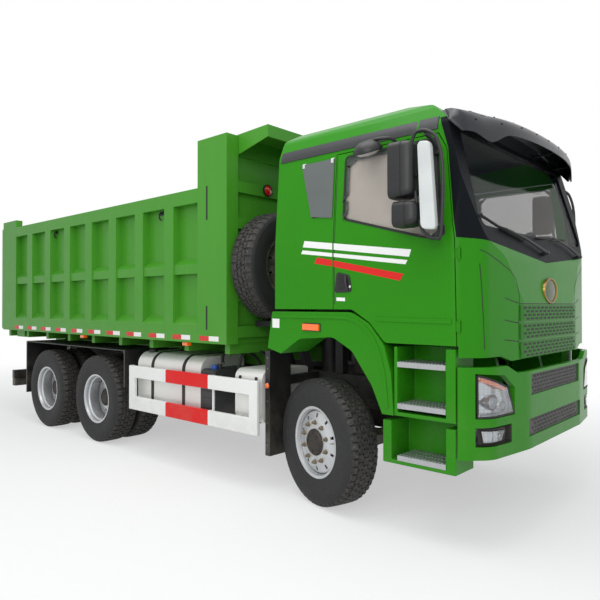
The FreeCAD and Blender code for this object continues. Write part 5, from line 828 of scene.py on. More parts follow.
class Skin:
    """The surface of some CAD nodes, to lay trim on it."""

    def __init__(self, *nodes: str) -> None:
        """Gather the nodes' faces.

        Args:
            nodes: the CAD nodes.
        """
        verts: list[Vector] = []
        faces: list[list[int]] = []
        for node in nodes:
            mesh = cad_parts[node].data
            start = len(verts)
            verts += [v.co.copy() for v in mesh.vertices]
            faces += [[start + i for i in p.vertices] for p in mesh.polygons]
        self.tree = BVHTree.FromPolygons(verts, faces)

    def hit(self, start: Vector, way: Vector) -> Hit:
        """Where a line from start first meets the surface, and the normal there that faces start.

        Args:
            start: where the line begins.
            way: which way it goes.

        Returns:
            The point and the unit normal.
        """
        spot, normal, _, _ = self.tree.ray_cast(start, way)
        if spot is None:
            spot, normal, _, _ = self.tree.find_nearest(start + way)
        return spot, normal if normal.dot(way) < 0 else -normal

    def side(self, ahead: float, up: float, side: float = RIGHT) -> Hit:
        """The point of the right or left side at a place along the truck and a height."""
        return self.hit(at(ahead, side * 2.0, up), Vector((0, -side, 0)))

    def sided(self, side: float) -> Cast:
        """The cast onto one side of the truck."""
        return partial(self.side, side=side)

    def front(self, across: float, up: float) -> Hit:
        """The point of the front at a place across the truck and a height."""
        return self.hit(at(2.6, across, up), -AHEAD)

    def back(self, across: float, up: float) -> Hit:
        """The point of the back at a place across the truck and a height."""
        return self.hit(at(-8.0, across, up), AHEAD)

    def laid(self, cast: Cast, corners: Sequence[Flat], proud: float,
             rim: Optional[float] = None, columns: int = 12, rows: int = 4,
             piece: Optional[Piece] = None) -> Piece:
        """A thin four-cornered patch laid on the surface.

        Args:
            cast: side or front, or one like them.
            corners: four flat corners in order round the patch.
            proud: how far its face stands off the surface.
            rim: how far its edge stands off, by default level where it is thin and sunk where it is thick.
            columns: parts along its first side.
            rows: parts along its second side.
            piece: the piece that it is added to.

        Returns:
            The piece.
        """
        piece = piece or Piece()
        edge = rim if rim is not None else (-0.002 if proud > 0.0018 else proud)
        a, b, c, d = (Vector(p) for p in corners)
        shares = self.shares(columns, rim is not None or proud > 0.0018)
        heights = self.shares(rows, rim is not None or proud > 0.0018)
        grid = []
        for r, t in enumerate(heights):
            line = []
            for k, u in enumerate(shares):
                flat = (a * (1 - u) + b * u) * (1 - t) + (d * (1 - u) + c * u) * t
                spot, normal = cast(flat.x, flat.y)
                on_rim = r in (0, len(heights) - 1) or k in (0, len(shares) - 1)
                line.append(spot + normal * (edge if on_rim else proud))
            grid.append(line)
        return piece.loft(grid, closed=False, caps=False)

    @staticmethod
    def shares(parts: int, stepped: bool) -> list[float]:
        """Even shares from 0 to 1, with a narrow first and last part where the edge steps."""
        even = [k / parts for k in range(parts + 1)]
        return [0.0, 0.02] + even[1:-1] + [0.98, 1.0] if stepped else even

    def line(self, cast: Cast, path: Sequence[Flat], width: float,
             proud: float = 0.0006, piece: Optional[Piece] = None, step: float = 0.03) -> Piece:
        """A ribbon along a path on the surface, as a seam or a trim strip.

        Args:
            cast: side or front, or one like them.
            path: its flat points.
            width: how wide it is.
            proud: how far its middle stands off the surface.
            piece: the piece that it is added to.
            step: the longest part of the path between two points.

        Returns:
            The piece.
        """
        piece = piece or Piece()
        flats: list[Vector] = []
        for low, high in zip(path, path[1:]):
            low, high = Vector(low), Vector(high)
            count = max(1, math.ceil((high - low).length / step))
            flats += [low.lerp(high, k / count) for k in range(count)]
        flats.append(Vector(path[-1]))
        rings = []
        for i, flat in enumerate(flats):
            spot, normal = cast(flat.x, flat.y)
            near, _ = cast(*flats[max(i - 1, 0)])
            far, _ = cast(*flats[min(i + 1, len(flats) - 1)])
            across = (far - near).cross(normal).normalized() * (width / 2)
            rings.append([spot - across, spot - across * 0.9 + normal * proud,
                          spot + across * 0.9 + normal * proud, spot + across])
        return piece.loft(rings, closed=False, caps=False)


# Wheels

class Tread(Enum):
    """The two tread patterns."""

    HEXAGON = "hexagon"
    ZIGZAG = "zigzag"


@dataclass
class Tyre:
    """A radial truck tyre about its own Z axis, which points out of the truck."""

    radius: float = 0.538
    seat: float = 0.287
    bead: float = 0.006
    tread_half: float = 0.121
    groove: float = 0.013
    gap: float = 0.0045
    wall: Sequence[Flat] = (
        (0.287, 0.108), (0.295, 0.122), (0.306, 0.130), (0.318, 0.1345), (0.326, 0.1335), (0.345, 0.1395),
        (0.385, 0.1475), (0.425, 0.150), (0.455, 0.1485), (0.472, 0.1455), (0.475, 0.1475), (0.492, 0.1425),
        (0.508, 0.1335))
    zigzag: Sequence[Flat] = (
        (-0.028, -0.020), (-0.020, -0.024), (0.004, -0.013), (0.026, -0.022), (0.030, -0.016),
                              (0.028, 0.020),
        (0.020, 0.024), (-0.004, 0.013), (-0.026, 0.022), (-0.030, 0.016))
    lug: Sequence[Spot] = ((1.06, 0.080, 0.011), (1.0, 0.078, 0.003), (0.9, 0.082, 0.0))
    lug_edge: float = 0.113
    lug_wall: Sequence[Flat] = ((0.531, 0.122), (0.517, 0.131), (0.497, 0.138))
    count: int = 52
    kind: Tread = Tread.HEXAGON

    def carcass(self, piece: Piece, offset: float) -> None:
        """Add the side walls and the tread's ground.

        Args:
            piece: the piece that it goes in.
            offset: where the tyre's middle lies along the axle.
        """
        low = self.radius - self.groove
        half = [*self.wall, (low - 0.003, self.tread_half + 0.002), (low, self.tread_half - 0.014),
                (low + 0.001, 0.05)]
        profile = [(r, offset + h) for r, h in half] + [(r, offset - h) for r, h in reversed(half)]
        inner = [(self.seat - self.bead, offset + h) for h in (-0.1, 0.1)]
        piece.lathe(profile + inner, steps=104, closed=True)

    def on_tread(self, run: float, across: float, depth: float, offset: float) -> Vector:
        """A point of the tread.

        Args:
            run: how far round it is, in metres along the tread.
            across: how far out from the tyre's middle.
            depth: how far below the crown.
            offset: the middle of the tyre along the axle.

        Returns:
            The point.
        """
        crown = self.radius - depth - 0.004 * (across / self.tread_half) ** 4
        return polar(crown, run / self.radius, offset + across)

    def block(self, piece: Piece, outline: Sequence[Flat], middle: Flat, offset: float) -> None:
        """Add one tread block with tapered sides and a chamfered face."""
        rings = []
        for share, depth in ((1.06, self.groove + 0.001), (1.0, 0.002), (0.93, 0.0)):
            rings.append([self.on_tread(middle[0] + p[0] * share, middle[1] + p[1] * share, depth, offset)
                          for p in outline])
        piece.loft(rings)

    def shoulder(self, piece: Piece, run: float, side: float, length: float, offset: float) -> None:
        """Add one shoulder lug that runs down onto the side wall."""
        rings = []
        for share, start, lower in self.lug:
            lines = []
            for end in (-1, 1):
                reach = run + end * length / 2 * share
                line = [self.on_tread(reach, side * across, lower, offset) for across in (start,
                                                                                          self.lug_edge)]
                for radius, wide in self.lug_wall:
                    line.append(polar(radius - lower * 0.4, reach / self.radius,
                                      offset + side * (wide - lower)))
                lines.append(line)
            rings.append(lines[0] + list(reversed(lines[1])))
        piece.loft(rings)

    def mesh(self, piece: Piece, offset: float = 0.0) -> None:
        """Add the whole tyre to a piece.

        Args:
            piece: the piece.
            offset: the middle of the tyre along the axle.
        """
        self.carcass(piece, offset)
        pitch = 2 * math.pi * self.radius / self.count
        if self.kind is Tread.HEXAGON:
            across = pitch / math.sqrt(3)
            outline = [(math.sin(a) * (across - self.gap), math.cos(a) * (across - self.gap) * 0.93)
                       for a in turns(6, 1.5)]
            columns = ((-0.049, 0.5), (0.0, 0.0), (0.049, 0.5))
            lug = pitch * 0.84
        else:
            outline = self.zigzag
            columns = ((-0.053, 0.35), (0.0, 0.0), (0.053, 0.65))
            lug = pitch * 0.72
        for index in range(self.count):
            for across, shift in columns:
                self.block(piece, outline, ((index + shift) * pitch, across), offset)
            for side in (-1.0, 1.0):
                self.shoulder(piece,
                              (index + (0.0 if self.kind is Tread.HEXAGON else 0.5 + side * 0.15)) * pitch,
                              side, lug, offset)


@dataclass
class Rim:
    """A steel disc wheel with its hub, about its own Z axis, which points out of the truck."""

    radius: float = 0.302
    half: float = 0.128
    holes: int = 10
    hole_circle: float = 0.226
    nuts: int = 10
    nut_circle: float = 0.1675
    sheet: float = 0.014
    section: Sequence[Flat] = (
        (0.284, 0.100), (0.286, 0.116), (0.295, 0.122), (0.302, 0.120), (0.3055, 0.124), (0.303, 0.1295),
        (0.294, 0.130), (0.281, 0.125), (0.276, 0.112), (0.272, 0.085), (0.258, 0.070), (0.252, 0.020),
        (0.262, -0.02), (0.270, -0.085), (0.276, -0.112), (0.281, -0.125), (0.294, -0.130), (0.303, -0.1295),
        (0.3055, -0.124), (0.302, -0.120), (0.295, -0.122), (0.286, -0.116), (0.284, -0.100), (0.272, -0.03),
        (0.262, 0.02), (0.266, 0.065))
    front_disc: Sequence[Flat] = ((0.266, 0.084), (0.258, 0.094), (0.244, 0.099), (0.209, 0.108),
                                  (0.190, 0.119), (0.182, 0.1225), (0.108, 0.1225))
    front_hub: Sequence[Flat] = ((0.113, 0.100), (0.113, 0.130), (0.104, 0.136), (0.098, 0.147),
                                 (0.086, 0.1505), (0.070, 0.1515), (0.066, 0.146), (0.02, 0.146),
                                 (0.0, 0.146))
    front_drum: Sequence[Flat] = ((0.208, -0.12), (0.212, -0.115), (0.212, 0.055), (0.205, 0.070),
                                  (0.11, 0.080), (0.05, 0.080), (0.05, -0.12))
    dual_disc: Sequence[Flat] = ((0.256, 0.118), (0.250, 0.092), (0.240, 0.070), (0.212, 0.034),
                                 (0.188, 0.018), (0.178, 0.016), (0.112, 0.016))
    dual_hub: Sequence[Flat] = ((0.112, -0.02), (0.112, 0.045), (0.100, 0.060), (0.096, 0.150),
                                (0.104, 0.156), (0.104, 0.172), (0.094, 0.178), (0.060, 0.180),
                                (0.052, 0.188), (0.0, 0.188))
    dual_drum: Sequence[Flat] = ((0.208, -0.285), (0.212, -0.28), (0.212, -0.14), (0.2, -0.12), (0.1, -0.11),
                                 (0.09, -0.285))
    valve: Sequence[Spot] = ((0.235, 0.03, 0.085), (0.232, 0.03, 0.118), (0.226, 0.03, 0.132))

    def barrel(self, piece: Piece, offset: float, way: float) -> None:
        """Add the rolled barrel with its two flanges.

        Args:
            piece: the piece.
            offset: the rim's middle along the axle.
            way: 1 where the deep side faces out, -1 where it faces in.
        """
        piece.lathe([(r, offset + way * h) for r, h in self.section], steps=72, closed=True)

    def disc(self, piece: Piece, line: Sequence[Flat], thick: float) -> None:
        """Add the pressed disc, with its hand holes cut through.

        Args:
            piece: the piece.
            line: its outer face as (radius, height).
            thick: how thick it is.
        """
        profile = list(line) + [(r, h - thick) for r, h in reversed(line)]
        steps, count, last = self.holes * 12, len(profile), 2 * len(line) - 1
        verts = [[piece.bm.verts.new(polar(r, a, h)) for r, h in profile] for a in turns(steps)]
        cut = next(k for k in range(len(line) - 1) if line[k + 1][0] < self.hole_circle < line[k][0])
        for i in range(steps):
            low, high = verts[i], verts[(i + 1) % steps]
            for k in range(count):
                if i % 12 in (5, 6) and k in (cut, last - 1 - cut):
                    continue
                j = (k + 1) % count
                piece.bm.faces.new((low[k], low[j], high[j], high[k]))
        for hole in range(self.holes):
            first, middle, end = (verts[hole * 12 + i] for i in (5, 6, 7))
            for a in (first, end):
                piece.bm.faces.new((a[cut], a[cut + 1], a[last - cut - 1], a[last - cut]))
            for a, b in ((first, middle), (middle, end)):
                for k in (cut, cut + 1):
                    piece.bm.faces.new((a[k], b[k], b[last - k], a[last - k]))

    def ring_of_nuts(self, piece: Piece, height: float) -> None:
        """Add the wheel nuts and their studs on the bolt circle."""
        for turn in turns(self.nuts, 0.5):
            spot = polar(self.nut_circle, turn, height)
            piece.bolt(spot, UP, 0.0155, 0.022)
            piece.tube([spot, spot + UP * 0.036], 0.009, 10)

    def front(self) -> dict[str, Piece]:
        """The steered wheel's rim, hub and nuts as pieces by name."""
        rim, hub, nuts = Piece(), Piece(), Piece()
        self.barrel(rim, 0.0, -1.0)
        self.disc(rim, self.front_disc, self.sheet)
        hub.lathe(self.front_hub, steps=48)
        hub.lathe(self.front_drum, steps=64, closed=True)
        for turn in turns(8):
            hub.bolt(polar(0.078, turn, 0.150), UP, 0.006, 0.005)
        self.ring_of_nuts(nuts, 0.1225)
        nuts.tube(self.valve, 0.004, 8)
        return {"rim": rim, "hub": hub, "nuts": nuts}

    def dual(self, spacing: float) -> dict[str, Piece]:
        """The twin wheels' rims, hub and nuts as pieces by name.

        Args:
            spacing: how far apart the two tyres' middles are.
        """
        rim, dish, hub, nuts = Piece(), Piece(), Piece(), Piece()
        half = spacing / 2
        self.barrel(rim, half, 1.0)
        self.barrel(rim, -half, -1.0)
        self.disc(dish, self.dual_disc, self.sheet)
        inner = [(r, -h) for r, h in self.dual_disc] + [(r, self.sheet - h) for r,
                                                        h in reversed(self.dual_disc)]
        dish.lathe(inner, steps=60, closed=True)
        hub.lathe(self.dual_hub, steps=48)
        hub.lathe(self.dual_drum, steps=64, closed=True)
        for turn in turns(12):
            hub.bolt(polar(0.082, turn, 0.178), UP, 0.007, 0.006)
        self.ring_of_nuts(nuts, 0.016)
        return {"rim": rim, "dish": dish, "hub": hub, "nuts": nuts}


@dataclass
class Wheels:
    """All road wheels and the spare."""

    tyre: Tyre = field(default_factory=Tyre)
    road: Tyre = field(default_factory=lambda: Tyre(count=44, kind=Tread.ZIGZAG))
    rim: Rim = field(default_factory=Rim)
    spacing: float = 0.34
    steer: float = math.radians(-15.0)
    dress: dict[str, Finishes] = field(default_factory=lambda: {
        "rim": Finishes.SILVER, "dish": Finishes.SILVER, "hub": Finishes.CAST, "nuts": Finishes.NUT})
    kit: dict[str, bpy.types.Mesh] = field(default_factory=dict)

    def stand(self, node: str, way: Vector) -> Matrix:
        """A wheel's place: its middle from its CAD node and its Z axis along way."""
        low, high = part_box(node)
        return aimed((low + high) / 2, way)

    def put(self, part: str, piece: Piece, name: str, finish: Finishes, body: str, where: Matrix,
            node: str = "") -> None:
        """Place a part of a wheel, whose mesh is made the first time and shared afterwards.

        Args:
            part: the mesh's name.
            piece: its surfaces.
            name: the piece's name.
            finish: its finish.
            body: the body that it rides on.
            where: its place.
            node: the CAD node that it stands for.
        """
        if part not in self.kit:
            self.kit[part] = bpy.data.meshes.new(part)
            bmesh.ops.recalc_face_normals(piece.bm, faces=piece.bm.faces)
            piece.bm.to_mesh(self.kit[part])
        place_mesh(self.kit[part], name, finish, body, PLAIN, (node,) if node else (), where)

    def wheel(self, kind: str, tyre: Piece, parts: dict[str, Piece], words: str, where: Matrix) -> None:
        """Place one wheel that turns, or one twin pair.

        Args:
            kind: front or twin.
            tyre: the tyre's surfaces.
            parts: the rim's parts by name.
            words: its axle and side, as its body's name has them.
            where: its place.
        """
        plural = "s" if kind == "twin" else ""
        body = f"wheel{plural}_{words}"
        names = {"front": "front_{0}_" + words.removeprefix("front_"), "twin": "twin_{0}_" + words}[kind]
        self.put(f"{kind}_tyre{plural}", tyre, names.format("tyre" + plural), Finishes.RUBBER, body, where,
                 f"tyre{plural}_{words}")
        for part, piece in parts.items():
            self.put(f"{kind}_{part}", piece, names.format(part), self.dress[part], body, where,
                     f"rim{plural}_{words}" if part == "rim" else "")

    def build(self) -> None:
        """Build every wheel."""
        single, twin, spare = Piece(), Piece(), Piece()
        self.tyre.mesh(single)
        self.road.mesh(twin, self.spacing / 2)
        self.road.mesh(twin, -self.spacing / 2)
        self.road.mesh(spare)
        front, dual, flat = self.rim.front(), self.rim.dual(self.spacing), self.rim.front()
        for side, word in both():
            way = Vector((-math.sin(self.steer), math.cos(self.steer), 0)) * side
            self.wheel("front", single, front, "front_" + word, self.stand("tyre_front_" + word, way))
            for axle in ("mid", "rear"):
                where = self.stand(f"tyres_{axle}_{word}", Vector((0, side, 0)))
                self.wheel("twin", twin, dual, f"{axle}_{word}", where)
        where = self.stand("spare_tyre", AHEAD)
        self.put("spare", spare, "spare_tyre_tread", Finishes.RUBBER, "chassis", where, "spare_tyre")
        self.put("spare_rim_dressed", flat["rim"], "spare_rim_dressed", Finishes.FRAME, "chassis", where,
                 "spare_rim")
        for piece in (single, twin, spare, *front.values(), *dual.values(), *flat.values()):
            piece.bm.free()


# What the CAD nodes are made of

@dataclass
class Dressing:
    """Finishes for the CAD nodes that stay, and softened edges on the plain steel ones."""

    nodes: dict[Finishes, str] = field(default_factory=lambda: {
        Finishes.FRAME: "frame_rails front_axle rear_axles air_tanks hydraulic_tank spare_carrier "
                        "underride_bar hoist_barrel",
        Finishes.CAB: "front_bumper step_boxes front_fenders cab_shell door_right door_left",
        Finishes.BED: "bed_floor bed_sides bed_front tailgate",
        Finishes.BLACK: "mudguards tail_lamps mirror_right mirror_left",
        Finishes.CAST: "engine_and_gearbox knuckle_right knuckle_left",
        Finishes.CHROME: "hoist_stage_1 hoist_stage_2 hoist_stage_3",
        Finishes.TANK: "fuel_tank battery_box",
        Finishes.SIDE_GLASS: "door_right_glass door_left_glass",
        Finishes.LAMP_CLEAR: "front_lamps",
        Finishes.INTAKE: "bumper_grilles",
        Finishes.TREAD_PLATE: "step_treads",
        Finishes.DARK: "urea_tank",
        Finishes.GUARD: "side_guards",
        Finishes.STEEL: "exhaust_box",
        Finishes.PIANO: "windscreen_surround",
        Finishes.SCREEN_GLASS: "cab_glass",
        Finishes.GRILLE: "front_grille",
        Finishes.VISOR: "sun_visor",
        Finishes.SEAT: "cab_seats",
        Finishes.TRIMMED: "dashboard"})
    soft: dict[str, float] = field(default_factory=lambda: {
        "bed_sides": 0.006, "bed_floor": 0.005, "bed_front": 0.005, "tailgate": 0.006, "side_guards": 0.008,
        "frame_rails": 0.005, "step_boxes": 0.006, "underride_bar": 0.008, "hydraulic_tank": 0.004,
        "spare_carrier": 0.004})

    def build(self) -> None:
        """Dress every node."""
        for finish, nodes in self.nodes.items():
            for node in nodes.split():
                finish.put(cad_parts[node])
        for node, width in self.soft.items():
            self.soften(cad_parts[node], width)

    def soften(self, item: bpy.types.Object, width: float) -> None:
        """Round an object's sharp edges with modifiers, its own mesh untouched."""
        weld = item.modifiers.new("join", "WELD")
        weld.merge_threshold = 0.0002
        plain = item.modifiers.new("flats", "DECIMATE")
        plain.decimate_type, plain.angle_limit = "DISSOLVE", math.radians(0.5)
        edge = item.modifiers.new("edges", "BEVEL")
        edge.width, edge.segments, edge.limit_method, edge.angle_limit = width, 2, "ANGLE", math.radians(25)
        edge.harden_normals = False
        shade = item.modifiers.new("shade", "WEIGHTED_NORMAL")
        shade.keep_sharp, shade.weight = False, 80


# Cab

@dataclass
class Band:
    """One slanted colour band on the cab's side, given by its upper edge."""

    name: str
    finish: Finishes
    rear: Flat
    front: Flat
    height: float
    lean: float = 0.018

    def top(self, ahead: float) -> float:
        """The height of its upper edge at a place along the truck."""
        share = (ahead - self.rear[0]) / (self.front[0] - self.rear[0])
        return self.rear[1] + (self.front[1] - self.rear[1]) * share

    def corners(self, low: float, high: float) -> list[Flat]:
        """Its four corners between two places, slanted only at its own ends."""
        back = self.lean if low <= self.rear[0] else 0.0
        fore = self.lean if high >= self.front[0] else 0.0
        return [(low, self.top(low)), (high, self.top(high)), (high - fore, self.top(high) - self.height),
                (low - back, self.top(low) - self.height)]


@dataclass
class CabSide:
    """Trim on the cab's sides: colour bands, handles, drip bands, window rubbers and quarter panels."""

    seam: float = 0.222
    seam_half: float = 0.007
    bands: tuple[Band, ...] = (
        Band("upper_band", Finishes.WHITE, (-0.085, 2.245), (0.945, 2.108), 0.052),
        Band("middle_band", Finishes.WHITE, (-0.105, 2.168), (0.915, 2.033), 0.030),
        Band("red_band", Finishes.RED, (0.055, 2.100), (0.880, 1.934), 0.050, 0.030))
    drip: Sequence[Flat] = rectangle(-0.418, 2.955, 0.965, 3.050)
    drip_cap: Sequence[Flat] = rectangle(0.975, 2.955, 1.135, 3.050)
    window: Sequence[Flat] = ((0.319, 2.392), (0.319, 2.891), (1.125, 2.891), (1.197, 2.185), (1.066, 2.185))
    quarter: Sequence[Flat] = ((-0.150, 2.900), (0.205, 2.900), (0.205, 2.412), (-0.020, 2.440))
    clips: Sequence[Flat] = ((-0.125, 2.885), (0.185, 2.885), (0.185, 2.432), (-0.004, 2.455))
    handle: Sequence[Flat] = ((0.262, 1.972), (0.392, 1.943), (0.412, 1.809), (0.238, 1.804))
    hollow: Sequence[Flat] = ((0.285, 1.950), (0.352, 1.935), (0.352, 1.826), (0.272, 1.824))
    lock: Flat = (0.395, 1.850)
    label: Sequence[Flat] = ((0.258, 1.768), (0.345, 1.764), (0.345, 1.736), (0.258, 1.740))
    rear_rubber: Sequence[Flat] = ((0.236, 1.712), (0.236, 2.905))
    crease: Sequence[Flat] = ((0.640, 1.602), (0.847, 1.597), (1.261, 1.592))

    def band(self, band: Band, side: float, word: str, shell: Skin, door: Skin) -> None:
        """Lay one band in two parts, so that the door takes its own part along."""
        parts = (("rear", shell, "cab", min(band.rear[0], self.seam), self.seam - self.seam_half),
                 ("front", door, word + "_door", self.seam + self.seam_half, band.front[0]))
        for end, skin, body, low, high in parts:
            piece = skin.laid(skin.sided(side), band.corners(low, high), 0.0008, columns=16)
            piece.object(f"{band.name}_{end}_{word}", band.finish, body)

    def grip(self, side: float, word: str, door: Skin) -> None:
        """The door's handle: a dark recess plate with a darker patch of painted shade for its hollow, the
        paddle, its lock and a bare label plate.
        """
        spot, _ = door.side(0.325, 1.885, side)
        out = spot.y + side * 0.003
        body = word + "_door"

        def slab(flats: Sequence[Flat], corner: float, low: float, high: float, bevel: float = 0.0) -> Piece:
            """A rounded plate over the door's face."""
            outline = rounded([(AXLE_X + ahead, up) for ahead, up in flats], corner)
            return Piece().prism(outline, out + side * low, out + side * high, bevel)

        slab(self.handle, 0.03, -0.02, 0.004, 0.003).object("handle_plate_" + word, Finishes.BLACK, body)
        # Painted shade: the hollow is a flat, darker plate where the grip's recess would shade
        slab(self.hollow, 0.02, 0.002, 0.0046).object("handle_hollow_" + word, Finishes.TRIM, body)
        rings = []
        for k in range(9):
            t = k / 8
            middle = at(0.372 - 0.020 * t, out + side * 0.004, 1.822 + 0.116 * t)
            deep = 0.010 + 0.012 * math.sin(math.pi * t)
            rings.append([middle + Vector((0.013 * math.cos(a), side * deep * max(math.sin(a), -0.2), 0))
                          for a in turns(12)])
        Piece().loft(rings).object("handle_paddle_" + word, Finishes.BLACK, body, ROUND)
        ahead, up = self.lock
        where = aimed(at(ahead, out, up), Vector((0, side, 0)))
        lock = Piece().lathe([(0.011, -0.004), (0.011, 0.006), (0.009, 0.008), (0.0, 0.008)], where, 20)
        lock.object("door_lock_" + word, Finishes.CHROME, body, ROUND)
        door.laid(door.sided(side), self.label, 0.0016, columns=4, rows=2).object(
            "bare_label_" + word, Finishes.WHITE, body)

    def build(self) -> None:
        """Build both sides."""
        for side, word in both():
            shell, door = Skin("cab_shell"), Skin("door_" + word)
            for band in self.bands:
                self.band(band, side, word, shell, door)
            self.grip(side, word, door)
            on_shell, on_door, body = shell.sided(side), door.sided(side), word + "_door"
            shell.laid(on_shell, self.drip, 0.007, columns=30).object(
                "drip_band_" + word, Finishes.DRIP, "cab")
            shell.laid(on_shell, self.drip_cap, 0.008, columns=6).object(
                "drip_cap_" + word, Finishes.DARK, "cab")
            rubber = rounded(self.window, (0.05, 0.04, 0.05, 0.05, 0.09), 6)
            for name, path, width, proud, finish in (
                    ("window_rubber_", rubber + rubber[:1], 0.020, 0.0035, Finishes.TRIM),
                    ("door_crease_", self.crease, 0.034, 0.006, Finishes.CAB),
                    ("door_rear_rubber_", self.rear_rubber, 0.006, 0.0006, Finishes.TRIM)):
                door.line(on_door, path, width, proud).object(name + word, finish, body)
            film = Piece()
            a, b, c, d = (spot + normal * 0.004 for spot, normal in (on_shell(*p) for p in self.quarter))
            for lift in (0.0, 0.004):
                out = Vector((0, side * lift, 0))
                film.loft([[a.lerp(b, k / 8) + out for k in range(9)],
                           [d.lerp(c, k / 8) + out for k in range(9)]],
                          closed=False, caps=False)
            film.object("quarter_panel_" + word, Finishes.FILM, "cab")
            tabs = Piece()
            for ahead, up in self.clips:
                spot, _ = on_shell(ahead, up)
                tabs.box(spot, (-0.017, -0.004, -0.024), (0.017, 0.004, 0.024), 0.002)
                tabs.box(spot, (-0.012, side * 0.002, -0.018), (0.012, side * 0.014, 0.018), 0.003)
            tabs.object("quarter_clips_" + word, Finishes.PALE, "cab")


@dataclass
class CabFront:
    """Trim on the front: slots in the grille and the intakes as patches of painted shade, panel seams, the
    bare oval and the wipers.
    """

    hood: Sequence[Flat] = ((-1.119, 2.087), (-0.907, 2.011), (-0.762, 1.953), (-0.680, 1.890),
                            (-0.640, 1.766), (-0.652, 1.60), (-0.652, 1.413), (-0.62, 1.312))
    corner: Sequence[Flat] = ((-1.119, 1.990), (-1.105, 1.80), (-1.095, 1.60), (-1.086, 1.398))
    ticks: Sequence[Sequence[Flat]] = (((-0.655, 1.722), (-0.70, 1.728), (-0.840, 1.758)),
                                       ((-0.655, 1.576), (-0.70, 1.580), (-0.845, 1.600)),
                                       ((-0.655, 1.440), (-0.70, 1.443), (-0.850, 1.458)))
    panels: Sequence[tuple[float, float, int]] = ((1.318, 1.427, 4), (1.455, 1.563, 4), (1.591, 1.700, 4))
    intakes: Sequence[tuple[float, float, int]] = ((1.048, 1.187, 5), (0.748, 0.862, 4))
    stagger: float = 0.2
    lip: float = 0.0022
    grille_half: float = 0.625
    intake_half: float = 0.545
    oval: Spot = (0.0, 1.822, 0.016)
    oval_half: Flat = (0.150, 0.105)
    wipers: Sequence[Sequence[Flat]] = (((-0.005, 2.127), (-0.42, 2.215), (-0.80, 2.262)),
                                        ((0.882, 2.149), (0.62, 2.225), (0.30, 2.272)))
    blades: Sequence[Sequence[Flat]] = (((-0.40, 2.200), (-0.80, 2.268), (-1.10, 2.330)),
                                        ((0.66, 2.292), (0.30, 2.278), (-0.10, 2.250)))

    def seams(self, skin: Skin) -> None:
        """Lay the dark panel seams, mirrored to both sides."""
        seams = Piece()
        for side, _ in both():
            for path in (self.hood, self.corner, *self.ticks):
                flats = [(-side * across, up) for across, up in path]
                skin.line(skin.front, flats, 0.007, 0.0007, seams)
        skin.line(skin.front, [(-0.640, 1.716), (0.0, 1.716), (0.640, 1.716)], 0.006, 0.0007, seams)
        seams.object("hood_seams", Finishes.TRIM, "cab")

    def badge(self, skin: Skin) -> None:
        """The bare oval: a satin rim round a plain domed plate."""
        across, up, proud = self.oval
        spot, _ = skin.front(across, up)
        wide, tall = self.oval_half
        turn = forward(spot) @ Matrix.Diagonal((tall, wide, 1.0, 1.0))
        rim = [(1.0, -0.01), (1.0, proud * 0.6), (0.97, proud), (0.90, proud), (0.865, proud * 0.5)]
        plate = [(0.87, proud * 0.45), (0.6, proud * 0.75), (0.3, proud * 0.9), (0.0, proud * 0.95)]
        Piece().lathe(rim, turn, 64).object("oval_rim", Finishes.SATIN, "cab", BOWED)
        Piece().lathe(plate, turn, 64).object("oval_plate", Finishes.BADGE, "cab", ROUND)

    def wiper(self, number: int, skin: Skin) -> None:
        """One wiper: its post, arm and blade along the glass."""
        def spots(path: Sequence[Flat], proud: float, parts: int = 8) -> list[Vector]:
            """Points over a path on the glass, held off it."""
            out = []
            for low, high in zip(path, path[1:]):
                for k in range(parts):
                    flat = Vector(low).lerp(Vector(high), k / parts)
                    spot, normal = skin.front(flat.x, flat.y)
                    out.append(spot + normal * proud)
            spot, normal = skin.front(*path[-1])
            return out + [spot + normal * proud]
        arm = spots(self.wipers[number], 0.030)
        piece = Piece()
        piece.tube(arm, [0.013 - 0.007 * k / (len(arm) - 1) for k in range(len(arm))], 10)
        spot, normal = skin.front(*self.wipers[number][0])
        piece.tube([spot - normal * 0.01, spot + normal * 0.045], [0.018, 0.015], 14)
        piece.object(f"wiper_arm_{number + 1}", Finishes.BLACK, "cab", BOWED)
        rubber, back = spots(self.blades[number], 0.006), spots(self.blades[number], 0.018)
        blade = Piece().tube(back, 0.0075, 6)
        blade.tube(rubber, 0.004, 6)
        for k in range(2, len(back) - 1, 4):
            blade.tube([rubber[k], back[k]], 0.005, 6)
        blade.object(f"wiper_blade_{number + 1}", Finishes.TRIM, "cab", BOWED)

    def slots(self, node: str, name: str, body: str, panels: Sequence[tuple[float, float, int]], half: float,
              columns: int) -> None:
        """Lay rows of slots on some panels: each a flat dark patch, painted shade where an opening would be,
        inside a raised lip.

        Args:
            node: the CAD node that they are in.
            name: the piece's name.
            body: the body that it rides on.
            panels: each panel's lower edge, upper edge and number of rows.
            half: half the panels' width.
            columns: how many slots there are across.
        """
        skin, dark, lips = Skin(node), Piece(), Piece()
        pitch = 2 * half / columns
        for low, high, rows in panels:
            for row in range(rows):
                up = low + (high - low) * (row + 0.5) / rows
                shift = self.stagger if row % 2 else -self.stagger
                for k in range(columns):
                    across = -half + (k + 0.5 + shift) * pitch
                    wide, tall = pitch * 0.31, (high - low) / rows * 0.27
                    if abs(across) + wide > half:
                        continue
                    for piece, grow, proud in ((lips, self.lip, 0.0012), (dark, 0.0, 0.0018)):
                        slot = rectangle(across - wide - grow, up - tall - grow,
                                         across + wide + grow, up + tall + grow)
                        ring = [skin.front(*flat) for flat in rounded(slot, tall, 3)]
                        piece.loft([[spot + normal * -0.001 for spot, normal in ring],
                                    [spot + normal * proud for spot, normal in ring]])
        # Painted shade: the dark patches stand for the openings, which are not cut
        dark.object(name, Finishes.TRIM, body, PLAIN)
        lips.object(name + "_lips", Finishes.GRILLE if body == "cab" else Finishes.BLACK, body, PLAIN)

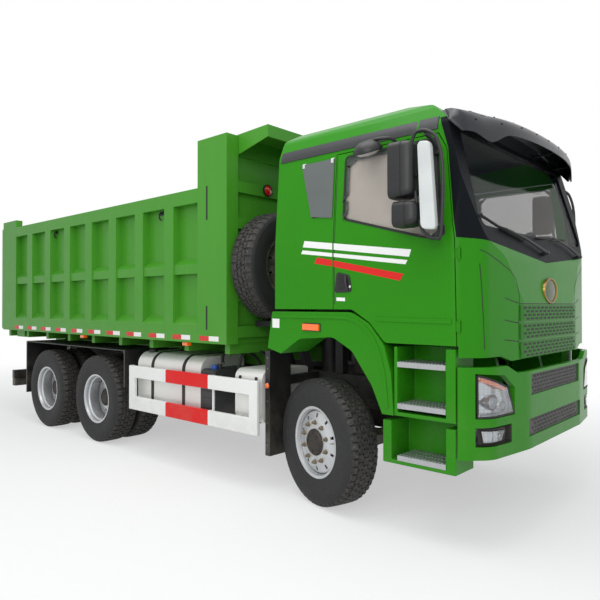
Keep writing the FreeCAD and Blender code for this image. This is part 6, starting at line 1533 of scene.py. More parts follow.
    def build(self) -> None:
        """Build the whole front."""
        self.slots("front_grille", "grille_slots", "cab", self.panels, self.grille_half, 14)
        self.slots("bumper_grilles", "intake_slots", "chassis", self.intakes, self.intake_half, 16)
        skin = Skin("cab_shell", "windscreen_surround", "front_grille")
        self.seams(skin)
        self.badge(Skin("cab_shell"))
        glass = Skin("cab_glass", "windscreen_surround")
        for number in range(len(self.wipers)):
            self.wiper(number, glass)


@dataclass
class Visor:
    """The smoked sun visor: one bowed shell with drooping ends, its slot lamps, screws and stays."""

    half: float = 1.180
    thick: float = 0.010
    parts: int = 56
    screws: int = 9
    screw_half: float = 1.02
    stays: Sequence[float] = (-0.98, -0.45, 0.45, 0.98)
    fullness: float = 0.72
    top_edge: Flat = (1.225, 3.126)
    top_sweep: Flat = (0.075, 0.020)
    low_edge: Flat = (1.512, 2.968)
    low_sweep: Flat = (0.235, 0.012)
    droops: Sequence[Spot] = ((0.085, 0.76, 0.11), (0.035, 1.0, 0.10))
    tip: float = 0.045
    roof: "Skin" = field(default_factory=lambda: Skin("cab_shell", "windscreen_surround"))

    def edge(self, across: float) -> Hit:
        """The rear upper edge and the front lower edge of its section at a place across the truck."""
        s = min(abs(across) / self.half, 1.0)
        droop = sum(deep * math.exp(-((s - place) / wide) ** 2) for deep, place, wide in self.droops)
        tip = max(0.0, (s - 1.0 + self.tip) / self.tip)
        tall = math.sqrt(max(0.0, 1.0 - tip * tip))
        top = Vector((self.top_edge[0] - self.top_sweep[0] * s ** 2.2, across,
                      self.top_edge[1] - self.top_sweep[1] * s * s))
        low = Vector((self.low_edge[0] - self.low_sweep[0] * s ** 2.6, across,
                      self.low_edge[1] - self.low_sweep[1] * s - droop))
        middle = (top + low) / 2
        return middle.lerp(top, tall), middle.lerp(low, tall)

    def point(self, across: float, t: float, inset: float = 0.0) -> Vector:
        """A point of the shell.

        Args:
            across: its place across the truck.
            t: how far down the section it is, from 0 to 1.
            inset: how far it lies inside the outer face.

        Returns:
            The point, in the frame.
        """
        top, low = self.edge(across)
        turn = min(max(t, 0.0), 1.0) * math.pi / 2
        reach, drop = math.sin(turn) ** self.fullness, max(math.cos(turn), 0.0) ** self.fullness
        out = Vector((math.sin(turn), 0.0, math.cos(turn) * 0.9))
        return at(*(Vector((top.x + (low.x - top.x) * reach, across,
                            low.z + (top.z - low.z) * drop)) - out * inset))

    def foot(self, across: float) -> list[Vector]:
        """The flange behind the shell, from its upper edge down to the roof."""
        top = self.point(across, 0.0, self.thick / 2)
        roof, _ = self.roof.hit(top + Vector((-0.03, 0.0, 0.30)), -UP)
        low = Vector((top.x - 0.03, top.y, min(roof.z, top.z) - 0.004))
        return [top + Vector((0.02, 0, 0)), top, top.lerp(low, 0.4) + Vector((-0.004, 0, 0)), low]

    def build(self) -> None:
        """Build the shell and what is on it."""
        places = [-self.half + 2 * self.half * i / self.parts for i in range(self.parts + 1)]
        Piece().loft([self.foot(across) for across in places], closed=False, caps=False).object(
            "visor_flange", Finishes.VISOR, "cab", ROUND)
        down = [k / 10 for k in range(11)]
        shell = Piece().loft([[self.point(across, t) for t in down] +
                              [self.point(across, t, self.thick) for t in reversed(down)]
                              for across in places])
        shell.object("sun_visor_shell", Finishes.VISOR, "cab", BOWED, ("sun_visor",))
        self.slot_lamps()
        screws, stays = Piece(), Piece()
        for k in range(self.screws):
            across = self.screw_half * (2 * k / (self.screws - 1) - 1)
            for t in (0.40, 0.72):
                spot = self.point(across, t)
                screws.bolt(spot, Vector((math.sin(t * math.pi / 2), 0, math.cos(t * math.pi / 2))), 0.006,
                            0.004)
        for across in self.stays:
            start = self.point(across, 0.62, self.thick)
            spot, _ = self.roof.hit(start, Vector((-1.0, 0, -0.05)).normalized())
            stays.tube([spot + Vector((-0.01, 0, 0)), start.lerp(spot, 0.5) + Vector((0, 0, 0.004)), start],
                       0.011, 10)
        screws.object("visor_screws", Finishes.BLACK, "cab")
        stays.object("visor_stays", Finishes.BLACK, "cab", ROUND)

    def slot_lamps(self) -> None:
        """A slim lamp in each end of the shell, with its rim."""
        lamps, rims = Piece(), Piece()
        for side, _ in both():
            for grow, rise, piece in ((0.010, 0.002, rims), (0.0, 0.006, lamps)):
                spread = [-grow] + [0.0] * 7 + [grow]
                rows = []
                for t in (0.30 - grow, 0.33, 0.43, 0.46 + grow):
                    rows.append([self.point(side * (0.84 + 0.20 * k / 8 + wider), t,
                                            -rise if 0.30 < t < 0.46 and 0 < k < 8 else 0.002)
                                 for k, wider in enumerate(spread)])
                piece.loft(rows, closed=False, caps=False)
        rims.object("slot_lamp_rims", Finishes.BLACK, "cab")
        lamps.object("slot_lamps", Finishes.LAMP_CLEAR, "cab")


@dataclass
class Mirrors:
    """The mirrors: two cases a side with their panes, the looped arm and its cover, and the kerb mirror."""

    loop: Sequence[Flat] = ((1.095, 2.906), (1.050, 2.880), (1.030, 2.786), (1.039, 2.645), (1.071, 2.433),
                            (1.102, 2.257), (1.155, 2.177), (1.216, 2.158), (1.258, 2.196), (1.272, 2.609),
                            (1.232, 2.819), (1.165, 2.890))
    cover: Sequence[Flat] = ((1.096, 2.830), (1.192, 2.815), (1.236, 2.212), (1.122, 2.226))
    loop_across: float = 1.385
    cover_across: float = 1.400
    cases: tuple[tuple[Spot, Spot], ...] = (((0.884, 1.285, 2.452), (1.070, 1.468, 2.850)),
                                            ((0.918, 1.285, 2.250), (1.100, 1.468, 2.430)))
    brackets: tuple[tuple[Spot, Spot], ...] = (((1.135, 1.225, 2.800), (1.140, 1.385, 2.880)),
                                               ((1.185, 1.235, 2.225), (1.200, 1.385, 2.165)))
    sections: Sequence[Flat] = ((-0.90, 0.016), (-0.995, 0.012), (-1.0, 0.006), (-0.96, 0.0), (0.10, 0.0),
                                (0.45, 0.004), (0.72, 0.012), (0.90, 0.026), (0.98, 0.042), (1.0, 0.062))
    links: Sequence[float] = (2.60, 2.36)
    dome: Spot = (0.62, 1.325, 2.870)
    dome_radius: float = 0.115
    dome_tilt: float = math.radians(24)
    kerb_foot: Flat = (0.80, 2.905)

    def kerb(self) -> None:
        """The round kerb mirror over the right door, on its arm."""
        ahead, across, up = self.dome
        size = self.dome_radius
        turn = Matrix.Translation(at(ahead, -across, up)) @ Matrix.Rotation(self.dome_tilt, 4, "X")
        shell = [(0.0, size * 0.62), (size * 0.45, size * 0.56), (size * 0.80, size * 0.34), (size, 0.0),
                 (size * 0.99, -0.012), (size * 0.93, -0.012)]
        Piece().lathe(shell, turn, 40).object("kerb_mirror_shell", Finishes.BLACK, "right_door", ROUND)
        Piece().lathe([(size * 0.94, -0.010), (size * 0.6, -0.034), (0.0, -0.046)], turn, 40) \
            .object("kerb_mirror_glass", Finishes.MIRROR, "right_door", ROUND)
        foot, _ = Skin("door_right").side(*self.kerb_foot)
        arm = [foot + Vector((0, 0.008, 0)), foot + Vector((-0.02, -0.050, 0.035)),
               at(0.72, -across + 0.03, up + 0.075), at(ahead, -across, up + size * 0.55)]
        Piece().tube(smoothed(arm), 0.013, 12).object("kerb_mirror_arm", Finishes.BLACK, "right_door", ROUND)

    def build(self) -> None:
        """Build both sides."""
        for side, word in both():
            body = word + "_door"
            path = smoothed([at(a, side * self.loop_across, u) for a, u in self.loop + self.loop[:1]])
            Piece().tube(path, 0.0125, 12).object("mirror_loop_" + word, Finishes.BLACK, body, ROUND)
            outline = rounded([(AXLE_X + a, u) for a, u in self.cover], 0.035)
            low, high = (side * (self.cover_across + shift) for shift in (-0.022, 0.018))
            Piece().prism(outline, low, high, 0.007).object("mirror_cover_" + word, Finishes.PALE, body)
            for number, (low, high) in enumerate(self.cases):
                self.case(number + 1, side, word, low, high)
            self.arms(side, word)
        self.kerb()

    def case(self, number: int, side: float, word: str, low: Spot, high: Spot) -> None:
        """One mirror's rounded case with its pane in the rear face; the upper one stands for the solid.

        Args:
            number: 1 for the upper mirror and 2 for the lower.
            side: the side of the truck.
            word: the side's name.
            low: its lowest corner on the left side.
            high: its highest corner there.
        """
        middle = (at(*low) + at(*high)) / 2
        half = (at(*high) - at(*low)) / 2
        middle.y = side * abs(middle.y)
        round_corner = min(half.y, half.z) * 0.55
        flat = rounded(rectangle(-half.y, -half.z, half.y, half.z), round_corner, 8)

        def ring(along: float, inset: float) -> list[Vector]:
            """The case's outline at a share of its depth, drawn in by a length."""
            return [middle + Vector((along * half.x, a * (1 - inset / half.y), u * (1 - inset / half.z)))
                    for a, u in flat]

        shell = Piece().loft([ring(*section) for section in self.sections])
        shell.object(f"mirror_case_{number}_{word}", Finishes.BLACK, word + "_door", BOWED,
                     ("mirror_" + word,) if number == 1 else ())
        rows = [ring(-0.86, 0.016), ring(-0.93, 0.0165), ring(-0.935, 0.020), ring(-0.94, half.y * 0.9)]
        pane = Piece().loft(rows)
        pane.object(f"mirror_pane_{number}_{word}", Finishes.MIRROR, word + "_door", FIRM)
        seam = [ring(0.10, -0.0015), ring(0.16, -0.0015)]
        Piece().loft(seam, caps=False).object(
            f"mirror_seam_{number}_{word}", Finishes.TRIM, word + "_door", FIRM)

    def arms(self, side: float, word: str) -> None:
        """The brackets from the door to the loop, and from the loop to the cases."""
        arms = Piece()
        for bracket in self.brackets:
            start, end = (at(ahead, side * across, up) for ahead, across, up in bracket)
            bow = (start + end) / 2 + Vector((0.01, 0, 0.012))
            arms.tube(smoothed([start, bow, end]), 0.015, 12)
            arms.box(start, (-0.030, -0.012, -0.036), (0.030, 0.012, 0.036), 0.006)
        for up in self.links:
            arms.tube([at(1.05, side * self.loop_across, up),
                       at(1.10, side * (self.loop_across + 0.01), up)], 0.014, 12)
        arms.object("mirror_arms_" + word, Finishes.BLACK, word + "_door", ROUND)


# Lamps, bumper and steps

@dataclass
class Lamps:
    """The front lamps, in place of their plain solids: bowls, lenses, projectors and dark rims."""

    head: Sequence[Flat] = ((-1.160, 1.226), (-0.895, 1.130), (-0.812, 0.945), (-1.158, 0.940))
    amber: Sequence[Flat] = ((-1.146, 1.212), (-0.915, 1.128), (-0.905, 1.102), (-1.145, 1.184))
    fog: Sequence[Flat] = rectangle(-1.160, 0.862, -0.850, 0.748)
    fog_lens: Sequence[Flat] = ((-1.140, 0.848), (-0.925, 0.838), (-0.975, 0.770), (-1.130, 0.768))
    projectors: Sequence[tuple[float, float, float]] = ((-1.035, 1.035, 0.052), (-0.925, 1.000, 0.036))
    head_cells: tuple[int, int] = (14, 10)
    amber_cells: tuple[int, int] = (10, 3)
    fog_cells: tuple[int, int] = (12, 6)

    def build(self) -> None:
        """Build both sides."""
        skin = Skin("front_lamps")
        for side, word in both():
            def flip(corners: Sequence[Flat]) -> list[Flat]:
                """The corners on this side of the truck."""
                return [(-side * across, up) for across, up in corners]

            def pane(name: str, corners: Sequence[Flat], proud: float, rim: float, cells: tuple[int, int],
                     finish: Finishes, smooth: float = ROUND, replaces: Sequence[str] = ()) -> None:
                """Lay one bowl, bay or lens on this side."""
                skin.laid(skin.front, flip(corners), proud, rim, *cells).object(
                    name + word, finish, "chassis", smooth, replaces)

            pane("lamp_bowl_", self.head, -0.075, 0.0, self.head_cells, Finishes.BOWL, FIRM,
                 ("front_lamps",) if side < 0 else ())
            pane("lamp_lens_", self.head, 0.001, -0.012, self.head_cells, Finishes.LAMP_CLEAR)
            rim = flip(self.head)
            skin.line(skin.front, rim + rim[:1], 0.014, 0.003).object(
                "lamp_rim_" + word, Finishes.TRIM, "chassis")
            pane("lamp_amber_", self.amber, -0.014, -0.030, self.amber_cells, Finishes.LAMP_AMBER)
            self.eyes(skin, side, word)
            pane("fog_bay_", self.fog, -0.030, 0.0, self.fog_cells, Finishes.BLACK, EVEN)
            pane("fog_bowl_", self.fog_lens, -0.030, -0.004, self.fog_cells, Finishes.BOWL)
            pane("fog_lens_", self.fog_lens, 0.0, -0.008, self.fog_cells, Finishes.LAMP_CLEAR)

    def eyes(self, skin: Skin, side: float, word: str) -> None:
        """The projectors of one side, each in its shade."""
        shade, ball = Piece(), Piece()
        for across, up, size in self.projectors:
            spot, _ = skin.front(-side * across, up)
            turn = forward(spot - AHEAD * 0.055)
            shade.lathe([(size * 0.9, -0.03), (size * 1.08, 0.012), (size, 0.020), (size * 0.86, 0.012),
                         (size * 0.8, -0.01)], turn, 32)
            ball.lathe([(size * 0.86, 0.002), (size * 0.75, 0.014), (size * 0.45, 0.026), (0.0, 0.031)],
                       turn, 32)
        shade.object("lamp_shades_" + word, Finishes.CHROME, "chassis", ROUND)
        ball.object("lamp_projectors_" + word, Finishes.EYE, "chassis", ROUND)


@dataclass
class Steps:
    """Serrated teeth on the step plates and the fender's trim beside them."""

    pitch: float = 0.026
    tooth: float = 0.005
    tops: Sequence[float] = (1.288, 0.983, 0.601)
    rear: float = 0.826
    front: float = 1.203
    inner: float = 1.000
    outer: float = 1.229
    crease: Sequence[Flat] = ((-0.455, 1.610), (0.345, 1.610), (0.470, 1.580), (0.590, 1.490),
                              (0.672, 1.340), (0.716, 1.150), (0.735, 0.935))
    lamp: Sequence[Flat] = ((-0.096, 1.552), (0.086, 1.548), (0.086, 1.494), (-0.096, 1.498))
    lamp_rim: Flat = (0.008, 0.007)
    card: Sequence[Flat] = ((-0.462, 1.588), (-0.376, 1.586), (-0.376, 1.506), (-0.462, 1.508))

    def teeth(self, piece: Piece, side: float, top: float) -> None:
        """Add one plate's teeth: short ridges in three staggered rows."""
        count = int((self.front - self.rear) / self.pitch)
        wide = (self.outer - self.inner) / 3
        for row in range(3):
            for k in range(count):
                ahead = self.rear + (k + 0.5 * (row % 2)) * self.pitch
                y0, y1 = side * (self.inner + row * wide), side * (self.inner + (row + 1) * wide - 0.012)
                low, high = min(y0, y1), max(y0, y1)
                piece.loft([[at(ahead, y, top - 0.001), at(ahead + 0.016, y, top - 0.001),
                             at(ahead + 0.010, y, top + self.tooth), at(ahead + 0.006, y, top + self.tooth)]
                            for y in (low, high)])

    def build(self) -> None:
        """Build both sides."""
        fender = Skin("front_fenders")
        for side, word in both():
            teeth = Piece()
            for top in self.tops:
                self.teeth(teeth, side, top)
            teeth.object("step_teeth_" + word, Finishes.TREAD_PLATE, "chassis", CRISP)
            cast = fender.sided(side)
            fender.line(cast, rounded_path(self.crease), 0.030, 0.006).object(
                "fender_crease_" + word, Finishes.CAB, "chassis", ROUND)
            middle = sum(u for _, u in self.lamp) / len(self.lamp)
            rim = [(a + math.copysign(self.lamp_rim[0], a), u + math.copysign(self.lamp_rim[1], u - middle))
                   for a, u in self.lamp]
            fender.laid(cast, rim, 0.006, columns=6, rows=3).object(
                "fender_lamp_rim_" + word, Finishes.BLACK, "chassis")
            fender.laid(cast, self.lamp, 0.020, 0.004, columns=10, rows=6).object(
                "fender_lamp_" + word, Finishes.LAMP_AMBER, "chassis", ROUND)
            fender.laid(cast, self.card, 0.0012, columns=4, rows=2).object(
                "fender_card_" + word, Finishes.WHITE, "chassis")


# Load bed

@dataclass
class BedTrim:
    """What is fixed on the bed: reflector tape, hooks, sill lamps, post slits of painted shade and the
    headboard's lamp.
    """

    tape_rear: float = -1.488
    tape_pitch: float = 0.4455
    tape_count: int = 11
    tape_length: float = 0.150
    tape_low: float = 1.352
    tape_high: float = 1.400
    hooks: Sequence[float] = (-2.242, -4.737)
    lamps: Sequence[float] = (-3.925, -1.758)
    slits: Sequence[Flat] = ((2.549, 2.887), (1.461, 1.698))
    slit_ahead: float = -1.372
    slit_half: float = 0.012
    film: float = 0.0009
    hook_up: float = 2.70
    lamp_spot: Flat = (1.2, 1.300)
    board_lamp: Flat = (-0.70, 2.88)

    def tapes(self, skin: Skin, side: float, word: str) -> None:
        """Lay the pairs of red and white tape along the sill."""
        for shift, finish, name in ((0.0, Finishes.TAPE_RED, "red"),
                                    (self.tape_length, Finishes.TAPE_WHITE, "white")):
            piece = Piece()
            for k in range(self.tape_count):
                low = self.tape_rear - self.tape_pitch * k + shift
                high = low + self.tape_length - 0.001
                corners = rectangle(low, self.tape_low, high, self.tape_high)
                skin.laid(skin.sided(side), corners, self.film, columns=3, rows=2, piece=piece)
            piece.object(f"sill_tape_{name}_{word}", finish, "bed")

    def build(self) -> None:
        """Build both sides."""
        skin = Skin("bed_sides")
        for side, word in both():
            self.tapes(skin, side, word)
            hooks, lamps, slits = Piece(), Piece(), Piece()
            for ahead in self.hooks:
                spot, _ = skin.side(ahead, self.hook_up, side)
                bends = ((0.0, 0.02), (0.035, 0.0), (0.035, -0.045), (0.012, -0.06))
                hooks.tube(smoothed([spot + Vector((0, side * out, up)) for out, up in bends]), 0.008, 10)
                hooks.box(spot, (-0.035, -0.004, -0.01), (0.035, 0.004, 0.035), 0.002)
            for ahead in self.lamps:
                spot = at(ahead, side * self.lamp_spot[0], self.lamp_spot[1])
                lamps.box(spot, (-0.045, -0.025, -0.014), (0.045, 0.025, 0.022), 0.006)
            # Painted shade: each slit is a dark strip laid on the post where the opening would show shade
            for low, high in self.slits:
                corners = rectangle(self.slit_ahead - self.slit_half, low, self.slit_ahead + self.slit_half,
                                    high)
                skin.laid(skin.sided(side), corners, self.film, columns=2, rows=6, piece=slits)
            hooks.object("tarp_hooks_" + word, Finishes.FRAME, "bed", ROUND)
            lamps.object("sill_lamps_" + word, Finishes.LAMP_AMBER, "bed")
            slits.object("post_slits_" + word, Finishes.TRIM, "bed")
        self.head_lamp()

    def head_lamp(self) -> None:
        """The red round lamp on the headboard."""
        spot, _ = Skin("bed_front").front(*self.board_lamp)
        turn = forward(spot)
        Piece().lathe([(0.062, 0.0), (0.062, 0.018), (0.054, 0.022), (0.05, 0.018)], turn, 32).object(
            "headboard_lamp_rim", Finishes.BLACK, "bed", ROUND)
        Piece().lathe([(0.051, 0.016), (0.04, 0.026), (0.0, 0.032)], turn, 32).object(
            "headboard_lamp", Finishes.LAMP_RED, "bed", ROUND)


# Inside the cab

@dataclass
class Interior:
    """What shows through the glass: padded seats, the roof's and rear wall's lining, and the door cards."""

    seat_across: float = 0.56
    cushion: tuple[Spot, Spot] = ((0.315, 0.0, 1.872), (0.235, 0.225, 0.062))
    back: tuple[Spot, Spot] = ((0.062, 0.0, 2.195), (0.055, 0.222, 0.262))
    head: tuple[Spot, Spot] = ((0.062, 0.0, 2.560), (0.048, 0.130, 0.080))
    base: Sequence[tuple[float, float]] = ((1.476, 0.21), (1.50, 0.21), (1.52, 0.16), (1.60, 0.15),
                                           (1.64, 0.18), (1.68, 0.15), (1.72, 0.18), (1.76, 0.16),
                                           (1.78, 0.21), (1.808, 0.21))
    card: Sequence[Flat] = ((0.33, 1.66), (1.20, 1.66), (1.18, 2.14), (0.36, 2.24))
    frame_lining: Sequence[Flat] = ((0.345, 2.215), (0.345, 2.875), (1.105, 2.875), (1.165, 2.205))
    rest: Flat = (0.70, 1.95)
    rest_section: Sequence[Flat] = ((-0.030, 0.0), (0.0, -0.034), (0.040, -0.038), (0.052, -0.020),
                                    (0.050, 0.0))
    base_ahead: float = 0.30
    post_half: float = 0.06
    channel: float = 0.012
    seams: Sequence[float] = (-0.55, 0.55)
    cross_seams: Sequence[float] = (-0.2, 0.35)
    pinch: float = 0.05
    crown: float = 0.20
    roof: Sequence[Flat] = ((152.0, -1.10), (45.0, -1.04), (45.0, 1.04), (152.0, 1.10))
    rear_wall: Sequence[Flat] = rectangle(-1.12, 1.55, 1.12, 2.95)
    eye: Flat = (0.7, 2.55)
    squareness: float = 0.36

    def pad(self, middle: Vector, half: Spot, face: int, name: str) -> None:
        """One stuffed pad: a crowned closed form, pulled in at its sides, with sewn channels and piping.

        Args:
            middle: its middle.
            half: half its size each way.
            face: the axis that its sat-on face looks along.
            name: the piece's name.
        """
        wide, tall = (i for i in range(3) if i != face)
        rows, columns = 22, 56

        def power(value: float, share: float) -> float:
            """A signed power."""
            return math.copysign(abs(value) ** share, value)

        def spot(up: float, turn: float) -> Vector:
            """A point of the form from its angle up and its angle round."""
            flat, square = abs(math.cos(up)) ** self.squareness, self.squareness
            u = flat * power(math.cos(turn), square)
            v = flat * power(math.sin(turn), square)
            w = power(math.sin(up), 0.5)
            pull = 1.0 - self.pinch * ((1.0 - u * u) * abs(v) ** 4 + (1.0 - v * v) * abs(u) ** 4)
            crown = 1.0 - self.crown + self.crown * (1.0 - u * u * 0.8) * (1.0 - v * v * 0.4)
            if w > 0:
                deep = self.channel / half[face] * w
                crown -= sum(deep * math.exp(-((v - seam) / 0.045) ** 2) for seam in self.seams)
                if abs(v) < self.seams[1]:
                    cross = sum(math.exp(-((u - seam) / 0.04) ** 2) for seam in self.cross_seams)
                    crown -= 0.6 * deep * cross
            place = Vector((0.0, 0.0, 0.0))
            for axis, share in ((wide, u * pull), (tall, v * pull), (face, w * crown)):
                place[axis] = share * half[axis]
            return middle + place

        piece = Piece()
        piece.loft([[spot(-math.pi / 2 + math.pi * (r + 0.5) / rows,
                          2 * math.pi * c / columns) for c in range(columns)]
                    for r in range(rows)])
        piece.object(name, Finishes.SEAT, "cab", STUFFED)
        edge = [spot(0.30, 2 * math.pi * c / 64) for c in range(64)]
        Piece().tube(edge + edge[:1], 0.0045, 8).object(name + "_piping", Finishes.TRIM, "cab", STUFFED)

    def seat(self, side: float, word: str) -> None:
        """One seat: bellows base, cushion, back and head rest on two posts."""
        across = side * self.seat_across
        square = rounded(rectangle(-1.0, -1.0, 1.0, 1.0), 0.35)
        base = Piece().loft([[at(self.base_ahead + wide * 1.05 * x, across + wide * y, up)
                              for x, y in square] for up, wide in self.base])
        base.object("seat_base_" + word, Finishes.TRIMMED, "cab", FIRM, ("cab_seats",) if side < 0 else ())
        for name, (middle, half), face in (("seat_cushion", self.cushion, 2), ("seat_back", self.back, 0),
                                           ("head_rest", self.head, 0)):
            self.pad(at(middle[0], across, middle[2]), half, face, f"{name}_{word}")
        posts = Piece()
        for shift in (-self.post_half, self.post_half):
            posts.tube([at(self.head[0][0], across + shift, up) for up in (2.40, 2.53)], 0.007, 10)
        posts.object("head_rest_posts_" + word, Finishes.CHROME, "cab", ROUND)

    def lining(self) -> None:
        """The roof's lining and the padded rear wall."""
        shell = Skin("cab_shell")
        head = Skin("cab_shell", "windscreen_surround")

        def over(turn: float, across: float) -> Hit:
            """A point of the roof's or the header's inside, seen at an angle up from straight ahead."""
            way = Vector((math.cos(math.radians(turn)), 0, math.sin(math.radians(turn))))
            return head.hit(at(self.eye[0], across, self.eye[1]), way)

        # The roof lining takes the dark roof cloth, painted shade of the cab's inside
        roof = head.laid(over, self.roof, 0.004, 0.001, 26, 20)
        roof.object("roof_lining", Finishes.HEADLINER, "cab", ROUND)
        wall = shell.laid(lambda across, up: shell.hit(at(0.3, across, up), -AHEAD),
                          self.rear_wall, 0.004, 0.001, 16, 16)
        wall.object("rear_wall_lining", Finishes.LINING, "cab", ROUND)

    def door_card(self, side: float, word: str) -> None:
        """The lining inside a door and round its window frame, with its arm rest."""
        door, body = Skin("door_" + word), word + "_door"

        def cast(ahead: float, up: float) -> Hit:
            """A point of the door's inside."""
            return door.hit(at(ahead, side * 0.9, up), Vector((0, side, 0)))

        door.laid(cast, self.card, 0.004, 0.001, 14, 10).object(
            "door_card_" + word, Finishes.LINING, body, ROUND)
        # The window frame's lining is real trim in the dark roof cloth, painted shade of the cab's inside
        frame_path = rounded(self.frame_lining, 0.04, 4)
        door.line(cast, frame_path + frame_path[:1], 0.060, 0.004).object(
            "door_frame_lining_" + word, Finishes.HEADLINER, body, ROUND)
        spot, _ = cast(*self.rest)
        rings = [[spot + Vector((along, -side * (0.002 - out), up)) for up, out in self.rest_section]
                 for along in (-0.24, -0.20, 0.20, 0.26)]
        Piece().loft(rings).object("arm_rest_" + word, Finishes.TRIMMED, body, FIRM)

    def build(self) -> None:
        """Build the whole inside."""
        for side, word in both():
            self.seat(side, word)
            self.door_card(side, word)
        self.lining()


# Chassis

@dataclass
class SideKit:
    """What is fixed on the tanks and boxes: straps, caps, ribs, latches, hoses and side lamps."""

    straps: Sequence[float] = (-2.445, -1.875)
    strap_half: float = 0.024
    tank: Flat = (-0.85, 0.845)
    fuel_cap: Flat = (-2.62, -1.02)
    urea_cap: Flat = (-1.475, -1.06)
    cap_ridge: float = 0.0025
    rib_low: float = 0.60
    rib_pitch: float = 0.07
    rib_tall: float = 0.026
    ribs: int = 7
    rib_ends: Flat = (-1.572, -1.381)
    panel: Sequence[Flat] = rectangle(-1.020, 0.660, -0.730, 0.965)
    lid_seam: Sequence[Flat] = ((-1.052, 1.010), (-0.698, 1.010))
    latches: Sequence[float] = (-0.985, -0.765)
    flap: float = -0.648
    flap_lamp: float = 0.965
    flap_rivets: Sequence[float] = (0.42, 0.62, 0.82, 1.12, 1.22)
    hoses: Sequence[Sequence[Spot]] = (
        ((-1.475, -0.95, 1.09), (-1.470, -0.94, 1.20), (-1.40, -0.80, 1.25), (-1.34, -0.62, 1.16),
         (-1.33, -0.47, 0.98)),
        ((-1.180, -0.98, 0.86), (-1.185, -0.99, 1.10), (-1.165, -0.90, 1.245), (-1.145, -0.70, 1.22),
         (-1.14, -0.47, 1.02)),
        ((-2.790, -0.90, 0.72), (-2.830, -0.93, 1.00), (-2.835, -0.80, 1.150), (-2.80, -0.60, 1.12),
         (-2.78, -0.47, 0.95)))

    def strap(self, skin: Skin, ahead: float, piece: Piece) -> None:
        """Add one band round the fuel tank."""
        rings = []
        middle = at(ahead, *self.tank)
        for turn in turns(64):
            way = Vector((0, math.cos(turn), math.sin(turn)))
            spot, normal = skin.hit(middle + way * 0.9, -way)
            wide = Vector((self.strap_half, 0, 0))
            rings.append([spot - wide - normal * 0.001, spot - wide + normal * 0.005,
                          spot + wide + normal * 0.005, spot + wide - normal * 0.001])
        piece.loft(rings, caps=False, looped=True)

    def cap(self, spot: Vector, way: Vector, radius: float, tall: float, piece: Piece) -> None:
        """Add a round screw cap with grips."""
        turn = aimed(spot, way)
        rings = []
        for share, rise in ((1.15, 0.0), (1.15, 0.25), (1.0, 0.3), (1.0, 0.85), (0.9, 1.0), (0.05, 1.0)):
            ridge = self.cap_ridge if 0.2 < rise < 0.9 else 0.0
            rings.append([turn @ Vector(((radius * share + (0.0 if k % 3 else ridge)) * math.cos(a),
                                         radius * share * math.sin(a), tall * rise))
                          for k, a in enumerate(turns(36))])
        piece.loft(rings)

    def build(self) -> None:
        tank, straps = Skin("fuel_tank"), Piece()
        for ahead in self.straps:
            self.strap(tank, ahead, straps)
        straps.object("fuel_tank_straps", Finishes.TRIM, "chassis")
        urea, ribs = Skin("urea_tank"), Piece()
        for skin, place, name, finish, radius, tall in (
                (tank, self.fuel_cap, "fuel_cap", Finishes.BLACK, 0.045, 0.035),
                (urea, self.urea_cap, "urea_cap", Finishes.BLUE, 0.035, 0.040)):
            cap = Piece()
            spot, normal = skin.hit(at(*place, 1.6), -UP)
            self.cap(spot, normal, radius, tall, cap)
            cap.object(name, finish, "chassis")
        for k in range(self.ribs):
            low = self.rib_low + self.rib_pitch * k
            urea.laid(urea.side, rectangle(self.rib_ends[0], low, self.rib_ends[1], low + self.rib_tall),
                      0.007, columns=4, rows=2, piece=ribs)
        ribs.object("urea_tank_ribs", Finishes.DARK, "chassis")
        self.battery()
        hoses, clamps = Piece(), Piece()
        for path in self.hoses:
            line = smoothed([at(*p) for p in path])
            hoses.tube(line, 0.015, 12)
            for end in (1, len(line) - 2):
                way = (line[end + 1] - line[end]).normalized()
                clamps.tube([line[end] - way * 0.007, line[end] + way * 0.007], 0.0175, 14)
        hoses.object("fixed_hoses", Finishes.TRIM, "chassis", ROUND)
        clamps.object("hose_clamps", Finishes.STEEL, "chassis", ROUND)
        self.guard_lamps()

    def battery(self) -> None:
        """The lid's seam, its latches and the pressed panel of the battery box."""
        box, seam, latches = Skin("battery_box"), Piece(), Piece()
        box.line(box.side, self.lid_seam, 0.006, 0.0008, seam)
        panel = rounded(self.panel, 0.03)
        box.line(box.side, panel + panel[:1], 0.010, 0.004, seam)
        seam.object("battery_box_seams", Finishes.TANK, "chassis", ROUND)
        for ahead in self.latches:
            spot, _ = box.side(ahead, self.lid_seam[0][1])
            latches.box(spot, (-0.014, -0.012, -0.050), (0.014, 0.002, 0.026), 0.004)
            latches.bolt(spot + Vector((0, -0.012, -0.036)), Vector((0, -1, 0)), 0.007, 0.006)
        latches.object("battery_box_latches", Finishes.TRIM, "chassis")

    def guard_lamps(self) -> None:
        """Round side lamps on the edge of the mudguard, and the guard's rivets."""
        for side, word in both():
            skin, rivets = Skin("mudguards"), Piece()
            turn = aimed(*skin.side(self.flap, self.flap_lamp, side))
            Piece().lathe([(0.030, -0.002), (0.030, 0.006), (0.026, 0.009)], turn, 28).object(
                "guard_lamp_rim_" + word, Finishes.BLACK, "chassis", ROUND)
            Piece().lathe([(0.026, 0.004), (0.024, 0.014), (0.013, 0.021), (0.0, 0.023)], turn, 28).object(
                "guard_lamp_" + word, Finishes.LAMP_AMBER, "chassis", ROUND)
            for up in self.flap_rivets:
                rivets.bolt(*skin.side(self.flap, up, side), 0.006, 0.004)
            rivets.object("guard_rivets_" + word, Finishes.STEEL, "chassis")


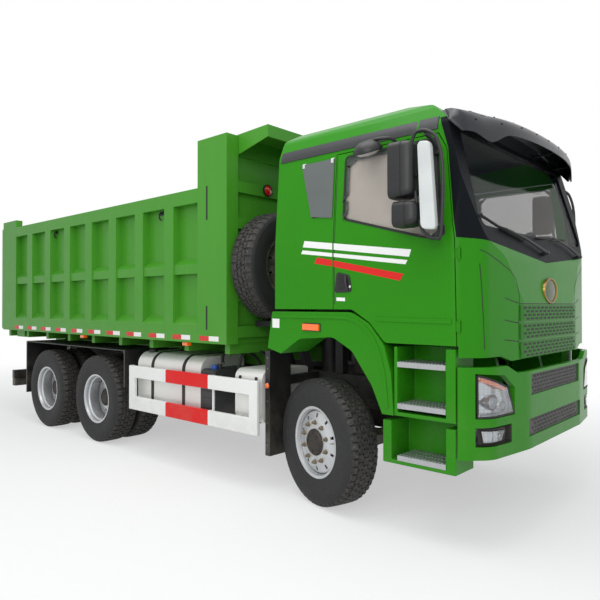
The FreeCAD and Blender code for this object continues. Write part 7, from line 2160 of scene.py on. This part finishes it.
@dataclass
class ChassisTrim:
    """Rows of bolts along the side rails."""

    rear: float = -5.9
    pitch: float = 0.16
    count: int = 38
    rows: Sequence[float] = (0.800, 0.930)
    web: float = 0.46

    def build(self) -> None:
        """Build both rails' trim."""
        skin = Skin("frame_rails")
        for side, word in both():
            bolts = Piece()
            for k in range(self.count):
                for up in self.rows:
                    spot, normal = skin.side(self.rear + k * self.pitch, up, side)
                    if abs(spot.y) < self.web and abs(normal.y) > 0.9:
                        bolts.bolt(spot, normal, 0.010, 0.009)
            bolts.object("rail_bolts_" + word, Finishes.FRAME, "chassis")


@dataclass
class TailEnd:
    """The back: lamp lenses, and the gate's lock plates and red tape."""

    segments: tuple[tuple[str, Finishes, float, float], ...] = (
        ("red", Finishes.LAMP_RED, 0.985, 1.130), ("clear", Finishes.LAMP_CLEAR, 0.880, 0.980),
        ("amber", Finishes.LAMP_AMBER, 0.730, 0.875))
    lamp_low: float = 0.572
    lamp_high: float = 0.678
    locks: Sequence[float] = (0.55, 1.05)
    lock_up: float = 1.46
    tape: Sequence[Flat] = ((0.93, 1.62), (1.13, 1.67))

    def build(self) -> None:
        """Build the whole back."""
        lamps = Skin("tail_lamps")
        for side, word in both():
            for name, finish, low, high in self.segments:
                flats = rectangle(side * low, self.lamp_low, side * high, self.lamp_high)
                lamps.laid(lamps.back, flats, 0.012, 0.001, 6, 4).object(
                    f"tail_lens_{name}_{word}", finish, "chassis", ROUND)
        gate, hardware = Skin("tailgate"), Piece()
        for side, word in both():
            for across in self.locks:
                spot, _ = gate.back(side * across, self.lock_up)
                hardware.box(spot, (-0.004, -0.045, -0.05), (0.010, 0.045, 0.05), 0.003)
                for up in (-0.03, 0.03):
                    hardware.bolt(spot + Vector((-0.004, 0, up)), -AHEAD, 0.011, 0.008)
            low, high = self.tape
            tape = gate.laid(gate.back, rectangle(side * low[0], low[1], side * high[0], high[1]), 0.0009,
                             columns=4, rows=2)
            tape.object("gate_tape_red_" + word, Finishes.TAPE_RED, "rear_gate")
        hardware.object("gate_lock_plates", Finishes.FRAME, "rear_gate")


# Studio

@dataclass
class Studio:
    """Camera, pale floor and soft light."""

    stand: Spot = (5.603, -4.892, 1.705)
    turn: float = 2.303
    tilt: float = 0.009
    lens: float = 34.756
    floor: Colour = (0.86, 0.86, 0.86, 1.0)
    floor_white: float = 0.5
    floor_half: float = 60.0
    sensor: float = 36.0
    white: Colour = (1.0, 1.0, 1.0, 1.0)
    sky: Colour = (0.94, 0.97, 1.0, 1.0)
    sky_strength: float = 0.6
    lamps: tuple[tuple[str, Spot, Spot, float, float], ...] = (
        ("overhead", (2.0, -2.5, 9.0), (0.0, 0.0, 1.2), 7.0, 430.0),
        ("near_side", (6.5, -8.5, 5.0), (1.5, -0.5, 1.4), 5.0, 260.0))

    def camera(self) -> None:
        """Put the camera where the photograph was taken from."""
        data = bpy.data.cameras.new("photo_camera")
        data.lens, data.sensor_width, data.sensor_fit = self.lens, self.sensor, "AUTO"
        data.clip_start, data.clip_end = 0.05, 200.0
        camera = bpy.data.objects.new("photo_camera", data)
        bpy.context.scene.collection.objects.link(camera)
        way = Vector((math.cos(self.tilt) * math.cos(self.turn), math.cos(self.tilt) * math.sin(self.turn),
                      math.sin(self.tilt)))
        camera.rotation_mode = "QUATERNION"
        camera.rotation_quaternion = way.to_track_quat("-Z", "Y")
        camera.location = self.stand
        bpy.context.scene.camera = camera

    def ground(self) -> None:
        """Lay the pale floor, which the camera sees as near white away from the shadow."""
        mesh = bpy.data.meshes.new("floor")
        size = self.floor_half
        mesh.from_pydata([(x, y, 0) for x, y in rectangle(-size, -size, size, size)], [], [(0, 1, 2, 3)])
        floor = bpy.data.objects.new("floor", mesh)
        bpy.context.scene.collection.objects.link(floor)
        mesh.materials.append(self.floor_material(Graph("pale_floor")))

    def floor_material(self, graph: Graph) -> bpy.types.Material:
        """A pale matt floor that seen rays and gloss take for white, more so away from the truck."""
        matt = graph.node("BsdfDiffuse", Color=self.floor)
        white = graph.node("Emission", Color=self.white, Strength=1.0)
        spot = graph.stretched(0.55, 1.0, 1.0)
        away = graph.node("VectorMath", {"operation": "LENGTH"}, out="Value", i0=spot).ramp(2.4, 7.5)
        rays = {name: graph.node("LightPath", out=f"Is {name} Ray") for name in ("Camera", "Glossy",
                                                                                 "Transmission")}
        seen = (rays["Camera"] + rays["Glossy"] + rays["Transmission"]).clamped()
        blend = graph.node("MixShader", i0=seen * (away * (1.0 - self.floor_white) + self.floor_white),
                           i1=matt, i2=white)
        graph.tree.links.new(blend.output, graph.end.inputs["Surface"])
        return graph.material

    def lamp(self, name: str, spot: Spot, aim: Spot, size: float, power: float) -> None:
        """Hang one soft lamp.

        Args:
            name: the lamp's name.
            spot: where it hangs.
            aim: what it points at.
            size: its side in metres.
            power: its power in watts.
        """
        data = bpy.data.lights.new(name, "AREA")
        data.shape, data.size, data.energy = "SQUARE", size, power
        lamp = bpy.data.objects.new(name, data)
        bpy.context.scene.collection.objects.link(lamp)
        lamp.location = spot
        lamp.rotation_mode = "QUATERNION"
        lamp.rotation_quaternion = (Vector(aim) - Vector(spot)).to_track_quat("-Z", "Y")

    def world(self) -> None:
        """A soft sky that lights evenly and shows white to the camera, to gloss and through glass."""
        world = bpy.data.worlds.new("soft_sky")
        bpy.context.scene.world = world
        world.use_nodes = True
        tree = world.node_tree
        tree.nodes.clear()
        end, path = tree.nodes.new("ShaderNodeOutputWorld"), tree.nodes.new("ShaderNodeLightPath")
        camera, through, gloss = (Socket(tree, path.outputs[f"Is {ray} Ray"])
                                  for ray in ("Camera", "Transmission", "Glossy"))
        seen = camera + through + gloss
        white, soft = tree.nodes.new("ShaderNodeBackground"), tree.nodes.new("ShaderNodeBackground")
        for node, colour, strength in ((white, self.white, 1.0), (soft, self.sky, self.sky_strength)):
            join(tree, colour, node.inputs["Color"])
            join(tree, strength, node.inputs["Strength"])
        mix = tree.nodes.new("ShaderNodeMixShader")
        join(tree, seen.clamped(), mix.inputs[0])
        tree.links.new(soft.outputs[0], mix.inputs[1])
        tree.links.new(white.outputs[0], mix.inputs[2])
        tree.links.new(mix.outputs[0], end.inputs["Surface"])

    def build(self) -> None:
        """Set the whole studio."""
        bpy.context.scene.view_settings.view_transform = "Standard"
        self.camera()
        self.ground()
        self.world()
        for lamp in self.lamps:
            self.lamp(*lamp)


def main() -> None:
    """Build the truck's looks piece by piece."""
    logging.basicConfig(level=logging.INFO, format="%(message)s")
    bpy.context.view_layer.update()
    for part in (Studio(), Dressing(), Wheels(), CabSide(), CabFront(), Visor(), Mirrors(), Interior(),
                 Lamps(), Steps(), BedTrim(), SideKit(), ChassisTrim(), TailEnd()):
        part.build()
        LOG.info("built %s", type(part).__name__)


if __name__ == "__main__":
    main()
